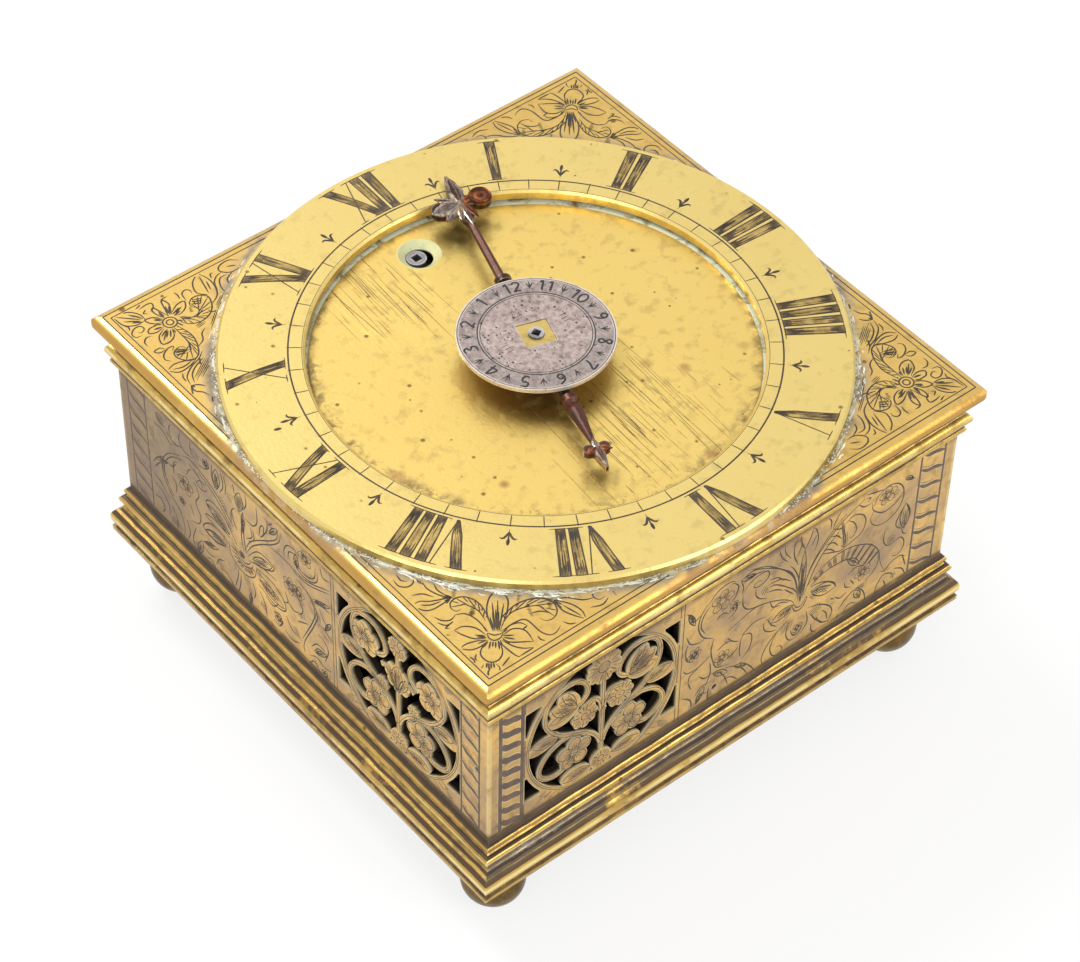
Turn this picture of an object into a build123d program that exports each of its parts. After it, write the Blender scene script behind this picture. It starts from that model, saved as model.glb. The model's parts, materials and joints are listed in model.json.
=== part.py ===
# Square table clock: a moulded brass case that stands on four balls, a dial on top
# with one hand and an alarm disc, and a verge movement with an alarm bell inside.
# +Z is up, +Y points to XII and +X to III. The balls stand on z = 0. Millimetres.
import os
from math import atan2, cos, degrees, hypot, pi, radians, sin

from build123d import *

os.makedirs("parts", exist_ok=True)

# Clearances
running_gap = 0.05          # radius of a bore over the shaft that turns in it
seat_gap = 0.05             # a fixed pin or foot in its hole
free_gap = 0.30             # a moving piece beside one that it never touches

# Heights of the case
foot_height = 14.3
base_height = 12.6
wall_height = 34.0
cornice_height = 8.8
plate_height = 3.2
ring_height = 1.9
base_z = foot_height
wall_z = base_z + base_height
cornice_z = wall_z + wall_height
plate_z = cornice_z + cornice_height
flat_z = plate_z + plate_height
ring_z = flat_z + ring_height

# Half widths of the case, each from the top plate's
edge_half = 60.0
flat_inset = 2.04
wall_inset = 3.47
base_lip_inset = 0.3
wall_thickness = 2.0
corner_round = 1.6
flat_half = edge_half - flat_inset
wall_half = edge_half - wall_inset
base_lip_half = edge_half - base_lip_inset
inner_half = wall_half - wall_thickness

# Top plate's edge, drawn from its under side up
edge_tuck = 0.7
edge_slope = 0.4
edge_low_rise = 0.9
edge_nose_rise = 1.35
edge_shoulder = 0.55
edge_shoulder_rise = 2.6

# Members of the cornice: how far out each starts, swells, and stands above the foot
bead_seat = 0.4
cornice_bead_swell = 0.7
cornice_bead_rise = 0.8
cornice_roll_seat = 0.6
cornice_roll_swell = 1.15
cornice_roll_rise = 3.6
cornice_roll_size = 1.3
cove_seat = 0.3
cove_depth = 0.95
cove_fall = 1.1
cove_inset = 1.0

# Members of the base
lip_rise = 1.0
torus_seat = 0.7
torus_swell = 0.9
torus_rise = 3.4
torus_size = 2.1
hollow_inset = 1.1
hollow_rise = 5.7
hollow_middle = (1.35, 6.2)
hollow_top = (0.9, 7.8)
base_bead_rise = 8.8
base_bead_size = 1.0
base_fillet_rise = 11.2
base_fillet_swell = 0.65
base_fillet_size = 0.8

# Dial
ring_inset = 0.4
ring_width = 16.6
ring_bevel = 0.45
opening_margin = 1.0
dial_margin = 4.0
dial_thickness = 1.5
ring_outer = edge_half - ring_inset
ring_inner = ring_outer - ring_width
opening_radius = ring_inner + opening_margin
dial_radius = ring_inner + dial_margin
dial_drop = 0.8
dial_z = flat_z - dial_drop
winding_spot = (0.1, 35.5)
winding_hole_radius = 2.7
winding_sink_radius = 4.2
winding_sink_depth = 1.2
ring_foot_margin = 4.5
ring_foot_radius = 1.1
ring_foot_length = 4.6
pin_radius = 0.5
pin_length = 6.0

# Pierced walls
fret_inset = 26.33
fret_radius = 18.1
fret_band = 1.0
fret_stroke = 1.0
fret_top = 16.3
fret_bottom = 15.3
fret_centre = wall_half - fret_inset
stem_length = 22.0
stem_rise = 0.4
foot_rose_drop = 13.2
foot_rose_radius = 2.5
top_rose_rise = 12.4
lobe_swell = 1.15
front_top_rose = 4.1
front_middle = (1.0, 0.9)         # height and radius
front_sides = (4.2, 2.0, 3.1)     # distance across, height, radius
left_top_rose = 2.6
left_middle = (4.0, 3.7)
left_sides = (4.6, -1.2, 1.7)
spandrel_width = 3.8
spandrel_height = 6.6
spandrel_rise = 9.0
spandrel_margin = 0.3
pin_hole_radius = 0.75
front_pin_x = -2.4
front_pin_height = 3.3
left_pin_y = -53.2
left_pin_height = 17.4

# Balls under the case
foot_inset = 9.7
foot_spread = edge_half - foot_inset
ball_radius = 6.3
ball_flat_depth = 0.3
neck_radius = 3.2
stud_radius = 1.5
nut_width = 6.0
nut_height = 2.0

# Bottom opening, door, hinge and turn button
flange_thickness = 2.7
base_wall_inset = 6.4
flange_width = 9.8
base_wall_half = edge_half - base_wall_inset
flange_half = base_wall_half - flange_width
door_gap = 0.4
door_thickness = 2.0
knuckle_radius = 1.5
knuckle_length = 6.0
knuckle_gap = 0.3
hinge_pin_radius = 0.7
hinge_reach = 1.2
leaf_depth = 5.0
leaf_thickness = 1.0
button_length = 6.6
button_width = 4.6
button_thickness = 1.2
button_setback = 3.2

# Movement frame
movement_half = 44.0
movement_plate_thickness = 2.0
upper_plate_z = 62.0
lower_plate_z = 34.0
pillar_radius = 3.2
pillar_waist = 1.7
pillar_pivot = 1.4
pillar_foot = 4.0
pillar_knop = 5.0
pillar_knop_radius = 2.6
pillar_tail = 2.4
pillar_spots = [(39.0, 39.0), (-39.0, 39.0), (39.0, -39.0), (-6.0, -39.0)]
dial_foot_radius = 2.2
dial_foot_spread = 40.0
dial_foot_pivot = 1.2
dial_foot_tail = 1.4
lug_size = 8.0
lug_height = 4.0
screw_radius = 1.2
screw_head_radius = 2.2
screw_head_height = 1.2
screw_bite = 2.2

# Wheels: leaves and teeth, modules and heights
tooth_tip = 0.75            # height of a tooth above the pitch circle, in modules
tooth_root = 1.15           # depth below the pitch circle, in modules
tooth_foot_share = 0.50     # width at the foot as a share of the pitch
tooth_tip_share = 0.20      # width at the tip as a share of the pitch
wheel_thickness = 1.5
pinion_height = 2.2
arbor_radius = 1.1
great_teeth = 40
great_module = 0.75
second_leaves = 10
second_teeth = 36
second_module = 0.70
contrate_leaves = 9
contrate_teeth = 32
contrate_module = 0.70
crown_leaves = 8
dial_leaves = 10
hour_teeth = 40
wheel_hub = 2.1             # width of a wheel's hub round its arbor
wheel_rim = 1.9             # width of a wheel's rim inside its teeth
wheel_arm = 2.0
wheel_arms = 4
slot_share = 0.68           # width of a contrate slot as a share of the pitch
saw_slope = 0.12            # run of a ratchet tooth's steep side as a share of the pitch
pivot_radius = 0.6
pivot_end = 0.3
great_z = 36.8
second_z = 58.6
hour_wheel_z = 65.5
hour_wheel_thickness = 1.8

# Going barrel and its arbor
barrel_spot = (-0.4, 35.8)
barrel_radius = 12.5
barrel_wall = 1.2
barrel_top_z = 57.0
cap_thickness = 1.3
barrel_pipe_radius = 4.0
barrel_arbor_radius = 2.0
spring_core_radius = 3.4
spring_turns = 3
spring_strip = 0.5
spring_pitch = 0.9
arbor_socket = 1.7
arbor_socket_depth = 1.5
arbor_top_drop = 1.0
ratchet_teeth = 20
ratchet_radius = 6.5
ratchet_depth = 1.1
ratchet_z = 31.0
ratchet_thickness = 1.6
click_width = 2.2
click_bearing = -60.0
click_tip_bearing = -100.0
click_distance = 10.5

# Contrate wheel, crown wheel, verge and balance
contrate_web_z = 39.2
contrate_web = 1.0
contrate_rim_width = 1.6
crown_axis_z = 45.0
crown_radius = 7.6
crown_teeth = 11
crown_tooth_height = 2.6
crown_rim = 1.2
crown_web = 1.0
crown_run = 9.4             # from the pinion's middle to the tips of the crown teeth
crown_pinion_half = 1.5
tooth_near = 0.26           # a crown tooth's foot and its leaning side, in shares of the pitch
tooth_lean = 0.38
tooth_far = 0.44
tooth_floor = 0.3
bracket_width = 3.2
bracket_thickness = 1.4
nose_near = 0.8             # the potence's nose, behind the tips of the crown teeth
nose_far = 2.0
post_offset = 2.6
post_width = 3.0
post_reach = 2.7
verge_radius = 0.5
verge_offset = 1.5
pallet_reach = 1.4
pallet_height = 2.4
pallet_thickness = 0.5
pallet_spread = 100.0
balance_radius = 14.0
balance_rim = 1.5
balance_spoke = 1.6
balance_spokes = 3
balance_z = 28.6
balance_thickness = 1.2
cock_z = 25.8
cock_thickness = 1.4
cock_table_radius = 9.0
cock_hole_radius = 1.7
cock_hole_circle = 5.9
cock_holes = 6
cock_foot_size = 7.0
cock_reach = 20.0
cock_bearing = -45.0

# Hand, hour pipe and alarm disc
hand_angle = 72.0
pipe_radius = 4.0
pipe_top_radius = 3.0
hand_axis_z = 75.8
hub_radius = 5.2
hub_height = 2.0
hand_tip = 48.7
hand_tail = 35.2
rod_root_radius = 1.05
rod_end_radius = 0.80
hand_collar_x = 17.0
hand_collar_radius = 1.75
hand_head_x = 40.2
hand_head_thickness = 1.4
hand_overlap = 1.0          # how far rod and tail run into the hub
hand_facets = 8
collar_width = 1.3
head_length = 7.2           # the head, from its foot to its cross piece
head_swell = 3.4            # from each end of the head to its widest place
head_half = 1.5
head_waist = 1.0
head_shoulder = 1.6
hand_point = 0.3
head_cross = (2.0, 7.6)
head_left_lobe = (-0.6, 4.2)
head_left_radius = 2.0
head_right_lobe = (0.4, -4.1)
head_right_radius = 2.3
tail_lobe_x = 30.4
tail_lobe_radius = 1.5
tail_side_lobe = (0.3, 1.5)
tail_side_radius = 1.1
tail_point_root = (1.0, 1.1)
tail_neck_run = 2.4         # the thin end of the tail, up to its lobes
tail_neck_radius = 0.56
tail_bulb_run = 2.86        # a swelling beyond the tail's collar
tail_bulb_radius = 1.58
alarm_disc_radius = 15.1
alarm_disc_thickness = 0.8
alarm_disc_gap = 0.3
disc_square = 6.2
boss_drop = 0.2
alarm_arbor_radius = 1.5
alarm_arbor_rise = 0.15
alarm_socket = 1.6
cam_radius = 7.0
cam_thickness = 1.5
cam_drop = 0.6
cam_notch_radius = 1.4

# Alarm work
alarm_spot = (-27.0, 14.0)
alarm_teeth = 32
alarm_module = 0.70
alarm_leaves = 8
alarm_drum_radius = 9.0
alarm_drum_top_z = 48.5
alarm_winding_radius = 1.8
winding_square = 2.4
winding_end_z = 24.5
alarm_escape_angle = -80.0
escape_teeth = 15
escape_radius = 8.0
escape_depth = 1.8
escape_z = 50.0
hammer_spacing = 11.5
hammer_bearing = -60.0
hammer_arbor_radius = 1.0
hammer_pallet_radius = 3.1
hammer_pallet_width = 1.0
hammer_pallet_spread = 45.0
hammer_arm_width = 1.6
hammer_z = 40.0
hammer_head_radius = 2.2
hammer_head_height = 4.0
hammer_gap = 1.0
hammer_strike_angle = 30.0
bell_spacing = 4.7          # from a dial foot to the bell post, along each side
bell_radius = 14.0
bell_height = 14.0
bell_wall = 1.2
bell_shoulder = 5.0
bell_steps = 6
bell_nut_height = 1.4
bell_z = 38.0
bell_post_radius = 2.0
bell_nut_radius = 2.8
bell_post_tail = 0.5
detent_spot = (-8.0, -12.5)

# Places worked out from the sizes above
barrel_distance = hypot(*barrel_spot)
hour_module = 2 * barrel_distance / (dial_leaves + hour_teeth)
great_to_second = (great_teeth + second_leaves) * great_module / 2
second_bearing = -25.0
second_spot = (
    barrel_spot[0] + great_to_second * cos(radians(second_bearing)),
    barrel_spot[1] + great_to_second * sin(radians(second_bearing)),
)
second_to_contrate = (second_teeth + contrate_leaves) * second_module / 2
contrate_spot = (second_spot[0], second_spot[1] - second_to_contrate)
contrate_radius = contrate_teeth * contrate_module / 2
crown_pinion_radius = crown_leaves * contrate_module / 2
crown_pinion_y = contrate_spot[1] - contrate_radius
crown_tip_y = crown_pinion_y - crown_run
crown_x = contrate_spot[0]
verge_spot = (crown_x, crown_tip_y - verge_offset)
alarm_to_escape = (alarm_teeth + alarm_leaves) * alarm_module / 2
escape_spot = (
    alarm_spot[0] + alarm_to_escape * cos(radians(alarm_escape_angle)),
    alarm_spot[1] + alarm_to_escape * sin(radians(alarm_escape_angle)),
)
hammer_spot = (
    escape_spot[0] + hammer_spacing * cos(radians(hammer_bearing)),
    escape_spot[1] + hammer_spacing * sin(radians(hammer_bearing)),
)
dial_foot_side = dial_foot_spread / 2 ** 0.5
bell_spot = (-dial_foot_side - bell_spacing, -dial_foot_side - bell_spacing)
strike_distance = bell_radius + hammer_gap + hammer_head_radius
hammer_head_spot = (
    bell_spot[0] + strike_distance * cos(radians(hammer_strike_angle)),
    bell_spot[1] + strike_distance * sin(radians(hammer_strike_angle)),
)
lower_top_z = lower_plate_z + movement_plate_thickness
upper_top_z = upper_plate_z + movement_plate_thickness
ring_foot_side = (dial_radius + ring_foot_margin) / 2 ** 0.5
hinge_y = flange_half + hinge_reach
hinge_z = base_z - knuckle_radius - free_gap
button_y = -(flange_half + button_setback)
disc_z = ring_z + hub_height + alarm_disc_gap
disc_top_z = disc_z + alarm_disc_thickness


def save_shape(shape, name):
    shape.label = name
    export_step(shape, "parts/" + name + ".step")


def save(piece, name):
    save_shape(piece.part, name)


def corner_spots(side):
    return [(side, side), (-side, side), (-side, -side), (side, -side)]


# Mouldings: the half outline from the middle plane out, drawn upwards, and mirrored
def bead(foot, middle_z, swell, size):
    ThreePointArc((foot, middle_z - size), (foot + swell, middle_z), (foot, middle_z + size))


def plate_edge_section():
    with BuildSketch() as section:
        with BuildLine():
            Line((0, plate_z), (edge_half - edge_tuck, plate_z))
            Line((edge_half - edge_tuck, plate_z), (edge_half - edge_slope, plate_z + edge_low_rise))
            Line((edge_half - edge_slope, plate_z + edge_low_rise), (edge_half, plate_z + edge_nose_rise))
            ThreePointArc(
                (edge_half, plate_z + edge_nose_rise),
                (edge_half - edge_shoulder, plate_z + edge_shoulder_rise),
                (flat_half, flat_z),
            )
            Line((flat_half, flat_z), (0, flat_z))
            mirror(about=Plane.YZ)
        make_face()
    return section.sketch


def cornice_section():
    bead_foot = wall_half + bead_seat
    bead_z = cornice_z + cornice_bead_rise
    roll_foot = wall_half + cornice_roll_seat
    roll_z = cornice_z + cornice_roll_rise
    cove_foot = wall_half + cove_seat
    cove_z = roll_z + cornice_roll_size + cove_seat
    with BuildSketch() as section:
        with BuildLine():
            Line((0, cornice_z), (bead_foot, cornice_z))
            bead(bead_foot, bead_z, cornice_bead_swell, cornice_bead_rise)
            Line((bead_foot, bead_z + cornice_bead_rise), (roll_foot, roll_z - cornice_roll_size))
            bead(roll_foot, roll_z, cornice_roll_swell, cornice_roll_size)
            Line((roll_foot, roll_z + cornice_roll_size), (cove_foot, cove_z))
            ThreePointArc(
                (cove_foot, cove_z),
                (wall_half + cove_depth, plate_z - cove_fall),
                (edge_half - cove_inset, plate_z),
            )
            Line((edge_half - cove_inset, plate_z), (0, plate_z))
            mirror(about=Plane.YZ)
        make_face()
    return section.sketch


def base_section():
    torus_foot = base_lip_half - torus_seat
    torus_z = base_z + torus_rise
    hollow_foot = (base_lip_half - hollow_inset, base_z + hollow_rise)
    hollow_head = (wall_half + hollow_top[0], base_z + hollow_top[1])
    bead_z = base_z + base_bead_rise
    fillet_foot = wall_half + bead_seat
    fillet_z = base_z + base_fillet_rise
    with BuildSketch() as section:
        with BuildLine():
            Line((0, base_z), (base_lip_half, base_z))
            Line((base_lip_half, base_z), (base_lip_half, base_z + lip_rise))
            Line((base_lip_half, base_z + lip_rise), (torus_foot, torus_z - torus_size))
            bead(torus_foot, torus_z, torus_swell, torus_size)
            Line((torus_foot, torus_z + torus_size), hollow_foot)
            ThreePointArc(
                hollow_foot,
                (wall_half + hollow_middle[0], base_z + hollow_middle[1]),
                hollow_head,
            )
            bead(hollow_head[0], bead_z, base_bead_size, base_bead_size)
            Line((hollow_head[0], bead_z + base_bead_size), (fillet_foot, fillet_z - base_fillet_size))
            bead(fillet_foot, fillet_z, base_fillet_swell, base_fillet_size)
            Line((fillet_foot, fillet_z + base_fillet_size), (wall_half, wall_z))
            Line((wall_half, wall_z), (0, wall_z))
            mirror(about=Plane.YZ)
        make_face()
    return section.sketch


# A square frame with mitred corners is what two crossing lengths of a section share
plate_section = plate_edge_section()
with BuildPart() as top_plate:
    with BuildSketch(Plane.XZ):
        add(plate_section)
    extrude(amount=edge_half, both=True)
    with BuildSketch(Plane.YZ):
        add(plate_section)
    extrude(amount=edge_half, both=True, mode=Mode.INTERSECT)
    with BuildSketch(Plane.XY.offset(plate_z)):
        RectangleRounded(2 * edge_half, 2 * edge_half, corner_round)
    extrude(amount=plate_height, mode=Mode.INTERSECT)
    with BuildSketch(Plane.XY.offset(plate_z)):
        Circle(opening_radius)
    extrude(amount=plate_height, mode=Mode.SUBTRACT)
    with BuildSketch(Plane.XY.offset(plate_z)):
        Circle(dial_radius + seat_gap)
    extrude(amount=dial_z - plate_z, mode=Mode.SUBTRACT)
    with BuildSketch(Plane.XY.offset(plate_z)):
        with Locations(*corner_spots(ring_foot_side)):
            Circle(ring_foot_radius + seat_gap)
    extrude(amount=plate_height, mode=Mode.SUBTRACT)
    with BuildSketch(Plane.XY.offset(plate_z)):
        with Locations(*corner_spots(inner_half - lug_size / 2)):
            Circle(screw_radius + seat_gap)
    extrude(amount=screw_bite + seat_gap, mode=Mode.SUBTRACT)
save(top_plate, "top_plate")

cornice_outline = cornice_section()
with BuildPart() as cornice:
    with BuildSketch(Plane.XZ):
        add(cornice_outline)
    extrude(amount=edge_half, both=True)
    with BuildSketch(Plane.YZ):
        add(cornice_outline)
    extrude(amount=edge_half, both=True, mode=Mode.INTERSECT)
    with BuildSketch(Plane.XY.offset(cornice_z)):
        Rectangle(2 * inner_half, 2 * inner_half)
    extrude(amount=cornice_height, mode=Mode.SUBTRACT)
save(cornice, "cornice_moulding")

base_outline = base_section()
with BuildPart() as base_moulding:
    with BuildSketch(Plane.XZ):
        add(base_outline)
    extrude(amount=edge_half, both=True)
    with BuildSketch(Plane.YZ):
        add(base_outline)
    extrude(amount=edge_half, both=True, mode=Mode.INTERSECT)
    with BuildSketch(Plane.XY.offset(base_z + flange_thickness)):
        Rectangle(2 * base_wall_half, 2 * base_wall_half)
    extrude(amount=base_height - flange_thickness, mode=Mode.SUBTRACT)
    with BuildSketch(Plane.XY.offset(base_z)):
        Rectangle(2 * flange_half, 2 * flange_half)
        with Locations(*corner_spots(foot_spread)):
            Circle(stud_radius + seat_gap)
        with Locations((0, button_y)):
            Circle(screw_radius + seat_gap)
    extrude(amount=flange_thickness, mode=Mode.SUBTRACT)
save(base_moulding, "base_moulding")


# Pierced work. The holes are the inside of a ring less the stems, scrolls, flowers and
# leaves that are left standing, and four three-cornered holes outside the ring.
# Points are across and up from the ring's middle. A leaf is its middle, its long and
# short radius and its turn. Each is repeated on the other side of the stem.
upper_scroll = [
    (0.2, -8.5), (3.7, -3.2), (9.8, 0.5), (13.3, 5.8), (12.0, 11.6), (6.0, 12.6), (3.6, 8.6), (6.0, 5.9),
]
lower_scroll = [(4.6, -2.6), (8.4, -1.3), (13.2, -3.4), (14.6, -7.4), (11.6, -10.0), (8.0, -8.6)]
side_link = [(0.2, 0.6), (1.7, 4.7), (4.8, 4.2)]
outer_leaf = (13.7, 0.8, 3.7, 1.8, -8.0)
foot_leaf = (5.9, -13.6, 3.6, 2.3, 12.0)
tulip_root = (5.7, 5.5)
tulip_turn = 25.0
tulip_reach = 7.6
tulip_waist = 4.4
tulip_spread = 27.0
pansy_spot = (6.5, -6.6)
pansy_radius = 4.1
pansy_lobes = 5
upper_pansy_spot = (9.6, 7.0)
rose_lobes = 11
rosette_lobes = 8


def curl(points):
    with BuildSketch() as stroke:
        with BuildLine():
            Spline(*points)
        trace(line_width=fret_stroke)
    return stroke.sketch


def rose(spot, radius, lobes):
    share = sin(pi / lobes)
    lobe = radius * share / (1 + share) * lobe_swell
    with BuildSketch() as outline:
        with Locations(spot):
            Circle(radius - lobe)
            with PolarLocations(radius - lobe, lobes, start_angle=90):
                Circle(lobe)
    return outline.sketch


def tulip(side):
    across, up = tulip_root
    with BuildSketch() as outline:
        for spread in (-tulip_spread, 0, tulip_spread):
            turn = tulip_turn + spread
            with BuildLine(Plane.XY * Location((side * across, up), 90 - side * (90 - turn))):
                tip = (tulip_reach, 0)
                ThreePointArc((0, 0), (tulip_reach / 2, tulip_waist / 2), tip)
                ThreePointArc(tip, (tulip_reach / 2, -tulip_waist / 2), (0, 0))
            make_face()
    return outline.sketch


def petal(leaf, side):
    across, up, long_radius, short_radius, turn = leaf
    with BuildSketch() as outline:
        with Locations(Location((side * across, up), side * turn)):
            Ellipse(long_radius, short_radius)
    return outline.sketch


with BuildSketch() as spandrels:
    with GridLocations(2 * (fret_radius - spandrel_width / 2), 2 * spandrel_rise, 2, 2):
        Rectangle(spandrel_width, spandrel_height)
    Circle(fret_radius + spandrel_margin, mode=Mode.SUBTRACT)
spandrel_holes = spandrels.sketch


def fret_holes(top_rose, middle, sides, tulips):
    middle_rise, middle_rose = middle
    side_across, side_rise, side_rose = sides
    with BuildSketch() as holes:
        Circle(fret_radius - fret_band)
        with Locations((0, (fret_top - fret_bottom) / 2)):
            Rectangle(2 * fret_radius, fret_top + fret_bottom, mode=Mode.INTERSECT)
        with Locations((0, stem_rise)):
            Rectangle(fret_stroke, stem_length, mode=Mode.SUBTRACT)
        with Locations((0, -foot_rose_drop)):
            Circle(foot_rose_radius, mode=Mode.SUBTRACT)
        add(rose((0, top_rose_rise), top_rose, rose_lobes), mode=Mode.SUBTRACT)
        add(rose((0, middle_rise), middle_rose, rosette_lobes), mode=Mode.SUBTRACT)
        for side in (1, -1):
            for path in (upper_scroll, lower_scroll, side_link):
                add(curl([(side * x, y) for x, y in path]), mode=Mode.SUBTRACT)
            for leaf in (outer_leaf, foot_leaf):
                add(petal(leaf, side), mode=Mode.SUBTRACT)
            add(rose((side * side_across, side_rise), side_rose, rosette_lobes), mode=Mode.SUBTRACT)
            add(rose((side * pansy_spot[0], pansy_spot[1]), pansy_radius, pansy_lobes), mode=Mode.SUBTRACT)
            if tulips:
                add(tulip(side), mode=Mode.SUBTRACT)
            else:
                spot = (side * upper_pansy_spot[0], upper_pansy_spot[1])
                add(rose(spot, pansy_radius, pansy_lobes), mode=Mode.SUBTRACT)
        add(spandrel_holes)
    return holes.sketch


front_holes = fret_holes(front_top_rose, front_middle, front_sides, tulips=True)
left_holes = fret_holes(left_top_rose, left_middle, left_sides, tulips=False)


def wall_outline():
    with BuildSketch() as outline:
        Polygon(
            (-wall_half, -wall_half), (wall_half, -wall_half),
            (inner_half, -inner_half), (-inner_half, -inner_half),
            align=None,
        )
    return outline.sketch


wall_plan = wall_outline()
front_face = Plane.XZ.offset(wall_half)
left_face = Plane(origin=(-wall_half, 0, 0), x_dir=(0, -1, 0), z_dir=(-1, 0, 0))
wall_middle_z = wall_z + wall_height / 2

with BuildPart() as front_wall:
    with BuildSketch(Plane.XY.offset(wall_z)):
        add(wall_plan)
    extrude(amount=wall_height)
    with BuildSketch(front_face):
        with Locations((-fret_centre, wall_middle_z)):
            add(front_holes)
        with Locations((front_pin_x, wall_z + front_pin_height)):
            Circle(pin_hole_radius)
    extrude(amount=-wall_thickness, mode=Mode.SUBTRACT)
save(front_wall, "front_wall")

with BuildPart() as left_wall:
    with BuildSketch(Plane.XY.offset(wall_z)):
        add(wall_plan, rotation=-90)
    extrude(amount=wall_height)
    with BuildSketch(left_face):
        with Locations((fret_centre, wall_middle_z)):
            add(left_holes)
        with Locations((-left_pin_y, wall_z + left_pin_height)):
            Circle(pin_hole_radius)
    extrude(amount=-wall_thickness, mode=Mode.SUBTRACT)
save(left_wall, "left_wall")

with BuildPart() as right_wall:
    with BuildSketch(Plane.XY.offset(wall_z)):
        add(wall_plan, rotation=90)
    extrude(amount=wall_height)
save(right_wall, "right_wall")

with BuildPart() as back_wall:
    with BuildSketch(Plane.XY.offset(wall_z)):
        add(wall_plan, rotation=180)
    extrude(amount=wall_height)
save(back_wall, "back_wall")


# Dial
with BuildPart() as chapter_ring:
    with BuildSketch(Plane.XY.offset(flat_z)):
        Circle(ring_outer)
        Circle(ring_inner, mode=Mode.SUBTRACT)
    extrude(amount=ring_height)
    chamfer(chapter_ring.faces().sort_by(Axis.Z)[-1].edges(), length=ring_bevel)
    with BuildSketch(Plane.XY.offset(flat_z)):
        with Locations(*corner_spots(ring_foot_side)):
            Circle(ring_foot_radius)
    extrude(amount=-ring_foot_length)
    with Locations(*[(x, y, plate_z - pin_radius) for x, y in corner_spots(ring_foot_side)]):
        Cylinder(pin_radius + seat_gap, pin_length, rotation=(0, 90, 0), mode=Mode.SUBTRACT)
save(chapter_ring, "chapter_ring")

sink_angle = 2 * degrees(atan2(winding_sink_radius - winding_hole_radius, winding_sink_depth))
with BuildPart() as dial_plate:
    with BuildSketch(Plane.XY.offset(dial_z - dial_thickness)):
        Circle(dial_radius)
        Circle(pipe_radius + running_gap, mode=Mode.SUBTRACT)
    extrude(amount=dial_thickness)
    with Locations((winding_spot[0], winding_spot[1], dial_z)):
        CounterSinkHole(winding_hole_radius, winding_sink_radius, dial_thickness, sink_angle)
save(dial_plate, "dial_plate")

# Feet and their nuts
with BuildPart() as ball_feet:
    with Locations(*[(x, y, ball_radius - ball_flat_depth) for x, y in corner_spots(foot_spread)]):
        Sphere(ball_radius)
    with BuildSketch(Plane.XY.offset(foot_height)):
        with Locations(*corner_spots(foot_spread)):
            Circle(neck_radius)
    extrude(amount=ball_radius - foot_height)
    with BuildSketch(Plane.XY.offset(foot_height)):
        with Locations(*corner_spots(foot_spread)):
            Circle(stud_radius)
    extrude(amount=flange_thickness + nut_height + stud_radius / 2)
    with BuildSketch(Plane.XY.offset(-ball_flat_depth)):
        Rectangle(2 * edge_half, 2 * edge_half)
    extrude(amount=ball_flat_depth, mode=Mode.SUBTRACT)
save(ball_feet, "ball_feet")

with BuildPart() as foot_nuts:
    with BuildSketch(Plane.XY.offset(base_z + flange_thickness)):
        with Locations(*corner_spots(foot_spread)):
            Rectangle(nut_width, nut_width)
            Circle(stud_radius + seat_gap, mode=Mode.SUBTRACT)
    extrude(amount=nut_height)
save(foot_nuts, "foot_nuts")


# Bottom door. Its two knuckles sit between the three of the fixed leaf.
def knuckles(centres):
    for x in centres:
        with Locations((x, hinge_y, hinge_z)):
            Cylinder(knuckle_radius, knuckle_length - knuckle_gap, rotation=(0, 90, 0))


fixed_knuckles = [-2 * knuckle_length, 0, 2 * knuckle_length]
door_knuckles = [-knuckle_length, knuckle_length]
hinge_width = 5 * knuckle_length
leaf_clear = knuckle_radius + free_gap
door_half = flange_half - door_gap

with BuildPart() as bottom_door:
    with BuildSketch(Plane.XY.offset(base_z)):
        Rectangle(2 * door_half, 2 * door_half)
    extrude(amount=door_thickness)
    chamfer(bottom_door.faces().sort_by(Axis.Z)[-1].edges(), length=door_thickness / 4)
    with BuildSketch(Plane.XY.offset(base_z - leaf_thickness)):
        with Locations((0, hinge_y - leaf_clear)):
            Rectangle(hinge_width, leaf_depth, align=(Align.CENTER, Align.MAX))
    extrude(amount=leaf_thickness)
    with BuildSketch(Plane.XY.offset(base_z - leaf_thickness - free_gap)):
        for centre in door_knuckles:
            with Locations((centre, hinge_y)):
                Rectangle(
                    knuckle_length - knuckle_gap, leaf_clear + leaf_thickness,
                    align=(Align.CENTER, Align.MAX),
                )
    extrude(amount=leaf_thickness)
    knuckles(door_knuckles)
    with Locations((0, hinge_y, hinge_z)):
        Cylinder(hinge_pin_radius + running_gap, hinge_width, rotation=(0, 90, 0), mode=Mode.SUBTRACT)
save(bottom_door, "bottom_door")

with BuildPart() as hinge_leaf:
    with BuildSketch(Plane.XY.offset(base_z - leaf_thickness)):
        with Locations((0, hinge_y + leaf_clear)):
            Rectangle(hinge_width, leaf_depth, align=(Align.CENTER, Align.MIN))
        for centre in fixed_knuckles:
            with Locations((centre, hinge_y)):
                Rectangle(
                    knuckle_length - knuckle_gap, leaf_clear + leaf_thickness,
                    align=(Align.CENTER, Align.MIN),
                )
    extrude(amount=leaf_thickness)
    knuckles(fixed_knuckles)
    with Locations((0, hinge_y, hinge_z)):
        Cylinder(hinge_pin_radius + seat_gap, hinge_width, rotation=(0, 90, 0), mode=Mode.SUBTRACT)
save(hinge_leaf, "hinge_leaf")

with BuildPart() as hinge_pin:
    with Locations((0, hinge_y, hinge_z)):
        Cylinder(hinge_pin_radius, hinge_width, rotation=(0, 90, 0))
save(hinge_pin, "hinge_pin")

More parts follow.
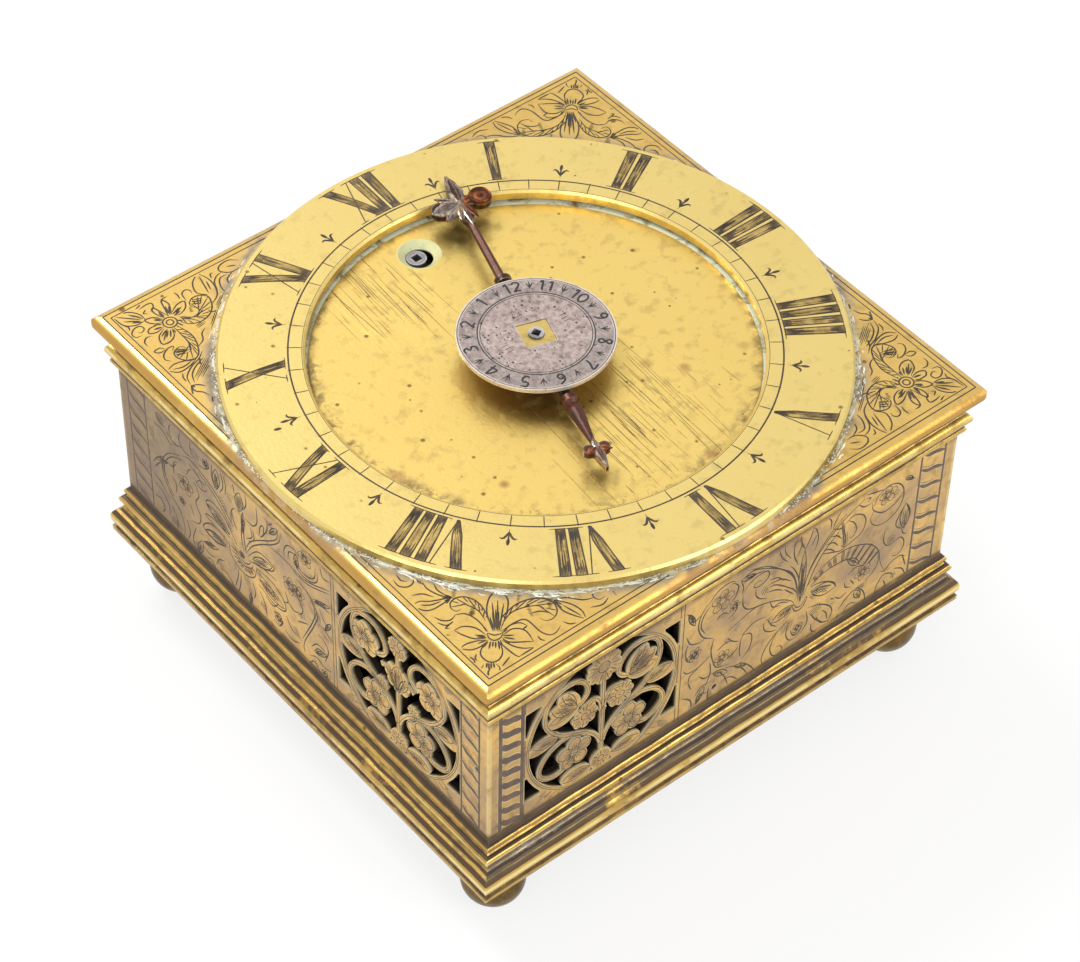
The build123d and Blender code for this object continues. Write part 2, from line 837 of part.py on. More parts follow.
button_top_z = base_z - free_gap
with BuildPart() as door_button:
    with BuildSketch(Plane.XY.offset(button_top_z - button_thickness)):
        with Locations((0, button_y)):
            Circle(button_width / 2)
            Rectangle(button_length, button_width, align=(Align.MIN, Align.CENTER))
        with Locations((button_length, button_y)):
            Circle(button_width / 2)
        with Locations((0, button_y)):
            Circle(screw_radius + running_gap, mode=Mode.SUBTRACT)
    extrude(amount=button_thickness)
save(door_button, "door_button")

with BuildPart() as button_screw:
    with BuildSketch(Plane.XY.offset(button_top_z - button_thickness - running_gap)):
        with Locations((0, button_y)):
            Circle(screw_radius)
    extrude(amount=button_thickness + running_gap + free_gap + flange_thickness)
    with BuildSketch(Plane.XY.offset(button_top_z - button_thickness - running_gap)):
        with Locations((0, button_y)):
            Circle(screw_head_radius)
    extrude(amount=-screw_head_height)
save(button_screw, "button_screw")

# Lugs in the corners of the case, screwed to the top plate from below
lug_spread = inner_half - lug_size / 2
lug_z = plate_z - lug_height
with BuildPart() as case_lugs:
    with BuildSketch(Plane.XY.offset(lug_z)):
        with Locations(*corner_spots(lug_spread)):
            Rectangle(lug_size, lug_size)
            Circle(screw_radius + seat_gap, mode=Mode.SUBTRACT)
    extrude(amount=lug_height)
save(case_lugs, "case_lugs")

with BuildPart() as lug_screws:
    with BuildSketch(Plane.XY.offset(lug_z)):
        with Locations(*corner_spots(lug_spread)):
            Circle(screw_radius)
    extrude(amount=lug_height + screw_bite)
    with BuildSketch(Plane.XY.offset(lug_z)):
        with Locations(*corner_spots(lug_spread)):
            Circle(screw_head_radius)
    extrude(amount=-screw_head_height)
save(lug_screws, "lug_screws")

# Movement frame: two plates, four pillars, four dial feet and the pins that hold them
pivot_spots = [second_spot, contrate_spot, escape_spot, hammer_spot]
foot_spots = corner_spots(dial_foot_side)
cock_foot_spot = (
    verge_spot[0] + cock_reach * cos(radians(cock_bearing)),
    verge_spot[1] + cock_reach * sin(radians(cock_bearing)),
)
click_spot = (
    barrel_spot[0] + click_distance * cos(radians(click_bearing)),
    barrel_spot[1] + click_distance * sin(radians(click_bearing)),
)


def plate_holes(spots, radius):
    with Locations(*spots):
        Circle(radius, mode=Mode.SUBTRACT)


with BuildPart() as upper_plate:
    with BuildSketch(Plane.XY.offset(upper_plate_z)):
        Rectangle(2 * movement_half, 2 * movement_half)
        plate_holes(pivot_spots, pivot_radius + running_gap)
        plate_holes([verge_spot], verge_radius + running_gap)
        plate_holes([barrel_spot], barrel_pipe_radius + running_gap)
        plate_holes([(0, 0)], alarm_arbor_radius + running_gap)
        plate_holes([alarm_spot], alarm_winding_radius + running_gap)
        plate_holes(pillar_spots, pillar_pivot + seat_gap)
        plate_holes(foot_spots, dial_foot_pivot + seat_gap)
        plate_holes([bell_spot, detent_spot], screw_radius + seat_gap)
    extrude(amount=movement_plate_thickness)
save(upper_plate, "movement_upper_plate")

with BuildPart() as lower_plate:
    with BuildSketch(Plane.XY.offset(lower_plate_z)):
        Rectangle(2 * movement_half, 2 * movement_half)
        plate_holes(pivot_spots, pivot_radius + running_gap)
        plate_holes([verge_spot], 2 * verge_radius)
        plate_holes([barrel_spot], barrel_arbor_radius + running_gap)
        plate_holes([alarm_spot], alarm_winding_radius + running_gap)
        plate_holes(pillar_spots, pillar_pivot + seat_gap)
        plate_holes([cock_foot_spot, click_spot], screw_radius + seat_gap)
    extrude(amount=movement_plate_thickness)
save(lower_plate, "movement_lower_plate")

pillar_height = upper_plate_z - lower_top_z
pillar_middle = lower_top_z + pillar_height / 2
with BuildPart() as pillars:
    for spot in pillar_spots:
        with BuildSketch(Plane((spot[0], spot[1], 0), x_dir=(1, 0, 0), z_dir=(0, -1, 0))):
            with BuildLine():
                Polyline(
                    (0, lower_plate_z - pillar_tail),
                    (pillar_pivot, lower_plate_z - pillar_tail),
                    (pillar_pivot, lower_top_z),
                    (pillar_radius, lower_top_z),
                    (pillar_waist, lower_top_z + pillar_foot),
                    (pillar_waist, pillar_middle - pillar_knop / 2),
                    (pillar_knop_radius, pillar_middle),
                    (pillar_waist, pillar_middle + pillar_knop / 2),
                    (pillar_waist, upper_plate_z - pillar_foot),
                    (pillar_radius, upper_plate_z),
                    (pillar_pivot, upper_plate_z),
                    (pillar_pivot, upper_top_z),
                    (0, upper_top_z),
                    close=True,
                )
            make_face()
        revolve(axis=Axis((spot[0], spot[1], 0), (0, 0, 1)))
    with Locations(*[(x, y, lower_plate_z - pin_radius) for x, y in pillar_spots]):
        Cylinder(pin_radius + seat_gap, pin_length, rotation=(0, 90, 0), mode=Mode.SUBTRACT)
save(pillars, "movement_pillars")

with BuildPart() as dial_feet:
    with BuildSketch(Plane.XY.offset(upper_top_z)):
        with Locations(*foot_spots):
            Circle(dial_foot_radius)
    extrude(amount=dial_z - dial_thickness - upper_top_z)
    with BuildSketch(Plane.XY.offset(upper_top_z)):
        with Locations(*foot_spots):
            Circle(dial_foot_pivot)
    extrude(amount=-movement_plate_thickness - dial_foot_tail)
    with Locations(*[(x, y, upper_plate_z - pin_radius) for x, y in foot_spots]):
        Cylinder(pin_radius + seat_gap, pin_length, rotation=(0, 90, 0), mode=Mode.SUBTRACT)
save(dial_feet, "dial_feet")

with BuildPart() as cross_pins:
    with Locations(*[(x, y, plate_z - pin_radius) for x, y in corner_spots(ring_foot_side)]):
        Cylinder(pin_radius, pin_length, rotation=(0, 90, 0))
    with Locations(*[(x, y, lower_plate_z - pin_radius) for x, y in pillar_spots]):
        Cylinder(pin_radius, pin_length, rotation=(0, 90, 0))
    with Locations(*[(x, y, upper_plate_z - pin_radius) for x, y in foot_spots]):
        Cylinder(pin_radius, pin_length, rotation=(0, 90, 0))
save(cross_pins, "cross_pins")


# Wheels. A tooth stands on the +X axis of each outline before it is turned.
def gear_outline(teeth, module):
    pitch_radius = teeth * module / 2
    pitch = pi * module
    root = pitch_radius - tooth_root * module
    tip = pitch_radius + tooth_tip * module
    foot = tooth_foot_share * pitch / 2
    point = tooth_tip_share * pitch / 2
    overlap = module / 3
    with BuildSketch() as outline:
        Circle(root)
        with PolarLocations(0, teeth):
            Polygon((root - overlap, -foot), (tip, -point), (tip, point), (root - overlap, foot), align=None)
    return outline.sketch


def saw_outline(teeth, tip, depth):
    step = radians(360 / teeth)
    root = tip - depth
    points = []
    for number in range(teeth):
        turn = number * step
        points.append((tip * cos(turn), tip * sin(turn)))
        foot_turn = turn + step * saw_slope
        points.append((root * cos(foot_turn), root * sin(foot_turn)))
    with BuildSketch() as outline:
        Polygon(*points, align=None)
    return outline.sketch


def wheel_windows(bore, root, arm):
    outer = root - wheel_rim
    with BuildSketch() as windows:
        Circle(outer)
        Circle(bore + wheel_hub, mode=Mode.SUBTRACT)
        with PolarLocations(0, wheel_arms):
            Rectangle(outer + arm, arm, align=(Align.MIN, Align.CENTER), mode=Mode.SUBTRACT)
    return windows.sketch


def arbor_with_pinion(spot, outline, turn, pinion_z):
    with BuildPart() as arbor:
        with BuildSketch(Plane.XY.offset(lower_plate_z + pivot_end)):
            with Locations(spot):
                Circle(pivot_radius)
        extrude(amount=upper_top_z - lower_plate_z - 2 * pivot_end)
        with BuildSketch(Plane.XY.offset(lower_top_z + free_gap)):
            with Locations(spot):
                Circle(arbor_radius)
        extrude(amount=pillar_height - 2 * free_gap)
        with BuildSketch(Plane.XY.offset(pinion_z)):
            with Locations(spot):
                add(outline, rotation=turn)
        extrude(amount=pinion_height)
    return arbor


# Going barrel: great wheel and drum in one, cap with pipe, dial pinion, mainspring
barrel_floor_z = great_z + wheel_thickness
barrel_bore = barrel_arbor_radius + running_gap
with BuildPart() as going_barrel:
    with BuildSketch(Plane.XY.offset(great_z)):
        with Locations(barrel_spot):
            add(gear_outline(great_teeth, great_module), rotation=second_bearing)
    extrude(amount=wheel_thickness)
    with BuildSketch(Plane.XY.offset(barrel_floor_z)):
        with Locations(barrel_spot):
            Circle(barrel_radius)
            Circle(barrel_radius - barrel_wall, mode=Mode.SUBTRACT)
    extrude(amount=barrel_top_z - barrel_floor_z)
    with BuildSketch(Plane.XY.offset(great_z)):
        with Locations(barrel_spot):
            Circle(barrel_bore)
    extrude(amount=wheel_thickness, mode=Mode.SUBTRACT)
save(going_barrel, "going_barrel")

dial_pinion_z = hour_wheel_z - (pinion_height - hour_wheel_thickness) / 2
with BuildPart() as barrel_cap:
    with BuildSketch(Plane.XY.offset(barrel_top_z)):
        with Locations(barrel_spot):
            Circle(barrel_radius)
    extrude(amount=cap_thickness)
    with BuildSketch(Plane.XY.offset(barrel_top_z)):
        with Locations(barrel_spot):
            Circle(barrel_pipe_radius)
    extrude(amount=dial_pinion_z + pinion_height - barrel_top_z)
    with BuildSketch(Plane.XY.offset(barrel_top_z)):
        with Locations(barrel_spot):
            Circle(barrel_bore)
    extrude(amount=dial_pinion_z + pinion_height - barrel_top_z, mode=Mode.SUBTRACT)
save(barrel_cap, "barrel_cap")

barrel_to_centre = degrees(atan2(-barrel_spot[1], -barrel_spot[0]))
with BuildPart() as dial_pinion:
    with BuildSketch(Plane.XY.offset(dial_pinion_z)):
        with Locations(barrel_spot):
            add(gear_outline(dial_leaves, hour_module), rotation=barrel_to_centre)
            Circle(barrel_pipe_radius + seat_gap, mode=Mode.SUBTRACT)
    extrude(amount=pinion_height)
save(dial_pinion, "dial_pinion")

spring_outer = barrel_radius - barrel_wall - spring_strip / 2 - seat_gap
spring_sides = 16
spring_points = []
for step in range(spring_sides * spring_turns + 1):
    spring_turn = 2 * pi * step / spring_sides
    spring_reach = spring_outer - spring_pitch * step / spring_sides
    spring_points.append((spring_reach * cos(spring_turn), spring_reach * sin(spring_turn)))
with BuildPart() as mainspring:
    with BuildSketch(Plane.XY.offset(barrel_floor_z + free_gap)):
        with Locations(barrel_spot):
            with BuildSketch(mode=Mode.PRIVATE) as strip:
                with BuildLine():
                    Polyline(*spring_points)
                trace(line_width=spring_strip)
            add(strip.sketch)
    extrude(amount=barrel_top_z - barrel_floor_z - 2 * free_gap)
save(mainspring, "mainspring")

arbor_top_z = dial_z - arbor_top_drop
with BuildPart() as barrel_arbor:
    with BuildSketch(Plane.XY.offset(ratchet_z - free_gap)):
        with Locations(barrel_spot):
            Circle(barrel_arbor_radius)
    extrude(amount=arbor_top_z - ratchet_z + free_gap)
    with BuildSketch(Plane.XY.offset(barrel_floor_z + running_gap)):
        with Locations(barrel_spot):
            Circle(spring_core_radius)
    extrude(amount=barrel_top_z - barrel_floor_z - 2 * running_gap)
    with BuildSketch(Plane.XY.offset(arbor_top_z)):
        with Locations(barrel_spot):
            Rectangle(arbor_socket, arbor_socket)
    extrude(amount=-arbor_socket_depth, mode=Mode.SUBTRACT)
save(barrel_arbor, "barrel_arbor")

with BuildPart() as ratchet_wheel:
    with BuildSketch(Plane.XY.offset(ratchet_z)):
        with Locations(barrel_spot):
            add(saw_outline(ratchet_teeth, ratchet_radius, ratchet_depth))
            Circle(barrel_arbor_radius + seat_gap, mode=Mode.SUBTRACT)
    extrude(amount=ratchet_thickness)
save(ratchet_wheel, "ratchet_wheel")

click_tip_distance = ratchet_radius + free_gap / 2 + click_width / 2
click_tip = (
    barrel_spot[0] + click_tip_distance * cos(radians(click_tip_bearing)),
    barrel_spot[1] + click_tip_distance * sin(radians(click_tip_bearing)),
)
click_turn = degrees(atan2(click_tip[1] - click_spot[1], click_tip[0] - click_spot[0]))
click_length = hypot(click_tip[0] - click_spot[0], click_tip[1] - click_spot[1])
with BuildPart() as click:
    with BuildSketch(Plane.XY.offset(ratchet_z)):
        with Locations(Location((click_spot[0], click_spot[1]), click_turn)):
            Rectangle(click_length, click_width, align=(Align.MIN, Align.CENTER))
        with Locations(click_tip):
            Circle(click_width / 2)
        with Locations(click_spot):
            Circle(click_width)
            Circle(screw_radius + running_gap, mode=Mode.SUBTRACT)
    extrude(amount=ratchet_thickness)
save(click, "click")

# Second wheel and contrate wheel
pinion_drop = (pinion_height - wheel_thickness) / 2
second_outline = gear_outline(second_leaves, great_module)
second_arbor = arbor_with_pinion(
    second_spot, second_outline, second_bearing + 180 + 180 / second_leaves, great_z - pinion_drop,
)
save(second_arbor, "second_arbor")

second_root = second_module * (second_teeth / 2 - tooth_root)
second_windows = wheel_windows(arbor_radius, second_root, wheel_arm)
with BuildPart() as second_wheel:
    with BuildSketch(Plane.XY.offset(second_z)):
        with Locations(second_spot):
            add(gear_outline(second_teeth, second_module), rotation=-90)
            add(second_windows, rotation=45, mode=Mode.SUBTRACT)
            Circle(arbor_radius + seat_gap, mode=Mode.SUBTRACT)
    extrude(amount=wheel_thickness)
save(second_wheel, "second_wheel")

contrate_outline = gear_outline(contrate_leaves, second_module)
contrate_arbor = arbor_with_pinion(
    contrate_spot, contrate_outline, 90 + 180 / contrate_leaves, second_z - pinion_drop,
)
save(contrate_arbor, "contrate_arbor")

contrate_pitch_z = crown_axis_z - crown_pinion_radius
contrate_tip_z = contrate_pitch_z + tooth_tip * contrate_module
contrate_root_z = contrate_pitch_z - tooth_root * contrate_module
contrate_outer = contrate_radius + contrate_rim_width / 2
contrate_inner = contrate_radius - contrate_rim_width / 2
slot_width = slot_share * pi * contrate_module
contrate_windows = wheel_windows(arbor_radius, contrate_outer, wheel_arm)
with BuildPart() as contrate_wheel:
    with BuildSketch(Plane.XY.offset(contrate_web_z)):
        with Locations(contrate_spot):
            Circle(contrate_outer)
            Circle(arbor_radius + seat_gap, mode=Mode.SUBTRACT)
            add(contrate_windows, rotation=45, mode=Mode.SUBTRACT)
    extrude(amount=contrate_web)
    with BuildSketch(Plane.XY.offset(contrate_web_z)):
        with Locations(contrate_spot):
            Circle(contrate_outer)
            Circle(contrate_inner, mode=Mode.SUBTRACT)
    extrude(amount=contrate_tip_z - contrate_web_z)
    with BuildSketch(Plane.XY.offset(contrate_root_z)):
        with Locations(contrate_spot):
            with PolarLocations(contrate_radius, contrate_teeth, start_angle=-90):
                Rectangle(2 * contrate_rim_width, slot_width)
    extrude(amount=contrate_tip_z - contrate_root_z, mode=Mode.SUBTRACT)
save(contrate_wheel, "contrate_wheel")

# Crown wheel on its level arbor, and the two brackets that carry it
pinion_back_y = crown_pinion_y + crown_pinion_half
bracket_y = pinion_back_y + free_gap
nose_front_y = crown_tip_y + nose_near
nose_back_y = crown_tip_y + nose_far
crown_web_y = crown_tip_y + crown_tooth_height


def level_plane(y):
    return Plane(origin=(crown_x, y, crown_axis_z), x_dir=(1, 0, 0), z_dir=(0, -1, 0))


with BuildPart() as crown_arbor:
    with BuildSketch(level_plane(bracket_y + bracket_thickness)):
        Circle(pivot_radius)
    extrude(amount=bracket_y + bracket_thickness - nose_front_y)
    with BuildSketch(level_plane(pinion_back_y)):
        Circle(arbor_radius)
    extrude(amount=pinion_back_y - crown_web_y)
    with BuildSketch(level_plane(pinion_back_y)):
        add(gear_outline(crown_leaves, contrate_module), rotation=-90)
    extrude(amount=2 * crown_pinion_half)
save(crown_arbor, "crown_arbor")

crown_step = 2 * pi * crown_radius / crown_teeth
crown_floor = crown_web + tooth_floor
with BuildPart() as crown_blank:
    Cylinder(crown_radius, crown_web, align=(Align.CENTER, Align.CENTER, Align.MIN))
    with BuildSketch(Plane.XY.offset(crown_web)):
        Circle(crown_radius)
        Circle(crown_radius - crown_rim, mode=Mode.SUBTRACT)
    extrude(amount=crown_tooth_height)
    Cylinder(arbor_radius + seat_gap, 2 * crown_web, mode=Mode.SUBTRACT)
    for number in range(crown_teeth):
        slot_plane = Plane.XZ.rotated((0, 0, number * 360 / crown_teeth))
        with BuildSketch(slot_plane):
            Polygon(
                (-tooth_far * crown_step, crown_web + crown_tooth_height),
                (-tooth_near * crown_step, crown_floor),
                (tooth_lean * crown_step, crown_floor),
                (tooth_far * crown_step, crown_web + crown_tooth_height),
                align=None,
            )
        extrude(amount=crown_radius + crown_rim, mode=Mode.SUBTRACT)
crown_wheel = level_plane(crown_web_y + crown_web).location * crown_blank.part
save_shape(crown_wheel, "crown_wheel")

post_near = crown_x + post_offset
post_far = post_near + post_width
post_front_y = verge_spot[1] - post_reach
with BuildPart() as potence:
    with BuildSketch(Plane.XY.offset(lower_top_z)):
        with Locations((post_near, post_front_y)):
            Rectangle(post_width, post_width, align=(Align.MIN, Align.MIN))
    extrude(amount=crown_axis_z + bracket_width / 2 - lower_top_z)
    with BuildSketch(Plane.XY.offset(crown_axis_z - bracket_width / 2)):
        with Locations((post_near, post_front_y)):
            Rectangle(post_width, nose_back_y - post_front_y, align=(Align.MIN, Align.MIN))
        with Locations((post_far, nose_front_y)):
            Rectangle(
                post_far - crown_x + bracket_width / 2, nose_back_y - nose_front_y,
                align=(Align.MAX, Align.MIN),
            )
    extrude(amount=bracket_width)
    with BuildSketch(level_plane(nose_back_y)):
        Circle(pivot_radius + running_gap)
    extrude(amount=nose_back_y - nose_front_y, mode=Mode.SUBTRACT)
save(potence, "potence")

with BuildPart() as counter_potence:
    with BuildSketch(Plane.XY.offset(upper_plate_z)):
        with Locations((crown_x, bracket_y)):
            Rectangle(bracket_width, bracket_thickness, align=(Align.CENTER, Align.MIN))
    extrude(amount=crown_axis_z - bracket_width / 2 - upper_plate_z)
    with BuildSketch(level_plane(bracket_y + bracket_thickness)):
        Circle(pivot_radius + running_gap)
    extrude(amount=bracket_thickness, mode=Mode.SUBTRACT)
save(counter_potence, "counter_potence")

# Verge, balance wheel and balance cock
with BuildPart() as verge:
    with BuildSketch(Plane.XY.offset(cock_z + pivot_end)):
        with Locations(verge_spot):
            Circle(verge_radius)
    extrude(amount=upper_top_z - cock_z - 2 * pivot_end)
    for side in (1, -1):
        flag_z = crown_axis_z + side * (crown_radius - crown_rim / 2)
        with BuildSketch(Plane.XY.offset(flag_z - pallet_height / 2)):
            with Locations(Location(verge_spot, 90 - side * pallet_spread / 2)):
                Rectangle(pallet_reach, pallet_thickness, align=(Align.MIN, Align.CENTER))
        extrude(amount=pallet_height)
save(verge, "verge")

with BuildPart() as balance_wheel:
    with BuildSketch(Plane.XY.offset(balance_z)):
        with Locations(verge_spot):
            Circle(balance_radius)
            Circle(balance_radius - balance_rim, mode=Mode.SUBTRACT)
            with PolarLocations(0, balance_spokes):
                Rectangle(balance_radius - balance_rim / 2, balance_spoke, align=(Align.MIN, Align.CENTER))
            Circle(2 * balance_spoke)
            Circle(verge_radius + seat_gap, mode=Mode.SUBTRACT)
    extrude(amount=balance_thickness)
save(balance_wheel, "balance_wheel")

with BuildPart() as balance_cock:
    with BuildSketch(Plane.XY.offset(cock_z)):
        with Locations(verge_spot):
            Circle(cock_table_radius)
        with Locations(Location(verge_spot, cock_bearing)):
            Rectangle(cock_reach, cock_foot_size, align=(Align.MIN, Align.CENTER))
        with Locations(Location(cock_foot_spot, cock_bearing)):
            Rectangle(cock_foot_size, cock_foot_size)
        with Locations(verge_spot):
            Circle(verge_radius + running_gap, mode=Mode.SUBTRACT)
            with PolarLocations(cock_hole_circle, cock_holes, start_angle=cock_bearing + 180 / cock_holes):
                Circle(cock_hole_radius, mode=Mode.SUBTRACT)
    extrude(amount=cock_thickness)
    with BuildSketch(Plane.XY.offset(cock_z)):
        with Locations(Location(cock_foot_spot, cock_bearing)):
            Rectangle(cock_foot_size, cock_foot_size)
    extrude(amount=lower_plate_z - cock_z)
    with BuildSketch(Plane.XY.offset(cock_z)):
        with Locations(cock_foot_spot):
            Circle(screw_radius + seat_gap)
    extrude(amount=lower_plate_z - cock_z, mode=Mode.SUBTRACT)
save(balance_cock, "balance_cock")

# Hour wheel with its pipe, hand, alarm arbor, cam, boss and disc
pipe_foot_z = upper_top_z + free_gap
pipe_rise = hub_height - seat_gap
hour_root = hour_module * (hour_teeth / 2 - tooth_root)
hour_windows = wheel_windows(pipe_radius + wheel_hub, hour_root - wheel_rim, 2 * wheel_arm)
with BuildPart() as hour_wheel:
    with BuildSketch(Plane.XY.offset(hour_wheel_z)):
        add(gear_outline(hour_teeth, hour_module), rotation=barrel_to_centre + 180 + 180 / hour_teeth)
        add(hour_windows, mode=Mode.SUBTRACT)
    extrude(amount=hour_wheel_thickness)
    with BuildSketch(Plane.XY.offset(pipe_foot_z)):
        Circle(pipe_radius)
    extrude(amount=ring_z - pipe_foot_z)
    with BuildSketch(Plane.XY.offset(ring_z)):
        Circle(pipe_top_radius)
    extrude(amount=pipe_rise)
    with BuildSketch(Plane.XY.offset(pipe_foot_z)):
        Circle(alarm_arbor_radius + running_gap)
    extrude(amount=ring_z + pipe_rise - pipe_foot_z, mode=Mode.SUBTRACT)
save(hour_wheel, "hour_wheel")

hand_way = (cos(radians(hand_angle)), sin(radians(hand_angle)), 0)
hand_plane = Plane(origin=(0, 0, hand_axis_z), x_dir=hand_way, z_dir=(0, 0, 1))
hand_axis = Axis((0, 0, hand_axis_z), hand_way)


def across_hand(reach):
    return Plane(
        origin=(hand_way[0] * reach, hand_way[1] * reach, hand_axis_z), x_dir=(0, 0, 1), z_dir=hand_way,
    )


rod_start = hub_radius - hand_overlap
head_foot = hand_head_x - head_length
tail_neck = tail_lobe_x - tail_neck_run
with BuildPart() as hour_hand:
    with BuildSketch(Plane.XY.offset(ring_z)):
        Circle(hub_radius)
    extrude(amount=hub_height)
    with BuildSketch(across_hand(rod_start)):
        RegularPolygon(rod_root_radius, hand_facets)
    with BuildSketch(across_hand(hand_head_x)):
        RegularPolygon(rod_end_radius, hand_facets)
    loft()
    with BuildSketch(hand_plane):
        with BuildLine():
            Polyline(
                (-rod_start, 0),
                (-rod_start, rod_root_radius),
                (-hand_collar_x + collar_width, rod_root_radius),
                (-hand_collar_x + collar_width / 2, hand_collar_radius),
                (-hand_collar_x - collar_width / 2, hand_collar_radius),
                (-hand_collar_x - collar_width, rod_root_radius),
                (-hand_collar_x - tail_bulb_run, tail_bulb_radius),
                (-tail_neck, tail_neck_radius),
                (-tail_lobe_x, tail_neck_radius),
                (-tail_lobe_x, 0),
                close=True,
            )
        make_face()
    revolve(axis=hand_axis)
    with BuildSketch(hand_plane):
        with BuildLine():
            Polyline(
                (hand_collar_x - collar_width, 0),
                (hand_collar_x - collar_width / 2, hand_collar_radius),
                (hand_collar_x + collar_width / 2, hand_collar_radius),
                (hand_collar_x + collar_width, 0),
                close=True,
            )
        make_face()
    revolve(axis=hand_axis)
    with BuildSketch(hand_plane.offset(-hand_head_thickness / 2)):
        Polygon(
            (head_foot, 0),
            (head_foot + head_swell, -head_half),
            (hand_head_x, -head_waist),
            (hand_head_x + head_swell, -head_shoulder),
            (hand_tip, hand_point),
            (hand_head_x + head_swell, head_shoulder),
            (hand_head_x, head_waist),
            (head_foot + head_swell, head_half),
            align=None,
        )
        with Locations((hand_head_x, 0)):
            Rectangle(*head_cross)
            with Locations(head_left_lobe):
                Circle(head_left_radius)
            with Locations(head_right_lobe):
                Circle(head_right_radius)
        with Locations((-tail_lobe_x, 0)):
            Circle(tail_lobe_radius)
            with Locations(tail_side_lobe, (tail_side_lobe[0], -tail_side_lobe[1])):
                Circle(tail_side_radius)
        Polygon(
            (-tail_lobe_x - tail_point_root[0], tail_point_root[1]),
            (-hand_tail, hand_point),
            (-hand_tail, -hand_point),
            (-tail_lobe_x - tail_point_root[0], -tail_point_root[1]),
            align=None,
        )
    extrude(amount=hand_head_thickness)
    with BuildSketch(Plane.XY.offset(ring_z)):
        Circle(pipe_top_radius + running_gap)
    extrude(amount=hub_height + rod_root_radius, mode=Mode.SUBTRACT)
save(hour_hand, "hour_hand")

with BuildPart() as alarm_disc:
    with BuildSketch(Plane.XY.offset(disc_z)):
        Circle(alarm_disc_radius)
        Rectangle(disc_square, disc_square, rotation=hand_angle, mode=Mode.SUBTRACT)
    extrude(amount=alarm_disc_thickness)
save(alarm_disc, "alarm_disc")

boss_side = disc_square - 2 * seat_gap
with BuildPart() as disc_boss:
    with BuildSketch(Plane.XY.offset(disc_z - alarm_disc_gap / 2)):
        Rectangle(boss_side, boss_side, rotation=hand_angle)
        Circle(alarm_arbor_radius + seat_gap, mode=Mode.SUBTRACT)
    extrude(amount=alarm_disc_thickness - boss_drop + alarm_disc_gap / 2)
save(disc_boss, "disc_boss")

cam_z = second_z
with BuildPart() as alarm_arbor:
    with BuildSketch(Plane.XY.offset(cam_z - cam_drop)):
        Circle(alarm_arbor_radius)
    extrude(amount=disc_top_z + alarm_arbor_rise - cam_z + cam_drop)
    with BuildSketch(Plane.XY.offset(disc_top_z + alarm_arbor_rise)):
        Rectangle(alarm_socket, alarm_socket, rotation=hand_angle - 45)
    extrude(amount=-arbor_socket_depth, mode=Mode.SUBTRACT)
save(alarm_arbor, "alarm_arbor")

with BuildPart() as alarm_cam:
    with BuildSketch(Plane.XY.offset(cam_z)):
        Circle(cam_radius)
        Circle(alarm_arbor_radius + seat_gap, mode=Mode.SUBTRACT)
        with Locations((cam_radius, 0)):
            Circle(cam_notch_radius, mode=Mode.SUBTRACT)
    extrude(amount=cam_thickness)
save(alarm_cam, "alarm_cam")

# Alarm barrel, its winding arbor, scape wheel, hammer and bell
with BuildPart() as alarm_barrel:
    with BuildSketch(Plane.XY.offset(great_z)):
        with Locations(alarm_spot):
            add(gear_outline(alarm_teeth, alarm_module), rotation=alarm_escape_angle)
    extrude(amount=wheel_thickness)
    with BuildSketch(Plane.XY.offset(great_z)):
        with Locations(alarm_spot):
            Circle(alarm_drum_radius)
    extrude(amount=alarm_drum_top_z - great_z)
    with BuildSketch(Plane.XY.offset(great_z)):
        with Locations(alarm_spot):
            Circle(alarm_winding_radius + running_gap)
    extrude(amount=alarm_drum_top_z - great_z, mode=Mode.SUBTRACT)
save(alarm_barrel, "alarm_barrel")

with BuildPart() as alarm_winding_arbor:
    with BuildSketch(Plane.XY.offset(ratchet_z)):
        with Locations(alarm_spot):
            Circle(alarm_winding_radius)
    extrude(amount=upper_top_z - ratchet_z)
    with BuildSketch(Plane.XY.offset(winding_end_z)):
        with Locations(alarm_spot):
            Rectangle(winding_square, winding_square)
    extrude(amount=ratchet_z - winding_end_z)
save(alarm_winding_arbor, "alarm_winding_arbor")

escape_turn = alarm_escape_angle + 180 + 180 / alarm_leaves
escape_arbor = arbor_with_pinion(
    escape_spot, gear_outline(alarm_leaves, alarm_module), escape_turn, great_z - pinion_drop,
)
save(escape_arbor, "alarm_scape_arbor")

with BuildPart() as escape_wheel:
    with BuildSketch(Plane.XY.offset(escape_z)):
        with Locations(escape_spot):
            add(saw_outline(escape_teeth, escape_radius, escape_depth))
            Circle(arbor_radius + seat_gap, mode=Mode.SUBTRACT)
    extrude(amount=wheel_thickness)
save(escape_wheel, "alarm_scape_wheel")

with BuildPart() as hammer_arbor:
    with BuildSketch(Plane.XY.offset(lower_plate_z + pivot_end)):
        with Locations(hammer_spot):
            Circle(pivot_radius)
    extrude(amount=upper_top_z - lower_plate_z - 2 * pivot_end)
    with BuildSketch(Plane.XY.offset(lower_top_z + free_gap)):
        with Locations(hammer_spot):
            Circle(hammer_arbor_radius)
    extrude(amount=pillar_height - 2 * free_gap)
    with BuildSketch(Plane.XY.offset(escape_z)):
        for spread in (hammer_pallet_spread, -hammer_pallet_spread):
            with Locations(Location(hammer_spot, hammer_bearing + 180 + spread)):
                Rectangle(hammer_pallet_radius, hammer_pallet_width, align=(Align.MIN, Align.CENTER))
    extrude(amount=wheel_thickness)
save(hammer_arbor, "hammer_arbor")

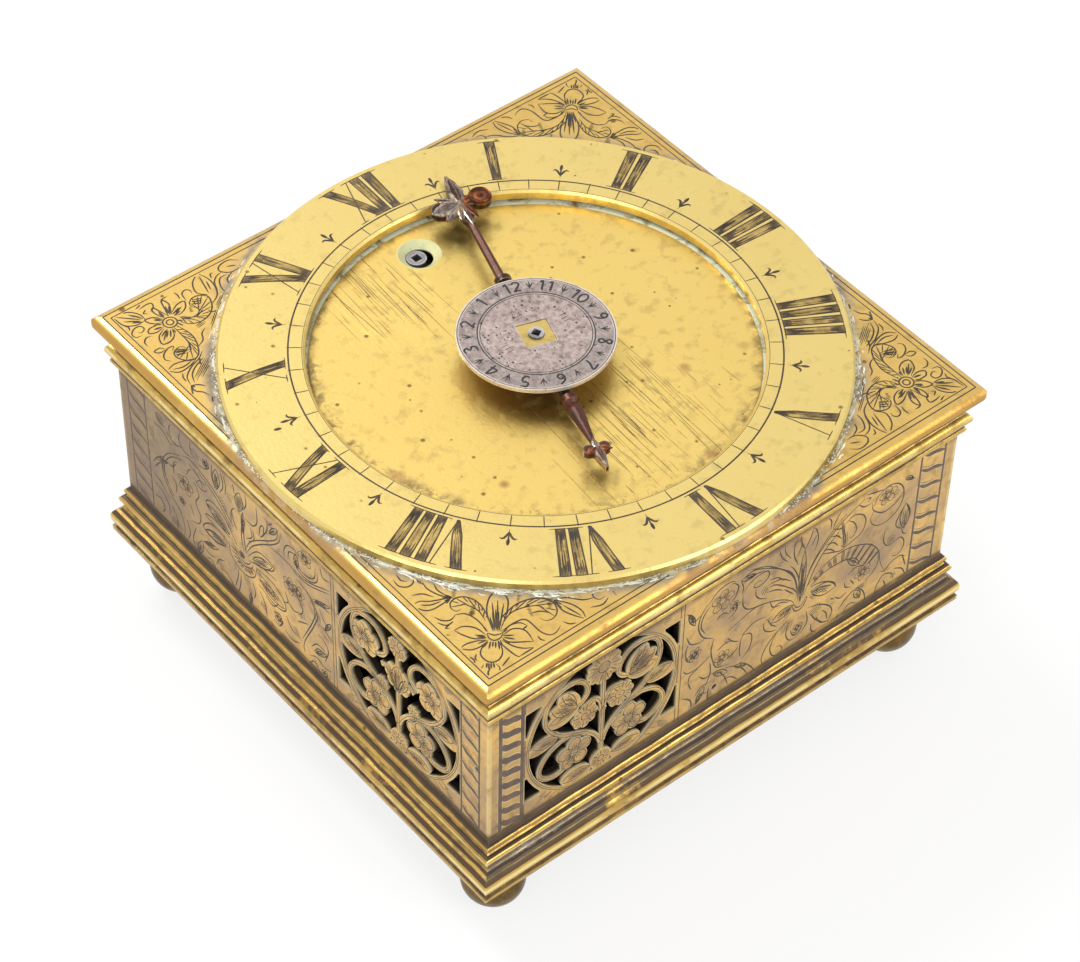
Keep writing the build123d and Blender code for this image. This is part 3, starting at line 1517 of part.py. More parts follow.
arm_turn = degrees(atan2(hammer_head_spot[1] - hammer_spot[1], hammer_head_spot[0] - hammer_spot[0]))
arm_length = hypot(hammer_head_spot[0] - hammer_spot[0], hammer_head_spot[1] - hammer_spot[1])
with BuildPart() as bell_hammer:
    with BuildSketch(Plane.XY.offset(hammer_z)):
        with Locations(Location(hammer_spot, arm_turn)):
            Rectangle(arm_length, hammer_arm_width, align=(Align.MIN, Align.CENTER))
        with Locations(hammer_spot):
            Circle(2 * hammer_arbor_radius)
    extrude(amount=hammer_arm_width)
    with BuildSketch(Plane.XY.offset(hammer_z + hammer_arm_width / 2 - hammer_head_height / 2)):
        with Locations(hammer_head_spot):
            Circle(hammer_head_radius)
    extrude(amount=hammer_head_height)
    with BuildSketch(Plane.XY.offset(hammer_z)):
        with Locations(hammer_spot):
            Circle(hammer_arbor_radius + seat_gap)
    extrude(amount=hammer_arm_width, mode=Mode.SUBTRACT)
save(bell_hammer, "bell_hammer")

bell_top_z = bell_z + bell_height
bell_hole = screw_radius + seat_gap


def bell_curve(inset):
    points = []
    for step in range(bell_steps + 1):
        turn = radians(90 * step / bell_steps)
        across = bell_shoulder + (bell_radius - bell_shoulder - inset) * cos(turn)
        points.append((across, bell_z + (bell_height - inset) * sin(turn)))
    return points


with BuildPart() as bell:
    with BuildSketch(Plane((bell_spot[0], bell_spot[1], 0), x_dir=(1, 0, 0), z_dir=(0, -1, 0))):
        with BuildLine():
            Polyline(
                *bell_curve(0),
                (bell_hole, bell_top_z),
                (bell_hole, bell_top_z - bell_wall),
                *reversed(bell_curve(bell_wall)),
                close=True,
            )
        make_face()
    revolve(axis=Axis((bell_spot[0], bell_spot[1], 0), (0, 0, 1)))
save(bell, "bell")

nut_z = bell_top_z - bell_wall - bell_nut_height
with BuildPart() as bell_post:
    with BuildSketch(Plane.XY.offset(bell_top_z)):
        with Locations(bell_spot):
            Circle(bell_post_radius)
    extrude(amount=upper_plate_z - bell_top_z)
    with BuildSketch(Plane.XY.offset(nut_z - bell_post_tail)):
        with Locations(bell_spot):
            Circle(screw_radius)
    extrude(amount=upper_top_z - nut_z + bell_post_tail)
save(bell_post, "bell_post")

with BuildPart() as bell_nut:
    with BuildSketch(Plane.XY.offset(nut_z)):
        with Locations(bell_spot):
            RegularPolygon(bell_nut_radius, 6)
            Circle(bell_hole, mode=Mode.SUBTRACT)
    extrude(amount=bell_nut_height)
save(bell_nut, "bell_nut")

# Detent that the alarm cam lets fall, on a shouldered post
detent_to_cam = hypot(*detent_spot) - cam_radius - free_gap
detent_to_hammer = hypot(hammer_spot[0] - detent_spot[0], hammer_spot[1] - detent_spot[1])
hammer_turn = degrees(atan2(hammer_spot[1] - detent_spot[1], hammer_spot[0] - detent_spot[0]))
cam_turn = degrees(atan2(-detent_spot[1], -detent_spot[0]))
with BuildPart() as alarm_detent:
    with BuildSketch(Plane.XY.offset(cam_z)):
        with Locations(Location(detent_spot, cam_turn)):
            Rectangle(detent_to_cam, hammer_arm_width, align=(Align.MIN, Align.CENTER))
        with Locations(Location(detent_spot, hammer_turn)):
            Rectangle(
                detent_to_hammer - hammer_arbor_radius - free_gap, hammer_arm_width,
                align=(Align.MIN, Align.CENTER),
            )
        with Locations(detent_spot):
            Circle(2 * screw_radius)
            Circle(screw_radius + running_gap, mode=Mode.SUBTRACT)
    extrude(amount=cam_thickness)
save(alarm_detent, "alarm_detent")

# Screws of the click, cock and detent, each as foot height, head side and top height
plate_screw_ends = [
    (click_spot, ratchet_z - running_gap, lower_top_z),
    (cock_foot_spot, cock_z, lower_top_z),
    (detent_spot, cam_z - running_gap, upper_top_z),
]
with BuildPart() as plate_screws:
    for spot, foot_z, end_z in plate_screw_ends:
        with BuildSketch(Plane.XY.offset(foot_z)):
            with Locations(spot):
                Circle(screw_radius)
        extrude(amount=end_z - foot_z)
        with BuildSketch(Plane.XY.offset(foot_z)):
            with Locations(spot):
                Circle(screw_head_radius)
        extrude(amount=-screw_head_height)
save(plate_screws, "plate_screws")
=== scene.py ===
import bpy
import json
import math
import random
from mathutils import Matrix, Vector
from mathutils.bvhtree import BVHTree


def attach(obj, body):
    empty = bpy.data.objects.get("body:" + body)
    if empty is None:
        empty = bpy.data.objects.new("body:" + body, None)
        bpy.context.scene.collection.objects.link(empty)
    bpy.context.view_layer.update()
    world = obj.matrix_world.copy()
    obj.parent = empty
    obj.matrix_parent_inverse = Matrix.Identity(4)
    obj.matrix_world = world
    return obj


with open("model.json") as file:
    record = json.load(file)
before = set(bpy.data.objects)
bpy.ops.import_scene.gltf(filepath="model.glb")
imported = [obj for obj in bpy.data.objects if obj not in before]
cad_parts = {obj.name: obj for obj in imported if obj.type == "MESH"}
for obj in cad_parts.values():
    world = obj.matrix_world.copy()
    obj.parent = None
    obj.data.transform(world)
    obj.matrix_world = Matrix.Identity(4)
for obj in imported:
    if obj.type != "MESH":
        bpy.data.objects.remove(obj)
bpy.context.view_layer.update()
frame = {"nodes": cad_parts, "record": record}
mm = 0.001
scene = bpy.context.scene
nodes = frame["nodes"]
socketKinds = {float: "NodeSocketFloat", int: "NodeSocketInt", tuple: "NodeSocketVector"}


def feed(tree, node, socket, value):  # a link if value is a socket, otherwise a plain value
    if isinstance(value, bpy.types.NodeSocket):
        tree.links.new(value, node.inputs[socket])
    else:
        node.inputs[socket].default_value = value


def addNode(tree, kind, feeds=None, **settings):
    node = tree.nodes.new(kind)
    for key, value in settings.items():
        setattr(node, key, value)
    for socket, value in (feeds or {}).items():
        feed(tree, node, socket, value)
    return node


def mathNode(tree, operation, *values):
    return addNode(tree, "ShaderNodeMath", dict(enumerate(values)), operation=operation).outputs[0]


def vectorNode(tree, operation, *values, **named):
    feeds = {**dict(enumerate(values)), **named}
    node = addNode(tree, "ShaderNodeVectorMath", feeds, operation=operation)
    return node.outputs["Value" if operation == "LENGTH" else "Vector"]


def splitParts(tree, value):
    return addNode(tree, "ShaderNodeSeparateXYZ", {0: value}).outputs


def noise(tree, where, scale, **more):
    return addNode(tree, "ShaderNodeTexNoise", {"Vector": where, "Scale": scale, **more}).outputs[0]


def mixColour(tree, share, first, second):
    return addNode(tree, "ShaderNodeMix", {0: share, 6: first, 7: second}, data_type="RGBA").outputs[2]


def spread(tree, value, low, high, toLow=0.0, toHigh=1.0):  # map range with clamping
    feeds = dict(enumerate((value, low, high, toLow, toHigh)))
    return addNode(tree, "ShaderNodeMapRange", feeds, clamp=True).outputs[0]


def window(tree, value, low, high, softness):  # one from low to high, fading away outside them
    rise = spread(tree, value, mathNode(tree, "SUBTRACT", low, softness), low)
    fall = spread(tree, value, high, mathNode(tree, "ADD", high, softness), 1.0, 0.0)
    return mathNode(tree, "MULTIPLY", rise, fall)


def startGroup(name, treeKind, before, inputs, after, outputs):  # bare sockets stand before and after
    tree = bpy.data.node_groups.new(name, treeKind)
    for label, kind in before:
        tree.interface.new_socket(label, in_out="INPUT", socket_type=kind)
    for label, value in inputs.items():
        socket = tree.interface.new_socket(label, in_out="INPUT", socket_type=socketKinds[type(value)])
        socket.default_value = value
    for label, kind in after:
        tree.interface.new_socket(label, in_out="INPUT", socket_type=kind)
    for label, kind in outputs:
        tree.interface.new_socket(label, in_out="OUTPUT", socket_type=kind)
    return tree, addNode(tree, "NodeGroupInput").outputs, addNode(tree, "NodeGroupOutput")


def startMask(name, inputs, outputs=("Mask",)):  # a shader group that turns a place into masks
    return startGroup(name, "ShaderNodeTree", [("Where", socketKinds[tuple])], inputs, [],
                      [(label, socketKinds[float]) for label in outputs])


def useGroup(tree, group, where, **values):
    return addNode(tree, "ShaderNodeGroup", {"Where": where, **values}, node_tree=group).outputs


def buildClouds():  # soft blotches of tarnish
    tree, given, out = startMask("tarnishClouds", {"Scale": 60.0, "Low": 0.45, "High": 0.65, "Twist": 0.3})
    cloud = noise(tree, given["Where"], given["Scale"], Detail=5.0, Roughness=0.62, Distortion=given["Twist"])
    feed(tree, out, "Mask", spread(tree, cloud, given["Low"], given["High"]))
    return tree


def buildPits():  # small round pits and specks, each of its own size
    least, core = 0.02, 0.55  # a pit's smallest size, and the share of it at full depth
    tree, given, out = startMask("pitSpecks", {"Scale": 300.0, "Size": 0.3, "Share": 0.3})
    cells = addNode(tree, "ShaderNodeTexVoronoi", {"Vector": given["Where"], "Scale": given["Scale"]}).outputs
    draws = addNode(tree, "ShaderNodeSeparateColor", {0: cells["Color"]}).outputs
    chosen = mathNode(tree, "LESS_THAN", draws[0], given["Share"])
    size = mathNode(tree, "ADD", mathNode(tree, "MULTIPLY", draws[1], given["Size"]), least)
    pit = spread(tree, cells["Distance"], mathNode(tree, "MULTIPLY", size, core), size, 1.0, 0.0)
    feed(tree, out, "Mask", mathNode(tree, "MULTIPLY", pit, chosen))
    return tree


def buildHairs():  # long fine scratches in one direction
    patchScale, patchFade = 45.0, 0.1
    tree, given, out = startMask(
        "hairScratches", {"Turn": 0.0, "Scale": (1.0, 1.0, 1.0), "Fineness": 0.02, "Share": 0.5})
    level = addNode(tree, "ShaderNodeVectorRotate", {"Vector": given["Where"], "Angle": given["Turn"]},
                    rotation_type="Z_AXIS")
    drawn = addNode(tree, "ShaderNodeMapping", {"Vector": level.outputs[0], "Scale": given["Scale"]})
    waves = noise(tree, drawn.outputs[0], 1.0, Detail=3.0)
    away = mathNode(tree, "ABSOLUTE", mathNode(tree, "SUBTRACT", waves, 0.5))
    line = spread(tree, away, 0.0, given["Fineness"], 1.0, 0.0)
    kept = spread(tree, noise(tree, given["Where"], patchScale), given["Share"],
                  mathNode(tree, "ADD", given["Share"], patchFade))
    feed(tree, out, "Mask", mathNode(tree, "MULTIPLY", line, kept))
    return tree


def buildBand():  # a soft ring round a centre, at any height
    tree, given, out = startMask(
        "roundBand", {"Centre": (0.0, 0.0, 0.0), "Inner": 0.0, "Outer": 0.01, "Softness": 0.001})
    away = vectorNode(tree, "SUBTRACT", given["Where"], given["Centre"])
    radius = vectorNode(tree, "LENGTH", vectorNode(tree, "MULTIPLY", away, (1.0, 1.0, 0.0)))
    feed(tree, out, "Mask", window(tree, radius, given["Inner"], given["Outer"], given["Softness"]))
    return tree


def buildHollows():  # painted shade from ambient occlusion, made ragged like dirt, where faces meet; bright metal on the outer edges
    samples, wearScale = 8, 420.0
    tree, given, out = startMask("hollowShadeAndEdges", {"Reach": 0.003, "Edge": 0.0006}, ("ShadeAndGrime", "Bright"))
    hollow = addNode(tree, "ShaderNodeAmbientOcclusion", {"Distance": given["Reach"]}, samples=samples)
    edge = addNode(tree, "ShaderNodeAmbientOcclusion", {"Distance": given["Edge"]}, samples=samples, inside=True)
    wear = noise(tree, given["Where"], wearScale, Detail=4.0)
    ragged = spread(tree, wear, 0.3, 0.7, 0.7, 1.3)
    deep = mathNode(tree, "MULTIPLY", hollow.outputs["AO"], ragged)
    # painted shade in the hollows, from ambient occlusion
    feed(tree, out, "ShadeAndGrime", spread(tree, deep, 0.95, 0.35))
    rubbed = spread(tree, edge.outputs["AO"], 0.86, 0.55)
    feed(tree, out, "Bright", mathNode(tree, "MULTIPLY", rubbed, spread(tree, wear, 0.3, 0.55)))
    return tree


def buildStreak():  # a band of colour that runs along a moulding at one height: dirt and painted shade in the steps, painted highlights on the rounds, painted reflections in the coves
    waveScale, gapScale, swing, gapFade = 120.0, 55.0, 0.00008, 0.12
    tree, given, out = startMask("levelStreak", {"Low": 0.0, "High": 0.001, "Softness": 0.0003, "Break": 0.3})
    sway = spread(tree, noise(tree, given["Where"], waveScale, Detail=4.0), 0.3, 0.7, -swing, swing)
    level = mathNode(tree, "ADD", splitParts(tree, given["Where"])[2], sway)
    streak = window(tree, level, given["Low"], given["High"], given["Softness"])
    gaps = noise(tree, given["Where"], gapScale, Detail=6.0, Roughness=0.7)
    kept = spread(tree, gaps, given["Break"], mathNode(tree, "ADD", given["Break"], gapFade))
    feed(tree, out, "Mask", mathNode(tree, "MULTIPLY", streak, kept))
    return tree


def buildSawn():  # the sawn sides of the walls' holes, and the side that faces the movement, which takes painted shade
    tree, given, out = startMask("sawnSides", {"Face": 0.05645, "Rim": 0.0004}, ("Rim", "Inside"))
    place = splitParts(tree, vectorNode(tree, "ABSOLUTE", given["Where"]))
    normal = addNode(tree, "ShaderNodeNewGeometry").outputs["True Normal"]
    facing = splitParts(tree, vectorNode(tree, "ABSOLUTE", normal))
    alongY = mathNode(tree, "GREATER_THAN", place[1], place[0])
    byY = mathNode(tree, "MULTIPLY", facing[1], alongY)
    byX = mathNode(tree, "MULTIPLY", facing[0], mathNode(tree, "SUBTRACT", 1.0, alongY))
    sawn = mathNode(tree, "LESS_THAN", mathNode(tree, "ADD", byX, byY), 0.5)
    depth = mathNode(tree, "SUBTRACT", given["Face"], mathNode(tree, "MAXIMUM", place[0], place[1]))
    near = spread(tree, depth, mathNode(tree, "MULTIPLY", given["Rim"], 0.6), given["Rim"], 1.0, 0.0)
    feed(tree, out, "Rim", mathNode(tree, "MULTIPLY", sawn, near))
    deeper = mathNode(tree, "MULTIPLY", given["Rim"], 2.0)
    # the walls' inner side, painted near-black as shade
    feed(tree, out, "Inside", spread(tree, depth, given["Rim"], deeper))
    return tree


tarnishClouds = buildClouds()
pitSpecks = buildPits()
hairScratches = buildHairs()
roundBand = buildBand()
hollowShadeAndEdges = buildHollows()
levelStreak = buildStreak()
sawnSides = buildSawn()
print("shader groups built")


def rgb(red, green, blue):  # picture colour to linear colour
    def linear(value):
        value = value / 255
        return value / 12.92 if value <= 0.04045 else ((value + 0.055) / 1.055) ** 2.4
    return (linear(red), linear(green), linear(blue), 1.0)


def startMaterial(name):
    material = bpy.data.materials.new(name)
    material.use_nodes = True
    tree = material.node_tree
    where = addNode(tree, "ShaderNodeTexCoord").outputs["Object"]
    return material, tree, tree.nodes["Principled BSDF"], where


layers = {  # how the layers of every metal lie on each other
    "broad": {"Low": 0.38, "High": 0.68, "Twist": 0.6}, "fine": {"Low": 0.42, "High": 0.7, "Twist": 0.2},
    "patchSoft": 0.008, "bandFade": 0.16, "bandTwist": 0.4, "spotCore": 0.4, "spotRagged": 0.6, "spotLeast": 0.35,
    # inside: near-black painted shade for the walls' inner side, seen through the holes
    "inside": rgb(36, 30, 26), "rim": 0.65,
    "roughness": {"mottled": 0.14, "shadedAndSoiled": 0.3, "bright": -0.1, "crustAndPaintedLight": 0.35},
    "metalness": {"shadedAndSoiled": -0.55, "crustAndPaintedLight": -0.8}, "grainDetail": 3.0, "markDepth": -0.6, "relief": 0.00012,
}


def agedMetal(name, look):  # the finish shared by brass, silver and steel parts
    material, tree, shader, where = startMaterial(name)

    def times(first, second):
        return mathNode(tree, "MULTIPLY", first, second)

    def timesPlus(value, factor, more):
        return mathNode(tree, "MULTIPLY_ADD", value, factor, more)

    def greater(first, second):
        return second if first is None else mathNode(tree, "MAXIMUM", first, second)

    def mask(group, **values):
        return useGroup(tree, group, where, **values)["Mask"]
    fine = mask(tarnishClouds, Scale=look["fineScale"], **layers["fine"])
    # painted shade of the hollows, and the bright rubbed edges
    worn = useGroup(tree, hollowShadeAndEdges, where, Reach=look["reach"], Edge=look["edge"])
    mottled, bright = times(fine, look["mottle"]), times(worn["Bright"], look["bright"])
    shadedAndSoiled = times(worn["ShadeAndGrime"], look["grime"])
    stained = times(mask(tarnishClouds, Scale=look["broadScale"], **layers["broad"]), look["stain"])
    speckled = times(mask(pitSpecks, Scale=look["pitScale"], Size=look["pitSize"], Share=look["pitShare"]),
                     look["speck"])
    scratched = times(mask(hairScratches, Turn=look["hairTurn"], Scale=look["hairScale"],
                           Fineness=look["hairFineness"], Share=look["hairShare"]), look["hair"])
    region = None
    for x, y, radius in look.get("hairSpots", []):
        patch = mask(roundBand, Centre=(x, y, 0.0), Inner=0.0, Outer=radius, Softness=layers["patchSoft"])
        region = greater(region, patch)
    if region is not None:
        scratched = times(scratched, region)
    marks = greater(speckled, scratched)
    colour = look["colour"]
    # colour layers: tarnish, mottle, painted shade with dirt in the hollows, rubbed edges, pits and scratches
    for share, layer in ((stained, "stainColour"), (mottled, "mottleColour"), (shadedAndSoiled, "grimeColour"),
                         (bright, "brightColour"), (marks, "speckColour")):
        colour = mixColour(tree, share, colour, look[layer])
    # bands of colour: verdigris and rust, and painted shade and highlights; all of them also dull the metal
    crustAndPaintedLight = None
    for band in look.get("bands", []):
        round_ = mask(roundBand, Centre=band["centre"], Inner=band["inner"], Outer=band["outer"],
                      Softness=band["soft"])
        broken = mask(tarnishClouds, Scale=band["scale"], Low=band["low"], High=band["low"] + layers["bandFade"],
                      Twist=layers["bandTwist"])
        share = times(times(round_, broken), band["share"])
        colour = mixColour(tree, share, colour, band["colour"])
        crustAndPaintedLight = greater(crustAndPaintedLight, share)
    # streaks along the mouldings: dark lines of dirt and painted shade, pale painted highlights, grey painted
    # reflections
    for low, high, softness, gaps, amount, *rest in look.get("streaks", []):
        share = times(mask(levelStreak, Low=low * mm, High=high * mm, Softness=softness * mm, Break=gaps), amount)
        if len(rest) == 2:
            # the front side takes the full share and the other sides less: a painted difference in how the sides catch
            # the light
            across, along, _ = splitParts(tree, where)
            front = mathNode(tree, "GREATER_THAN", times(along, -1.0), mathNode(tree, "ABSOLUTE", across))
            share = times(share, timesPlus(front, 1.0 - rest[1], rest[1]))
        colour = mixColour(tree, share, colour, rest[0] if rest else look["grimeColour"])
        if not rest:
            shadedAndSoiled = greater(shadedAndSoiled, share)
    for x, y, radius in look.get("spots", []):
        spot = mask(roundBand, Centre=(x, y, 0.0), Inner=0.0, Outer=radius * layers["spotCore"], Softness=radius)
        ragged = times(spot, timesPlus(fine, layers["spotRagged"], layers["spotLeast"]))
        colour = mixColour(tree, ragged, colour, look["spotColour"])
    if "sawn" in look:
        sides = useGroup(tree, sawnSides, where)
        # the walls' inner side is painted near-black as shade
        colour = mixColour(tree, sides["Inside"], colour, layers["inside"])
        crustAndPaintedLight = times(sides["Rim"], layers["rim"])
        colour = mixColour(tree, crustAndPaintedLight, colour, look["sawn"])
        shadedAndSoiled = greater(shadedAndSoiled, sides["Inside"])
    rough, metal = look["rough"], look["metal"]
    for key, share in (("mottled", mottled), ("shadedAndSoiled", shadedAndSoiled), ("bright", bright), ("crustAndPaintedLight", crustAndPaintedLight)):
        if share is not None:
            rough = timesPlus(share, layers["roughness"][key], rough)
            if key in layers["metalness"]:
                metal = timesPlus(share, layers["metalness"][key], metal)
    grain = noise(tree, where, look["grainScale"], Detail=layers["grainDetail"])
    bump = addNode(tree, "ShaderNodeBump", {"Strength": look["bump"], "Distance": layers["relief"],
                                            "Height": timesPlus(marks, layers["markDepth"], grain)})
    for socket, value in (("Base Color", colour), ("Roughness", rough), ("Metallic", metal),
                          ("Normal", bump.outputs[0])):
        feed(tree, shader, socket, value)
    return material


plainLook = {
    "colour": rgb(206, 172, 92), "stainColour": rgb(172, 128, 58), "mottleColour": rgb(150, 112, 55),
    "grimeColour": rgb(58, 42, 26), "brightColour": rgb(236, 210, 140), "speckColour": rgb(92, 66, 34),
    "stain": 0.45, "mottle": 0.3, "grime": 0.7, "bright": 0.7, "speck": 0.7, "hair": 0.25,
    "broadScale": 38.0, "fineScale": 190.0, "pitScale": 260.0, "pitSize": 0.22, "pitShare": 0.14,
    "hairTurn": 0.9, "hairScale": (25.0, 900.0, 120.0), "hairFineness": 0.012, "hairShare": 0.5,
    "reach": 0.003, "edge": 0.0006, "rough": 0.3, "metal": 1.0, "grainScale": 1400.0, "bump": 0.25,
}


def variant(base=plainLook, **changes):
    return {**base, **changes}


def band(centre, inner, outer, soft, scale, low, share, colour):  # a ring of broken colour, in metres
    return {"centre": centre, "inner": inner, "outer": outer, "soft": soft, "scale": scale, "low": low,
            "share": share, "colour": colour}


middle = (0.0, 0.0, 0.0)
crustPale, ringFootShadeGrey = rgb(212, 216, 196), rgb(116, 112, 108)
# glint and the torus gold are painted highlights, the cove grey is a painted dark reflection, the pale dust is dust
glint, paintedReflectionGrey = rgb(255, 240, 178), rgb(96, 88, 78)
paleDust, paintedHighlightGold = rgb(186, 184, 172), rgb(252, 220, 128)
corniceStreaks = [  # lowest and highest level and softness in mm, breaks, share, colour, share off the front; lines without a colour are dirt and painted shade in the mouldings' steps
    (60.5, 61.0, 0.1, 0.2, 0.85), (62.25, 62.45, 0.06, 0.3, 0.85), (63.0, 63.25, 0.06, 0.25, 0.85),
    (64.7, 65.1, 0.2, 0.42, 0.6, glint), (65.95, 66.2, 0.06, 0.25, 0.9),
    (66.7, 67.5, 0.3, 0.4, 0.75, paintedReflectionGrey, 0.3), (66.8, 67.4, 0.2, 0.56, 0.6, paleDust, 0.2),
    (68.2, 68.5, 0.1, 0.5, 0.5), (69.2, 69.9, 0.1, 0.1, 0.95),
]
# the base moulding's streaks in the same columns: dirt and painted shade, painted highlights, painted reflection grey,
# dust
baseStreaks = [
    (14.1, 14.4, 0.1, 0.3, 0.8), (15.2, 15.45, 0.08, 0.3, 0.7), (16.3, 18.3, 0.4, 0.36, 0.6, paintedHighlightGold, 0.2),
    (17.6, 18.1, 0.15, 0.4, 0.7, glint), (18.9, 19.7, 0.15, 0.3, 0.9),
    (19.9, 22.0, 0.3, 0.3, 0.85, paintedReflectionGrey, 0.1), (20.1, 20.4, 0.08, 0.25, 0.9),
    (20.3, 21.8, 0.2, 0.55, 0.65, paleDust, 0.0), (21.2, 21.4, 0.05, 0.4, 0.8), (22.3, 22.55, 0.08, 0.2, 0.9),
    (23.1, 23.4, 0.1, 0.46, 0.5, glint), (23.9, 24.2, 0.08, 0.2, 0.9), (24.9, 25.05, 0.05, 0.4, 0.85),
    (26.2, 26.9, 0.15, 0.15, 0.95),
]
looks = {
    "case_brass": variant(
        colour=rgb(228, 192, 112), stain=0.3, stainColour=rgb(196, 152, 78), mottle=0.14, speck=0.8, pitShare=0.1,
        bright=0.35,
        # a darker brown over the plate's edge is painted shade dimming its reflection; the dark lines are dirt and
        # painted shade under the plate
        streaks=[(69.9, 72.4, 0.3, 0.26, 0.75, rgb(184, 138, 68), 0.85), (69.6, 70.1, 0.2, 0.4, 0.7),
                 (70.3, 70.6, 0.15, 0.45, 0.5), (71.9, 72.4, 0.2, 0.56, 0.5)],
        # the grey band round the hour ring's foot is painted shade; the pale band is verdigris
        bands=[band(middle, 0.0585, 0.0610, 0.0022, 130.0, 0.36, 0.75, ringFootShadeGrey),
               band(middle, 0.0594, 0.0601, 0.0008, 420.0, 0.46, 0.8, crustPale)]),
    "cornice": variant(
        colour=rgb(218, 182, 98), stain=0.35, stainColour=rgb(150, 108, 52), grime=0.9, mottle=0.2, bright=0.9,
        rough=0.24, streaks=corniceStreaks, grimeColour=rgb(62, 47, 34)),
    "base": variant(
        colour=rgb(210, 172, 92), stain=0.5, stainColour=rgb(128, 92, 46), grime=0.9, mottle=0.25, bright=0.9,
        rough=0.24, streaks=baseStreaks, grimeColour=rgb(60, 45, 36)),
    "balls": variant(
        colour=rgb(138, 110, 60), stain=0.75, stainColour=rgb(78, 62, 42), mottle=0.6, grime=0.9,
        mottleColour=rgb(84, 66, 46), broadScale=150.0, fineScale=420.0, brightColour=rgb(236, 210, 150)),
    "fret_brass": variant(
        colour=rgb(234, 190, 108), stain=0.8, stainColour=rgb(156, 132, 110), mottle=0.45,
        mottleColour=rgb(150, 128, 118), broadScale=56.0, fineScale=210.0, grime=0.85, rough=0.36,
        grimeColour=rgb(56, 46, 38), speck=0.4, pitShare=0.16, sawn=rgb(214, 214, 196),
        bands=[band((-0.0565, 0.062, 0.0), 0.0, 0.022, 0.024, 90.0, 0.2, 0.65, rgb(112, 98, 88))],
        # darker at the wall's foot and head: dirt and painted shade by the mouldings
        streaks=[(26.0, 27.8, 0.7, 0.3, 0.75), (59.4, 61.5, 1.2, 0.38, 0.6)]),
    "ring_brass": variant(
        colour=rgb(230, 205, 128), stain=0.12, stainColour=rgb(214, 178, 98), mottle=0.0, grime=0.5, hair=0.08,
        pitShare=0.16, pitScale=360.0, pitSize=0.2, rough=0.33),
    "dial_brass": variant(
        colour=rgb(233, 203, 118), stain=0.14, stainColour=rgb(218, 176, 90), mottle=0.0, hair=0.6, speck=0.8,
        mottleColour=rgb(190, 152, 84), speckColour=rgb(104, 76, 38), broadScale=24.0, fineScale=110.0,
        hairTurn=1.62, hairScale=(11.0, 620.0, 0.0), hairFineness=0.0045, hairShare=0.36,
        hairSpots=[(-0.0135, 0.027, 0.008), (0.004, -0.025, 0.014)],
        pitShare=0.22, pitScale=460.0, pitSize=0.26, rough=0.34, spotColour=rgb(150, 104, 70),
        spots=[(0.0148, -0.0146, 0.0012), (0.0323, -0.0223, 0.0011), (-0.040, -0.0087, 0.0016),
               (-0.0229, -0.035, 0.0013), (0.009, -0.0397, 0.0014), (0.0196, -0.0198, 0.0011),
               (-0.0255, -0.0222, 0.0009)],
        # the two dark bands at the hour ring's foot are painted shade, stronger towards the front corner, with brown
        # stain
        bands=[band((0.0012, 0.0012, 0.0), 0.0418, 0.05, 0.0022, 380.0, 0.47, 0.75, rgb(110, 88, 54)),
               band(middle, 0.0425, 0.05, 0.0003, 260.0, 0.3, 0.6, rgb(112, 96, 60)),
               band((-0.0003, -0.0003, 0.0), 0.0427, 0.05, 0.0002, 300.0, 0.34, 0.9, rgb(226, 230, 200)),
               band((0.0001, 0.0355, 0.0), 0.0, 0.0042, 0.0002, 260.0, 0.26, 0.8, rgb(200, 208, 168))]),
    "movement_brass": variant(stain=0.3, mottle=0.2),
    "door_brass": variant(stain=0.6),
    "boss_brass": variant(colour=rgb(224, 196, 120), stain=0.1, mottle=0.1, rough=0.22),
    "disc_pewter": variant(
        colour=rgb(204, 186, 178), stain=0.5, stainColour=rgb(156, 138, 132), mottle=0.8,
        mottleColour=rgb(98, 84, 80), grimeColour=rgb(46, 40, 38), brightColour=rgb(214, 206, 198),
        speckColour=rgb(62, 50, 47), speck=0.9, pitShare=0.75, pitScale=1200.0, pitSize=0.42, broadScale=120.0,
        fineScale=900.0, hair=0.3, rough=0.34, bump=0.5,
        bands=[band(middle, 0.0112, 0.0145, 0.0004, 500.0, 0.34, 0.6, rgb(124, 114, 110)),
               # the pale band at the rim is a painted highlight
               band(middle, 0.0146, 0.016, 0.0003, 300.0, 0.2, 0.5, rgb(222, 212, 200))]),
    "hand_steel": variant(
        colour=rgb(62, 54, 52), stain=0.6, stainColour=rgb(50, 38, 34), mottle=0.7, mottleColour=rgb(98, 54, 36),
        grimeColour=rgb(34, 26, 22), brightColour=rgb(206, 190, 172), bright=0.5, speckColour=rgb(40, 30, 26),
        speck=0.8, pitShare=0.45, pitScale=900.0, broadScale=160.0, fineScale=420.0, rough=0.26, bump=0.5,
        edge=0.0004, bands=[band(middle, 0.018, 0.0335, 0.001, 420.0, 0.3, 0.35, rgb(100, 52, 34))]),
    "steel": variant(
        colour=rgb(168, 168, 170), stain=0.3, stainColour=rgb(120, 112, 104), mottle=0.25,
        mottleColour=rgb(120, 116, 112), brightColour=rgb(225, 225, 228), rough=0.28),
    "screw_steel": variant(
        colour=rgb(140, 140, 144), stain=0.4, stainColour=rgb(92, 82, 74),
        mottleColour=rgb(100, 92, 84), brightColour=rgb(215, 215, 218), rough=0.34),
    "bell_bronze": variant(colour=rgb(190, 164, 110), stain=0.5, stainColour=rgb(140, 112, 66), rough=0.25),
}
looks["rusty_steel"] = variant(
    looks["hand_steel"], colour=rgb(82, 42, 30), stainColour=rgb(60, 34, 26), mottleColour=rgb(118, 62, 36),
    brightColour=rgb(186, 118, 76), bands=[], rough=0.42)
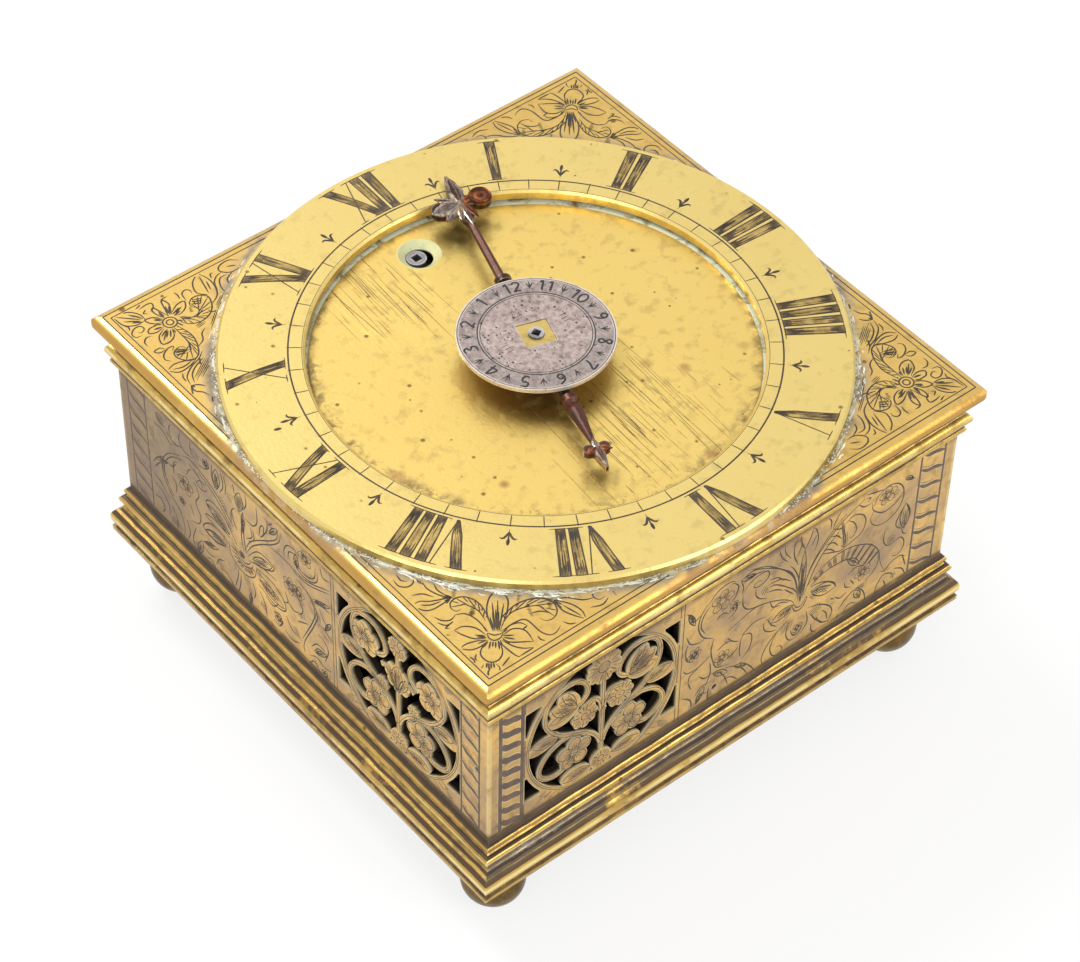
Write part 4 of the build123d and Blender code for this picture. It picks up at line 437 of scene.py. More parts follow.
looks["leaf_steel"] = variant(
    looks["hand_steel"], colour=rgb(112, 106, 110), stainColour=rgb(98, 66, 48), mottleColour=rgb(206, 186, 156),
    bands=[], rough=0.24, edge=0.0003)
metals = {name: agedMetal("aged_" + name, look) for name, look in looks.items()}
ownLooks = {"cornice_moulding": "cornice", "base_moulding": "base", "ball_feet": "balls",
            "right_wall": "fret_brass", "back_wall": "fret_brass"}
for part in frame["record"]["subparts"]:
    finish = ownLooks.get(part["node"], part["material_slot"])
    for place in nodes[part["node"]].material_slots:
        place.material = metals[finish]


def inkMaterial(name, colour, edge, rough, metal):  # dark wax and dirt that fill a cut line
    fade = 0.15
    material, tree, shader, where = startMaterial(name)
    worn = useGroup(tree, tarnishClouds, where, Scale=330.0, Low=0.4, High=0.75, Twist=0.2)["Mask"]
    feed(tree, shader, "Base Color", mixColour(tree, worn, colour, edge))
    feed(tree, shader, "Roughness", mathNode(tree, "MULTIPLY_ADD", worn, fade, rough))
    feed(tree, shader, "Metallic", metal)
    return material


waxDark = inkMaterial("wax_dark", rgb(44, 35, 25), rgb(92, 72, 40), 0.5, 0.3)
waxBrown = inkMaterial("wax_brown", rgb(92, 70, 40), rgb(150, 116, 62), 0.45, 0.6)
waxWorn = inkMaterial("wax_worn", rgb(140, 116, 68), rgb(206, 178, 108), 0.42, 0.75)
wallDark = inkMaterial("wall_cut", rgb(62, 52, 45), rgb(104, 86, 66), 0.5, 0.3)
wallShade = inkMaterial("wall_shade", rgb(92, 78, 72), rgb(132, 108, 84), 0.5, 0.45)
silverDark = inkMaterial("silver_cut", rgb(34, 30, 29), rgb(66, 58, 56), 0.5, 0.3)
crustMaterial = inkMaterial("verdigris_crust", rgb(234, 236, 224), rgb(178, 186, 182), 0.8, 0.0)


levels = {"top": 72.9, "dial": 72.1, "ring": 74.8, "disc": 77.9}  # heights of the level faces, in mm
outward = {"front": (0, -1), "left": (-1, 0), "right": (1, 0), "back": (0, 1)}
wall = {"out": 56.53, "low": 27.3, "high": 60.6, "half": 55.6, "probe": 1.0, "reach": 1.06}
flats = {face: (Vector((0, 0, level)), Vector((1, 0, 0)), Vector((0, 1, 0))) for face, level in levels.items()}
for face, (x, y) in outward.items():
    flats[face] = (Vector((x, y, 0)) * wall["out"], Vector((-y, x, 0)), Vector((0, 0, 1)))
wallTrees = {}


def onFace(face, across, along, lift):
    corner, first, second = flats[face]
    return corner + first * across + second * along + first.cross(second) * lift


def meetsMetal(face, across, along):  # whether the wall has metal there, and no hole
    if face not in wallTrees:
        mesh = nodes[face + "_wall"].data
        mesh.calc_loop_triangles()
        wallTrees[face] = BVHTree.FromPolygons([v.co / mm for v in mesh.vertices],
                                               [t.vertices for t in mesh.loop_triangles])
    _, first, second = flats[face]
    start = onFace(face, across, along, wall["probe"])
    return wallTrees[face].ray_cast(start, -first.cross(second), wall["reach"])[0] is not None


def polar(radius, angle, centre=(0.0, 0.0)):
    return (centre[0] + radius * math.cos(angle), centre[1] + radius * math.sin(angle))


def turned(point, angle):
    c, s = math.cos(angle), math.sin(angle)
    return (point[0] * c - point[1] * s, point[0] * s + point[1] * c)


def direction(path, i):  # the unit step along a path at its point i
    before, after = path[max(0, i - 1)], path[min(len(path) - 1, i + 1)]
    run = math.dist(before, after) or 1.0
    return ((after[0] - before[0]) / run, (after[1] - before[1]) / run)


def smoothPath(points, step=0.4):  # a curve through the points
    def ahead(first, second):
        return (2 * second[0] - first[0], 2 * second[1] - first[1])
    if len(points) < 3:
        (x, y), (farX, farY) = points
        pieces = max(2, int(math.dist(*points) / step) + 1)
        return [(x + (farX - x) * i / pieces, y + (farY - y) * i / pieces) for i in range(pieces + 1)]
    path = []
    spans = [ahead(points[1], points[0]), *points, ahead(points[-2], points[-1])]
    for corners in zip(spans, spans[1:], spans[2:], spans[3:]):
        pieces = max(2, int(math.dist(corners[1], corners[2]) / step))
        for t in (k / pieces for k in range(pieces)):
            path.append(tuple(
                0.5 * (2 * b + (c - a) * t + (2 * a - 5 * b + 4 * c - d) * t * t
                       + (3 * b - a - 3 * c + d) * t ** 3)
                for a, b, c, d in zip(*corners)))
    return path + [tuple(points[-1])]


class Cuts:  # collects the cut lines of one piece, as low ridges on a face
    def __init__(self, face, rise=0.045, clip=True, keep=None):
        self.face, self.rise, self.clip, self.keep, self.sunk = face, rise, clip, keep, 0.012
        self.verts, self.polys = [], []

    def holds(self, here):
        return (not self.keep or self.keep(*here)) and (not self.clip or meetsMetal(self.face, *here))

    def line(self, points, width=0.24, taper=0.75, straight=False):
        path = list(points) if straight else smoothPath(points)
        last = None
        for i, here in enumerate(path):
            if not self.holds(here):
                last = None
                continue
            along = direction(path, i)
            share = abs(2 * i / (len(path) - 1) - 1)
            half = width / 2 * (1 - taper * share ** 3)
            base = len(self.verts)
            for way, lift in ((-1, -self.sunk), (0, self.rise), (1, -self.sunk)):
                across, up = here[0] - way * along[1] * half, here[1] + way * along[0] * half
                self.verts.append(onFace(self.face, across, up, lift))
            if last is not None:
                self.polys += [(last + k, base + k, base + k + 1, last + k + 1) for k in range(2)]
            last = base

    def circle(self, centre, radius, width):
        count = max(16, int(radius * 10))
        points = [polar(radius, math.radians(360.0 * i / count), centre) for i in range(count + 1)]
        self.line(points, width, taper=0.0, straight=True)

    def curl(self, centre, radius, turns):  # a spiral that ends in a dot
        shrink, dot = 0.75, (0.18, 0.05)
        count = max(10, int(abs(turns) * 14))
        points = [polar(radius * (1 - shrink * i / count), math.pi / 2 + turns * 2 * math.pi * i / count, centre)
                  for i in range(count + 1)]
        self.line(points, 0.28, taper=0.5, straight=True)
        x, y = points[-1]
        self.line([(x, y), (x + dot[0], y + dot[1])], 0.4, taper=0.2)

    def leaf(self, base, tip, bulge, veins, width=0.26):  # an outline with a middle rib and hatch
        run = math.dist(base, tip)
        ahead = ((tip[0] - base[0]) / run, (tip[1] - base[1]) / run)

        def at(share, away):
            return (base[0] + ahead[0] * run * share - ahead[1] * away,
                    base[1] + ahead[1] * run * share + ahead[0] * away)
        for way in (1, -1):
            side = [at(share, way * bulge * part) for share, part in ((0.25, 0.72), (0.55, 1.0), (0.82, 0.6))]
            self.line([base, *side, tip], width, taper=0.6)
        self.line([base, at(0.35, 0), at(0.72, 0)], width * 0.8)
        for i in range(veins):
            share = 0.14 + 0.5 * i / veins
            for way in (1, -1):
                self.line([at(share, way * bulge * 0.12), at(share + 0.2, way * bulge * 0.55)], width * 0.62,
                          taper=0.9)

    def horn(self, outer, inner, rungs):  # two sides of a curled leaf, with ribs between
        self.line(outer, 0.42)
        self.line(inner, 0.36)
        far, near = smoothPath(outer), smoothPath(inner)
        for i in range(1, rungs):
            share = i / rungs * 0.92
            a, b = (path[int(share * (len(path) - 1))] for path in (far, near))
            middle = ((a[0] + b[0]) / 2, (a[1] + b[1]) / 2)
            self.line([a, middle] if i % 2 else [a, b], 0.32, taper=0.9)

    def rails(self, points, gap=0.3):  # two lines, one each side of a path
        path = smoothPath(points)
        steps = [direction(path, i) for i in range(len(path))]
        for way in (1, -1):
            self.line([(x - way * gap * stepY, y + way * gap * stepX) for (x, y), (stepX, stepY) in zip(path, steps)],
                      0.2, taper=0.3, straight=True)

    def flower(self, centre, radius, petals, turn):  # round petals with veins about a small dark heart
        heart = radius * 0.26
        half = math.pi / petals
        petal = [(heart, -0.5), (radius * 0.7, -0.92), (radius, -0.4), (radius * 1.04, 0.0), (radius, 0.4),
                 (radius * 0.7, 0.92), (heart, 0.5)]
        self.circle(centre, heart, 0.24)
        for i in range(petals):
            angle = math.radians(turn + 360 * i / petals)
            self.line([polar(away, angle + half * off, centre) for away, off in petal], 0.26, taper=0.3)
            for off in (-0.35, 0.0, 0.35):
                far = radius * (0.62 if off else 0.72)
                self.line([polar(heart * 1.2, angle + half * off, centre),
                           polar(far, angle + half * off * 1.3, centre)], 0.18)

    def shade(self, centre, across, along, turn, shake):  # a patch of fine hatching
        pitch, least = 0.3, 0.2
        c, s = math.cos(math.radians(turn)), math.sin(math.radians(turn))
        count = max(3, int(2 * across / pitch))
        for i in range(count + 1):
            x = (2 * i / count - 1) * across
            half = along * math.sqrt(max(0.0, 1 - (x / across) ** 2)) * shake.uniform(0.7, 1.15)
            if half < least:
                continue
            low = -half * shake.uniform(0.7, 1.0)
            self.line([(centre[0] + x * s + y * c, centre[1] - x * c + y * s) for y in (low, half)], 0.24, taper=0.8)

    def fill(self, corners):  # a flat patch of worn wax
        base = len(self.verts)
        self.verts += [onFace(self.face, *corner, self.sunk) for corner in corners]
        self.polys.append(tuple(range(base, base + len(corners))))


def trace(cuts, shading, drawing, at, flipped, shake, width):  # draws a plant from its dictionary
    for path in drawing["lines"]:
        cuts.line([at(p) for p in path], width)
    for outer, inner, rungs in drawing.get("horns", []):
        cuts.horn([at(p) for p in outer], [at(p) for p in inner], rungs)
    for ray in drawing.get("rays", []):
        cuts.line([at(p) for p in ray], 0.46, taper=0.9)
    for middle, radius in drawing.get("circles", []):
        cuts.circle(at(middle), radius, 0.4)
    for base, tip, bulge, veins in drawing.get("leaves", []):
        cuts.leaf(at(base), at(tip), bulge, veins, 0.42)
    for rib in drawing.get("ribs", []):
        for shift in (-0.3, 0.0, 0.3):
            cuts.line([at((x + shift, y)) for x, y in rib], 0.3, taper=0.9)
    for heart, radius, petals, turn in drawing.get("flowers", []):
        cuts.flower(at(heart), radius, petals, turn)
    for middle, across, along, turn in drawing["shades"]:
        shading.shade(at(middle), across, along, 180 - turn if flipped else turn, shake)


def addObject(name, data):
    made = bpy.data.objects.new(name, data)
    scene.collection.objects.link(made)
    return made


def cutMesh(name, cuts):
    mesh = bpy.data.meshes.new(name)
    if cuts:
        mesh.from_pydata([tuple(v * mm) for v in cuts.verts], [], cuts.polys)
    return mesh


def makePiece(name, cuts, material, body="case"):
    mesh = cutMesh(name, cuts)
    mesh.materials.append(material)
    mesh.update()
    piece = addObject(name, mesh)
    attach(piece, body)


def startTree(name, inputs):
    return startGroup(name, "GeometryNodeTree", [("Geometry", "NodeSocketGeometry")], inputs,
                      [("Material", "NodeSocketMaterial")], [("Geometry", "NodeSocketGeometry")])


def endTree(tree, given, out, instances):
    real = addNode(tree, "GeometryNodeRealizeInstances", {0: instances})
    paint = addNode(tree, "GeometryNodeSetMaterial", {"Geometry": real.outputs[0], "Material": given["Material"]})
    feed(tree, out, 0, paint.outputs[0])
    return tree


def buildRepeat():  # the same cut again and again, turned or moved by one step each time
    tree, given, out = startTree("repeatCut", {"Count": 12, "Start": 0.0, "Turn": 0.0, "Shift": (0.0, 0.0, 0.0)})
    index = addNode(tree, "GeometryNodeInputIndex").outputs[0]
    moved = vectorNode(tree, "SCALE", given["Shift"], Scale=index)
    points = addNode(tree, "GeometryNodePoints", {"Count": given["Count"], "Position": moved})
    angle = mathNode(tree, "MULTIPLY_ADD", index, given["Turn"], given["Start"])
    turn = addNode(tree, "ShaderNodeCombineXYZ", {2: angle})
    copies = addNode(tree, "GeometryNodeInstanceOnPoints", {
        "Points": points.outputs[0], "Instance": given["Geometry"], "Rotation": turn.outputs[0]})
    return endTree(tree, given, out, copies.outputs[0])


def buildCrust():  # crumbs of verdigris strewn along a circle
    tree, given, out = startTree("crustRing", {
        "Radius": 0.06, "Height": 0.0729, "Count": 900, "Spread": 0.0008, "Grain": 0.0004, "Limit": 0.0595, "Seed": 3})
    smallest, largest = (0.3, 0.3, 0.15), (1.5, 1.5, 0.45)
    loop = addNode(tree, "GeometryNodeCurvePrimitiveCircle", {"Resolution": 256, "Radius": given["Radius"]})
    spots = addNode(tree, "GeometryNodeCurveToPoints", {"Curve": loop.outputs[0], "Count": given["Count"]},
                    mode="COUNT")
    away = addNode(tree, "FunctionNodeRandomValue", {2: -1.0, 3: 1.0, "Seed": given["Seed"]}, data_type="FLOAT")
    place = addNode(tree, "GeometryNodeInputPosition").outputs[0]
    drift = mathNode(tree, "MULTIPLY", away.outputs[1], given["Spread"])
    push = vectorNode(tree, "SCALE", vectorNode(tree, "NORMALIZE", place), Scale=drift)
    lift = addNode(tree, "ShaderNodeCombineXYZ", {2: given["Height"]}).outputs[0]
    shifted = addNode(tree, "GeometryNodeSetPosition", {
        "Geometry": spots.outputs[0], "Offset": vectorNode(tree, "ADD", push, lift)})
    parts = splitParts(tree, place)
    far = mathNode(tree, "MAXIMUM", *(mathNode(tree, "ABSOLUTE", parts[i]) for i in (0, 1)))
    outside = mathNode(tree, "GREATER_THAN", far, given["Limit"])
    kept = addNode(tree, "GeometryNodeDeleteGeometry", {"Geometry": shifted.outputs[0], "Selection": outside},
                   domain="POINT")
    crumb = addNode(tree, "GeometryNodeMeshIcoSphere", {"Radius": given["Grain"], "Subdivisions": 1})
    size = addNode(tree, "FunctionNodeRandomValue", {0: smallest, 1: largest, "Seed": given["Seed"]},
                   data_type="FLOAT_VECTOR")
    copies = addNode(tree, "GeometryNodeInstanceOnPoints", {
        "Points": kept.outputs[0], "Instance": crumb.outputs[0], "Scale": size.outputs[0]})
    return endTree(tree, given, out, copies.outputs[0])


repeatCut = buildRepeat()
crustRing = buildCrust()


def runTree(name, cuts, tree, **values):  # the tree's result as a plain mesh
    piece = addObject(name, cutMesh(name + "_one", cuts))
    modifier = piece.modifiers.new("tree", "NODES")
    modifier.node_group = tree
    for item in tree.interface.items_tree:
        if item.in_out == "INPUT" and item.name in values:
            modifier[item.identifier] = values[item.name]
    bpy.context.view_layer.update()
    seen = piece.evaluated_get(bpy.context.evaluated_depsgraph_get())
    made = bpy.data.meshes.new_from_object(seen)
    piece.modifiers.clear()
    piece.data = made
    made.name = name
    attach(piece, "case")


ring = {
    "inner": 46.9, "outer": 58.2, "middle": 52.4, "thick": 1.75, "narrow": 2.6, "wide": 5.0, "narrowing": 0.3,
    "numerals": ["XII", "I", "II", "III", "IIII", "V", "VI", "VII", "VIII", "IX", "X", "XI"],
    "sideLine": 0.42, "endLine": 0.34, "thinLine": 0.32, "serifLine": 0.27, "chips": 7, "chipLine": 0.4,
    "chipReach": (0.16, 0.2, 0.26, 0.34, 0.5), "hairs": 0.45, "hairLine": 0.16,
}


def ringSpot(hourAngle, across, radius):  # across is measured at the numerals' middle
    return polar(radius, math.radians(hourAngle) - across / ring["middle"])


def ringStroke(lines, worn, hourAngle, topAcross, footAcross, shake, foot=1.0):  # broad, dark at both ends
    half, bottom, top, narrowing = ring["thick"] / 2, ring["inner"], ring["outer"], ring["narrowing"]

    def at(share, up):
        across = footAcross + (topAcross - footAcross) * up
        full = foot + (1 - foot) * min(1.0, up / narrowing)
        return ringSpot(hourAngle, across + share * half * full, bottom + (top - bottom) * up)
    worn.fill([at(-1, 0), at(1, 0), at(1, narrowing), at(1, 1), at(-1, 1), at(-1, narrowing)])
    for share in (-1.0, 1.0):
        lines.line([at(share, 0.1 * k) for k in range(11)], ring["sideLine"], taper=0.1, straight=True)
    for k in range(ring["chips"]):
        share = -0.84 + 0.28 * k
        for start, way in ((-0.01, 1), (1.01, -1)):
            reach = shake.choice(ring["chipReach"])
            lines.line([at(share, start), at(share, start + way * reach)], ring["chipLine"], taper=0.8)
        if shake.random() < ring["hairs"]:
            lines.line([at(share + 0.12, 0.1), at(share + 0.12, 0.9)], ring["hairLine"], taper=0.5)
    lines.line([at(-1, 0), at(1, 0)], ring["endLine"], taper=0.2)
    lines.line([at(1, 1), at(-1, 1)], ring["endLine"], taper=0.2)


def engraveNumerals():
    low, high = ring["inner"], ring["outer"]
    lines, worn = Cuts("ring", clip=False), Cuts("ring", clip=False)
    shake = random.Random(12)
    for hour, text in enumerate(ring["numerals"]):
        hourAngle = 90 - 30 * hour
        widths = [ring["narrow"] if letter == "I" else ring["wide"] for letter in text]
        start = -sum(widths) / 2
        for letter, width in zip(text, widths):
            middle = start + width / 2
            start += width
            if letter == "I":
                ringStroke(lines, worn, hourAngle, middle, middle, shake)
                serifs = [(middle, low, 2.1), (middle, high, 2.1)]
            else:
                crossed, reach = letter == "X", width / 2 - 0.3
                foot = middle + (reach if crossed else 0.5)
                thinFoot = middle - reach if crossed else middle + 0.6
                ringStroke(lines, worn, hourAngle, middle - reach, foot, shake, 1.0 if crossed else 0.25)
                lines.line([ringSpot(hourAngle, thinFoot, low), ringSpot(hourAngle, middle + reach, high)],
                           ring["thinLine"], taper=0.1)
                serifs = [(middle - reach, high, 1.9), (middle + reach, high, 1.2)]
                serifs += [(foot, low, 1.6), (thinFoot, low, 1.1)] if crossed else []
            for across, radius, reach in serifs:  # bars along the track
                lines.line([ringSpot(hourAngle, across + way * reach, radius) for way in (-1, 1)],
                           ring["serifLine"], taper=0.5)
    makePiece("numeral_ground", worn, waxWorn)
    makePiece("numeral_lines", lines, waxDark)


track = {  # paths of the half hour mark stand with their width and taper
    "circles": [(46.2, 0.42), (43.6, 0.14)], "tick": [(43.6, 0.0), (46.5, 0.0)], "divisions": 48,
    "diamond": [(-49.9, 12.0), (-50.7, 12.2), (-51.5, 12.4)],
    "stem": [([(47.1, 0.0), (48.4, 0.0)], 0.18, 0.8), ([(47.8, 0.0), (50.8, 0.0)], 0.4, 0.9),
             ([(49.3, 0.0), (51.1, 0.0)], 0.8, 0.9)],
    "arms": [([(47.7, 0.0), (48.5, 0.3), (49.3, 0.8), (49.6, 1.35)], 0.6, 0.85),
             ([(49.2, 0.85), (49.4, 1.3), (49.2, 1.6)], 0.3, 0.7)],
}


def engraveTrack():
    circles, tick, mark = (Cuts("ring", clip=False) for _ in range(3))
    for radius, width in track["circles"]:
        circles.circle((0, 0), radius, width)
    circles.line(track["diamond"], 0.85, taper=1.0)  # a stray diamond before X
    makePiece("track_circles", circles, waxDark)
    tick.line(track["tick"], 0.28, taper=0.5)
    runTree("track_divisions", tick, repeatCut, Count=track["divisions"], Material=waxDark,
            Turn=math.radians(360 / track["divisions"]))
    for path, width, taper in track["stem"]:
        mark.line(path, width, taper)
    for way in (1, -1):
        for path, width, taper in track["arms"]:
            mark.line([(along, across * way) for along, across in path], width, taper)
    runTree("half_hour_marks", mark, repeatCut, Count=12, Turn=math.radians(30), Start=math.radians(15),
            Material=waxDark)


scratches = {"reach": 42.6, "hole": (0.0, 35.5), "holeReach": 4.4, "lengths": (1.5, 2.5, 4.0, 6.0, 8.5),
             "widths": (0.08, 0.1, 0.14, 0.2), "turn": -93, "spread": 1.8,
             "bundles": [((-13.5, 29.0), 4.8, 5.0, 46), ((6.0, -25.0), 8.0, 6.5, 78)]}


def onDial(u, v):
    return math.hypot(u, v) < scratches["reach"] and math.dist((u, v), scratches["hole"]) > scratches["holeReach"]


def scratchDial():  # two bundles of straight scratches, mostly one way
    lines = Cuts("dial", clip=False, keep=onDial)
    shake = random.Random(8)
    for (x, y), across, along, count in scratches["bundles"]:
        for _ in range(count):
            angle = math.radians(scratches["turn"] + shake.gauss(0, scratches["spread"]))
            middle = (x + shake.gauss(0, across), y + shake.gauss(0, along))
            reach = shake.choice(scratches["lengths"])
            lines.line([polar(-reach, angle, middle), polar(reach, angle, middle)], shake.choice(scratches["widths"]),
                       taper=0.9)
    makePiece("dial_scratches", lines, waxBrown)


smears = {"count": 230, "edge": 59.4, "ring": 59.3, "start": 59.75, "turns": (225, 225, 225, 225, 315, 315, 45, 135),
          "turnSpread": 17, "awaySpread": 0.75, "sweep": (0.4, 4.5), "drift": (-0.5, 0.5), "sway": (-0.12, 0.12),
          "widths": (0.12, 0.5), "steps": 5, "half": 60.0}


def onPlateEdge(u, v):
    return max(abs(u), abs(v)) < smears["edge"] and math.hypot(u, v) > smears["ring"]


def smearCrust():  # pale streaks of crust that run round the ring on the top plate
    lines = Cuts("top", clip=False, keep=onPlateEdge)
    shake = random.Random(31)
    steps = smears["steps"]
    for _ in range(smears["count"]):
        angle = shake.choice(smears["turns"]) + shake.gauss(0, smears["turnSpread"])
        radius = smears["start"] + abs(shake.gauss(0, smears["awaySpread"]))
        sweep = shake.uniform(*smears["sweep"]) / (1 + abs(radius - smears["half"]))
        drift = shake.uniform(*smears["drift"])
        points = [polar(radius + drift * i / steps + shake.uniform(*smears["sway"]),
                        math.radians(angle + sweep * i / steps)) for i in range(steps + 1)]
        lines.line(points, shake.uniform(*smears["widths"]), taper=0.9)
    makePiece("crust_smears", lines, crustMaterial)


engraveNumerals()
engraveTrack()
scratchDial()
runTree("ring_crust", None, crustRing, Radius=0.0599, Height=0.07292, Count=1300, Spread=0.0005, Grain=0.00018,
        Limit=0.0595, Seed=5, Material=crustMaterial)
smearCrust()
print("hour ring engraved")


disc = {"numbers": 12.95, "tall": 2.75, "wide": 0.62, "first": 71.7,
        "circles": [(11.0, 0.34), (10.5, 0.22), (14.75, 0.2)],
        "between": [(-0.045, 12.2, 13.6), (0.0, 11.8, 14.0), (0.045, 12.2, 13.6)],
        "dashes": (6.0, 7.6), "dashRows": (-0.8, 0.0, 0.8), "arrow": [(-1.0, 5.6), (0.0, 7.4), (1.0, 5.6), (-1.0, 5.6)],
        "digitLine": 0.62, "betweenLine": 0.36, "dashLine": 0.18, "arrowLine": 0.2}
digits = {
    "0": [[(0.3, 1.0), (0.05, 0.75), (0.05, 0.3), (0.3, 0.0), (0.55, 0.3), (0.55, 0.75), (0.3, 1.0)]],
    "1": [[(0.12, 0.8), (0.3, 1.0), (0.3, 0.0)]],
    "2": [[(0.05, 0.78), (0.25, 1.0), (0.5, 0.85), (0.5, 0.6), (0.05, 0.02), (0.3, 0.1), (0.58, 0.02)]],
    "3": [[(0.05, 0.92), (0.35, 1.0), (0.5, 0.8), (0.25, 0.55), (0.55, 0.38), (0.45, 0.05), (0.05, 0.05)]],
    "4": [[(0.42, 0.0), (0.42, 1.0), (0.02, 0.32), (0.6, 0.3)]],
    "5": [[(0.55, 1.0), (0.15, 0.98), (0.12, 0.6), (0.45, 0.6), (0.52, 0.25), (0.3, 0.0), (0.05, 0.1)]],
    "6": [[(0.5, 0.98), (0.15, 0.7), (0.05, 0.25), (0.3, 0.0), (0.52, 0.25), (0.3, 0.5), (0.08, 0.3)]],
    "7": [[(0.02, 0.9), (0.3, 0.98), (0.58, 0.95), (0.3, 0.4), (0.22, 0.0)]],
    "8": [[(0.3, 0.55), (0.1, 0.8), (0.3, 1.0), (0.5, 0.8), (0.1, 0.25), (0.3, 0.0), (0.52, 0.25), (0.3, 0.55)]],
    "9": [[(0.5, 0.7), (0.3, 0.5), (0.08, 0.75), (0.3, 1.0), (0.52, 0.75), (0.45, 0.3), (0.15, 0.0)]],
}


def engraveDisc():
    lines = Cuts("disc", clip=False)
    tall, middle = disc["tall"], disc["numbers"]
    for step in range(12):
        angle = disc["first"] + 30 * step
        text = str(step or 12)
        for k, digit in enumerate(text):
            shift = (k - len(text) / 2) * (disc["wide"] * tall)
            for stroke in digits[digit]:
                lines.line([polar(middle + (up - 0.5) * tall * 0.95,
                                  math.radians(angle) - (shift + across * tall) / middle)
                            for across, up in stroke], disc["digitLine"], taper=0.25)
        between = math.radians(angle + 15)
        for shift, low, high in disc["between"]:
            lines.line([polar(low, between), polar(high, between + shift)], disc["betweenLine"], taper=0.8)
    for radius, width in disc["circles"]:
        lines.circle((0, 0), radius, width)
    near, far = disc["dashes"]
    for side in (-1, 1):
        for row in disc["dashRows"]:
            lines.line([(side * near, row), (side * far, row * 1.2)], disc["dashLine"])
    lines.line(disc["arrow"], disc["arrowLine"], taper=0.1, straight=True)
    makePiece("disc_engraving", lines, silverDark, "alarm_disc_group")


engraveDisc()
print("alarm disc engraved")


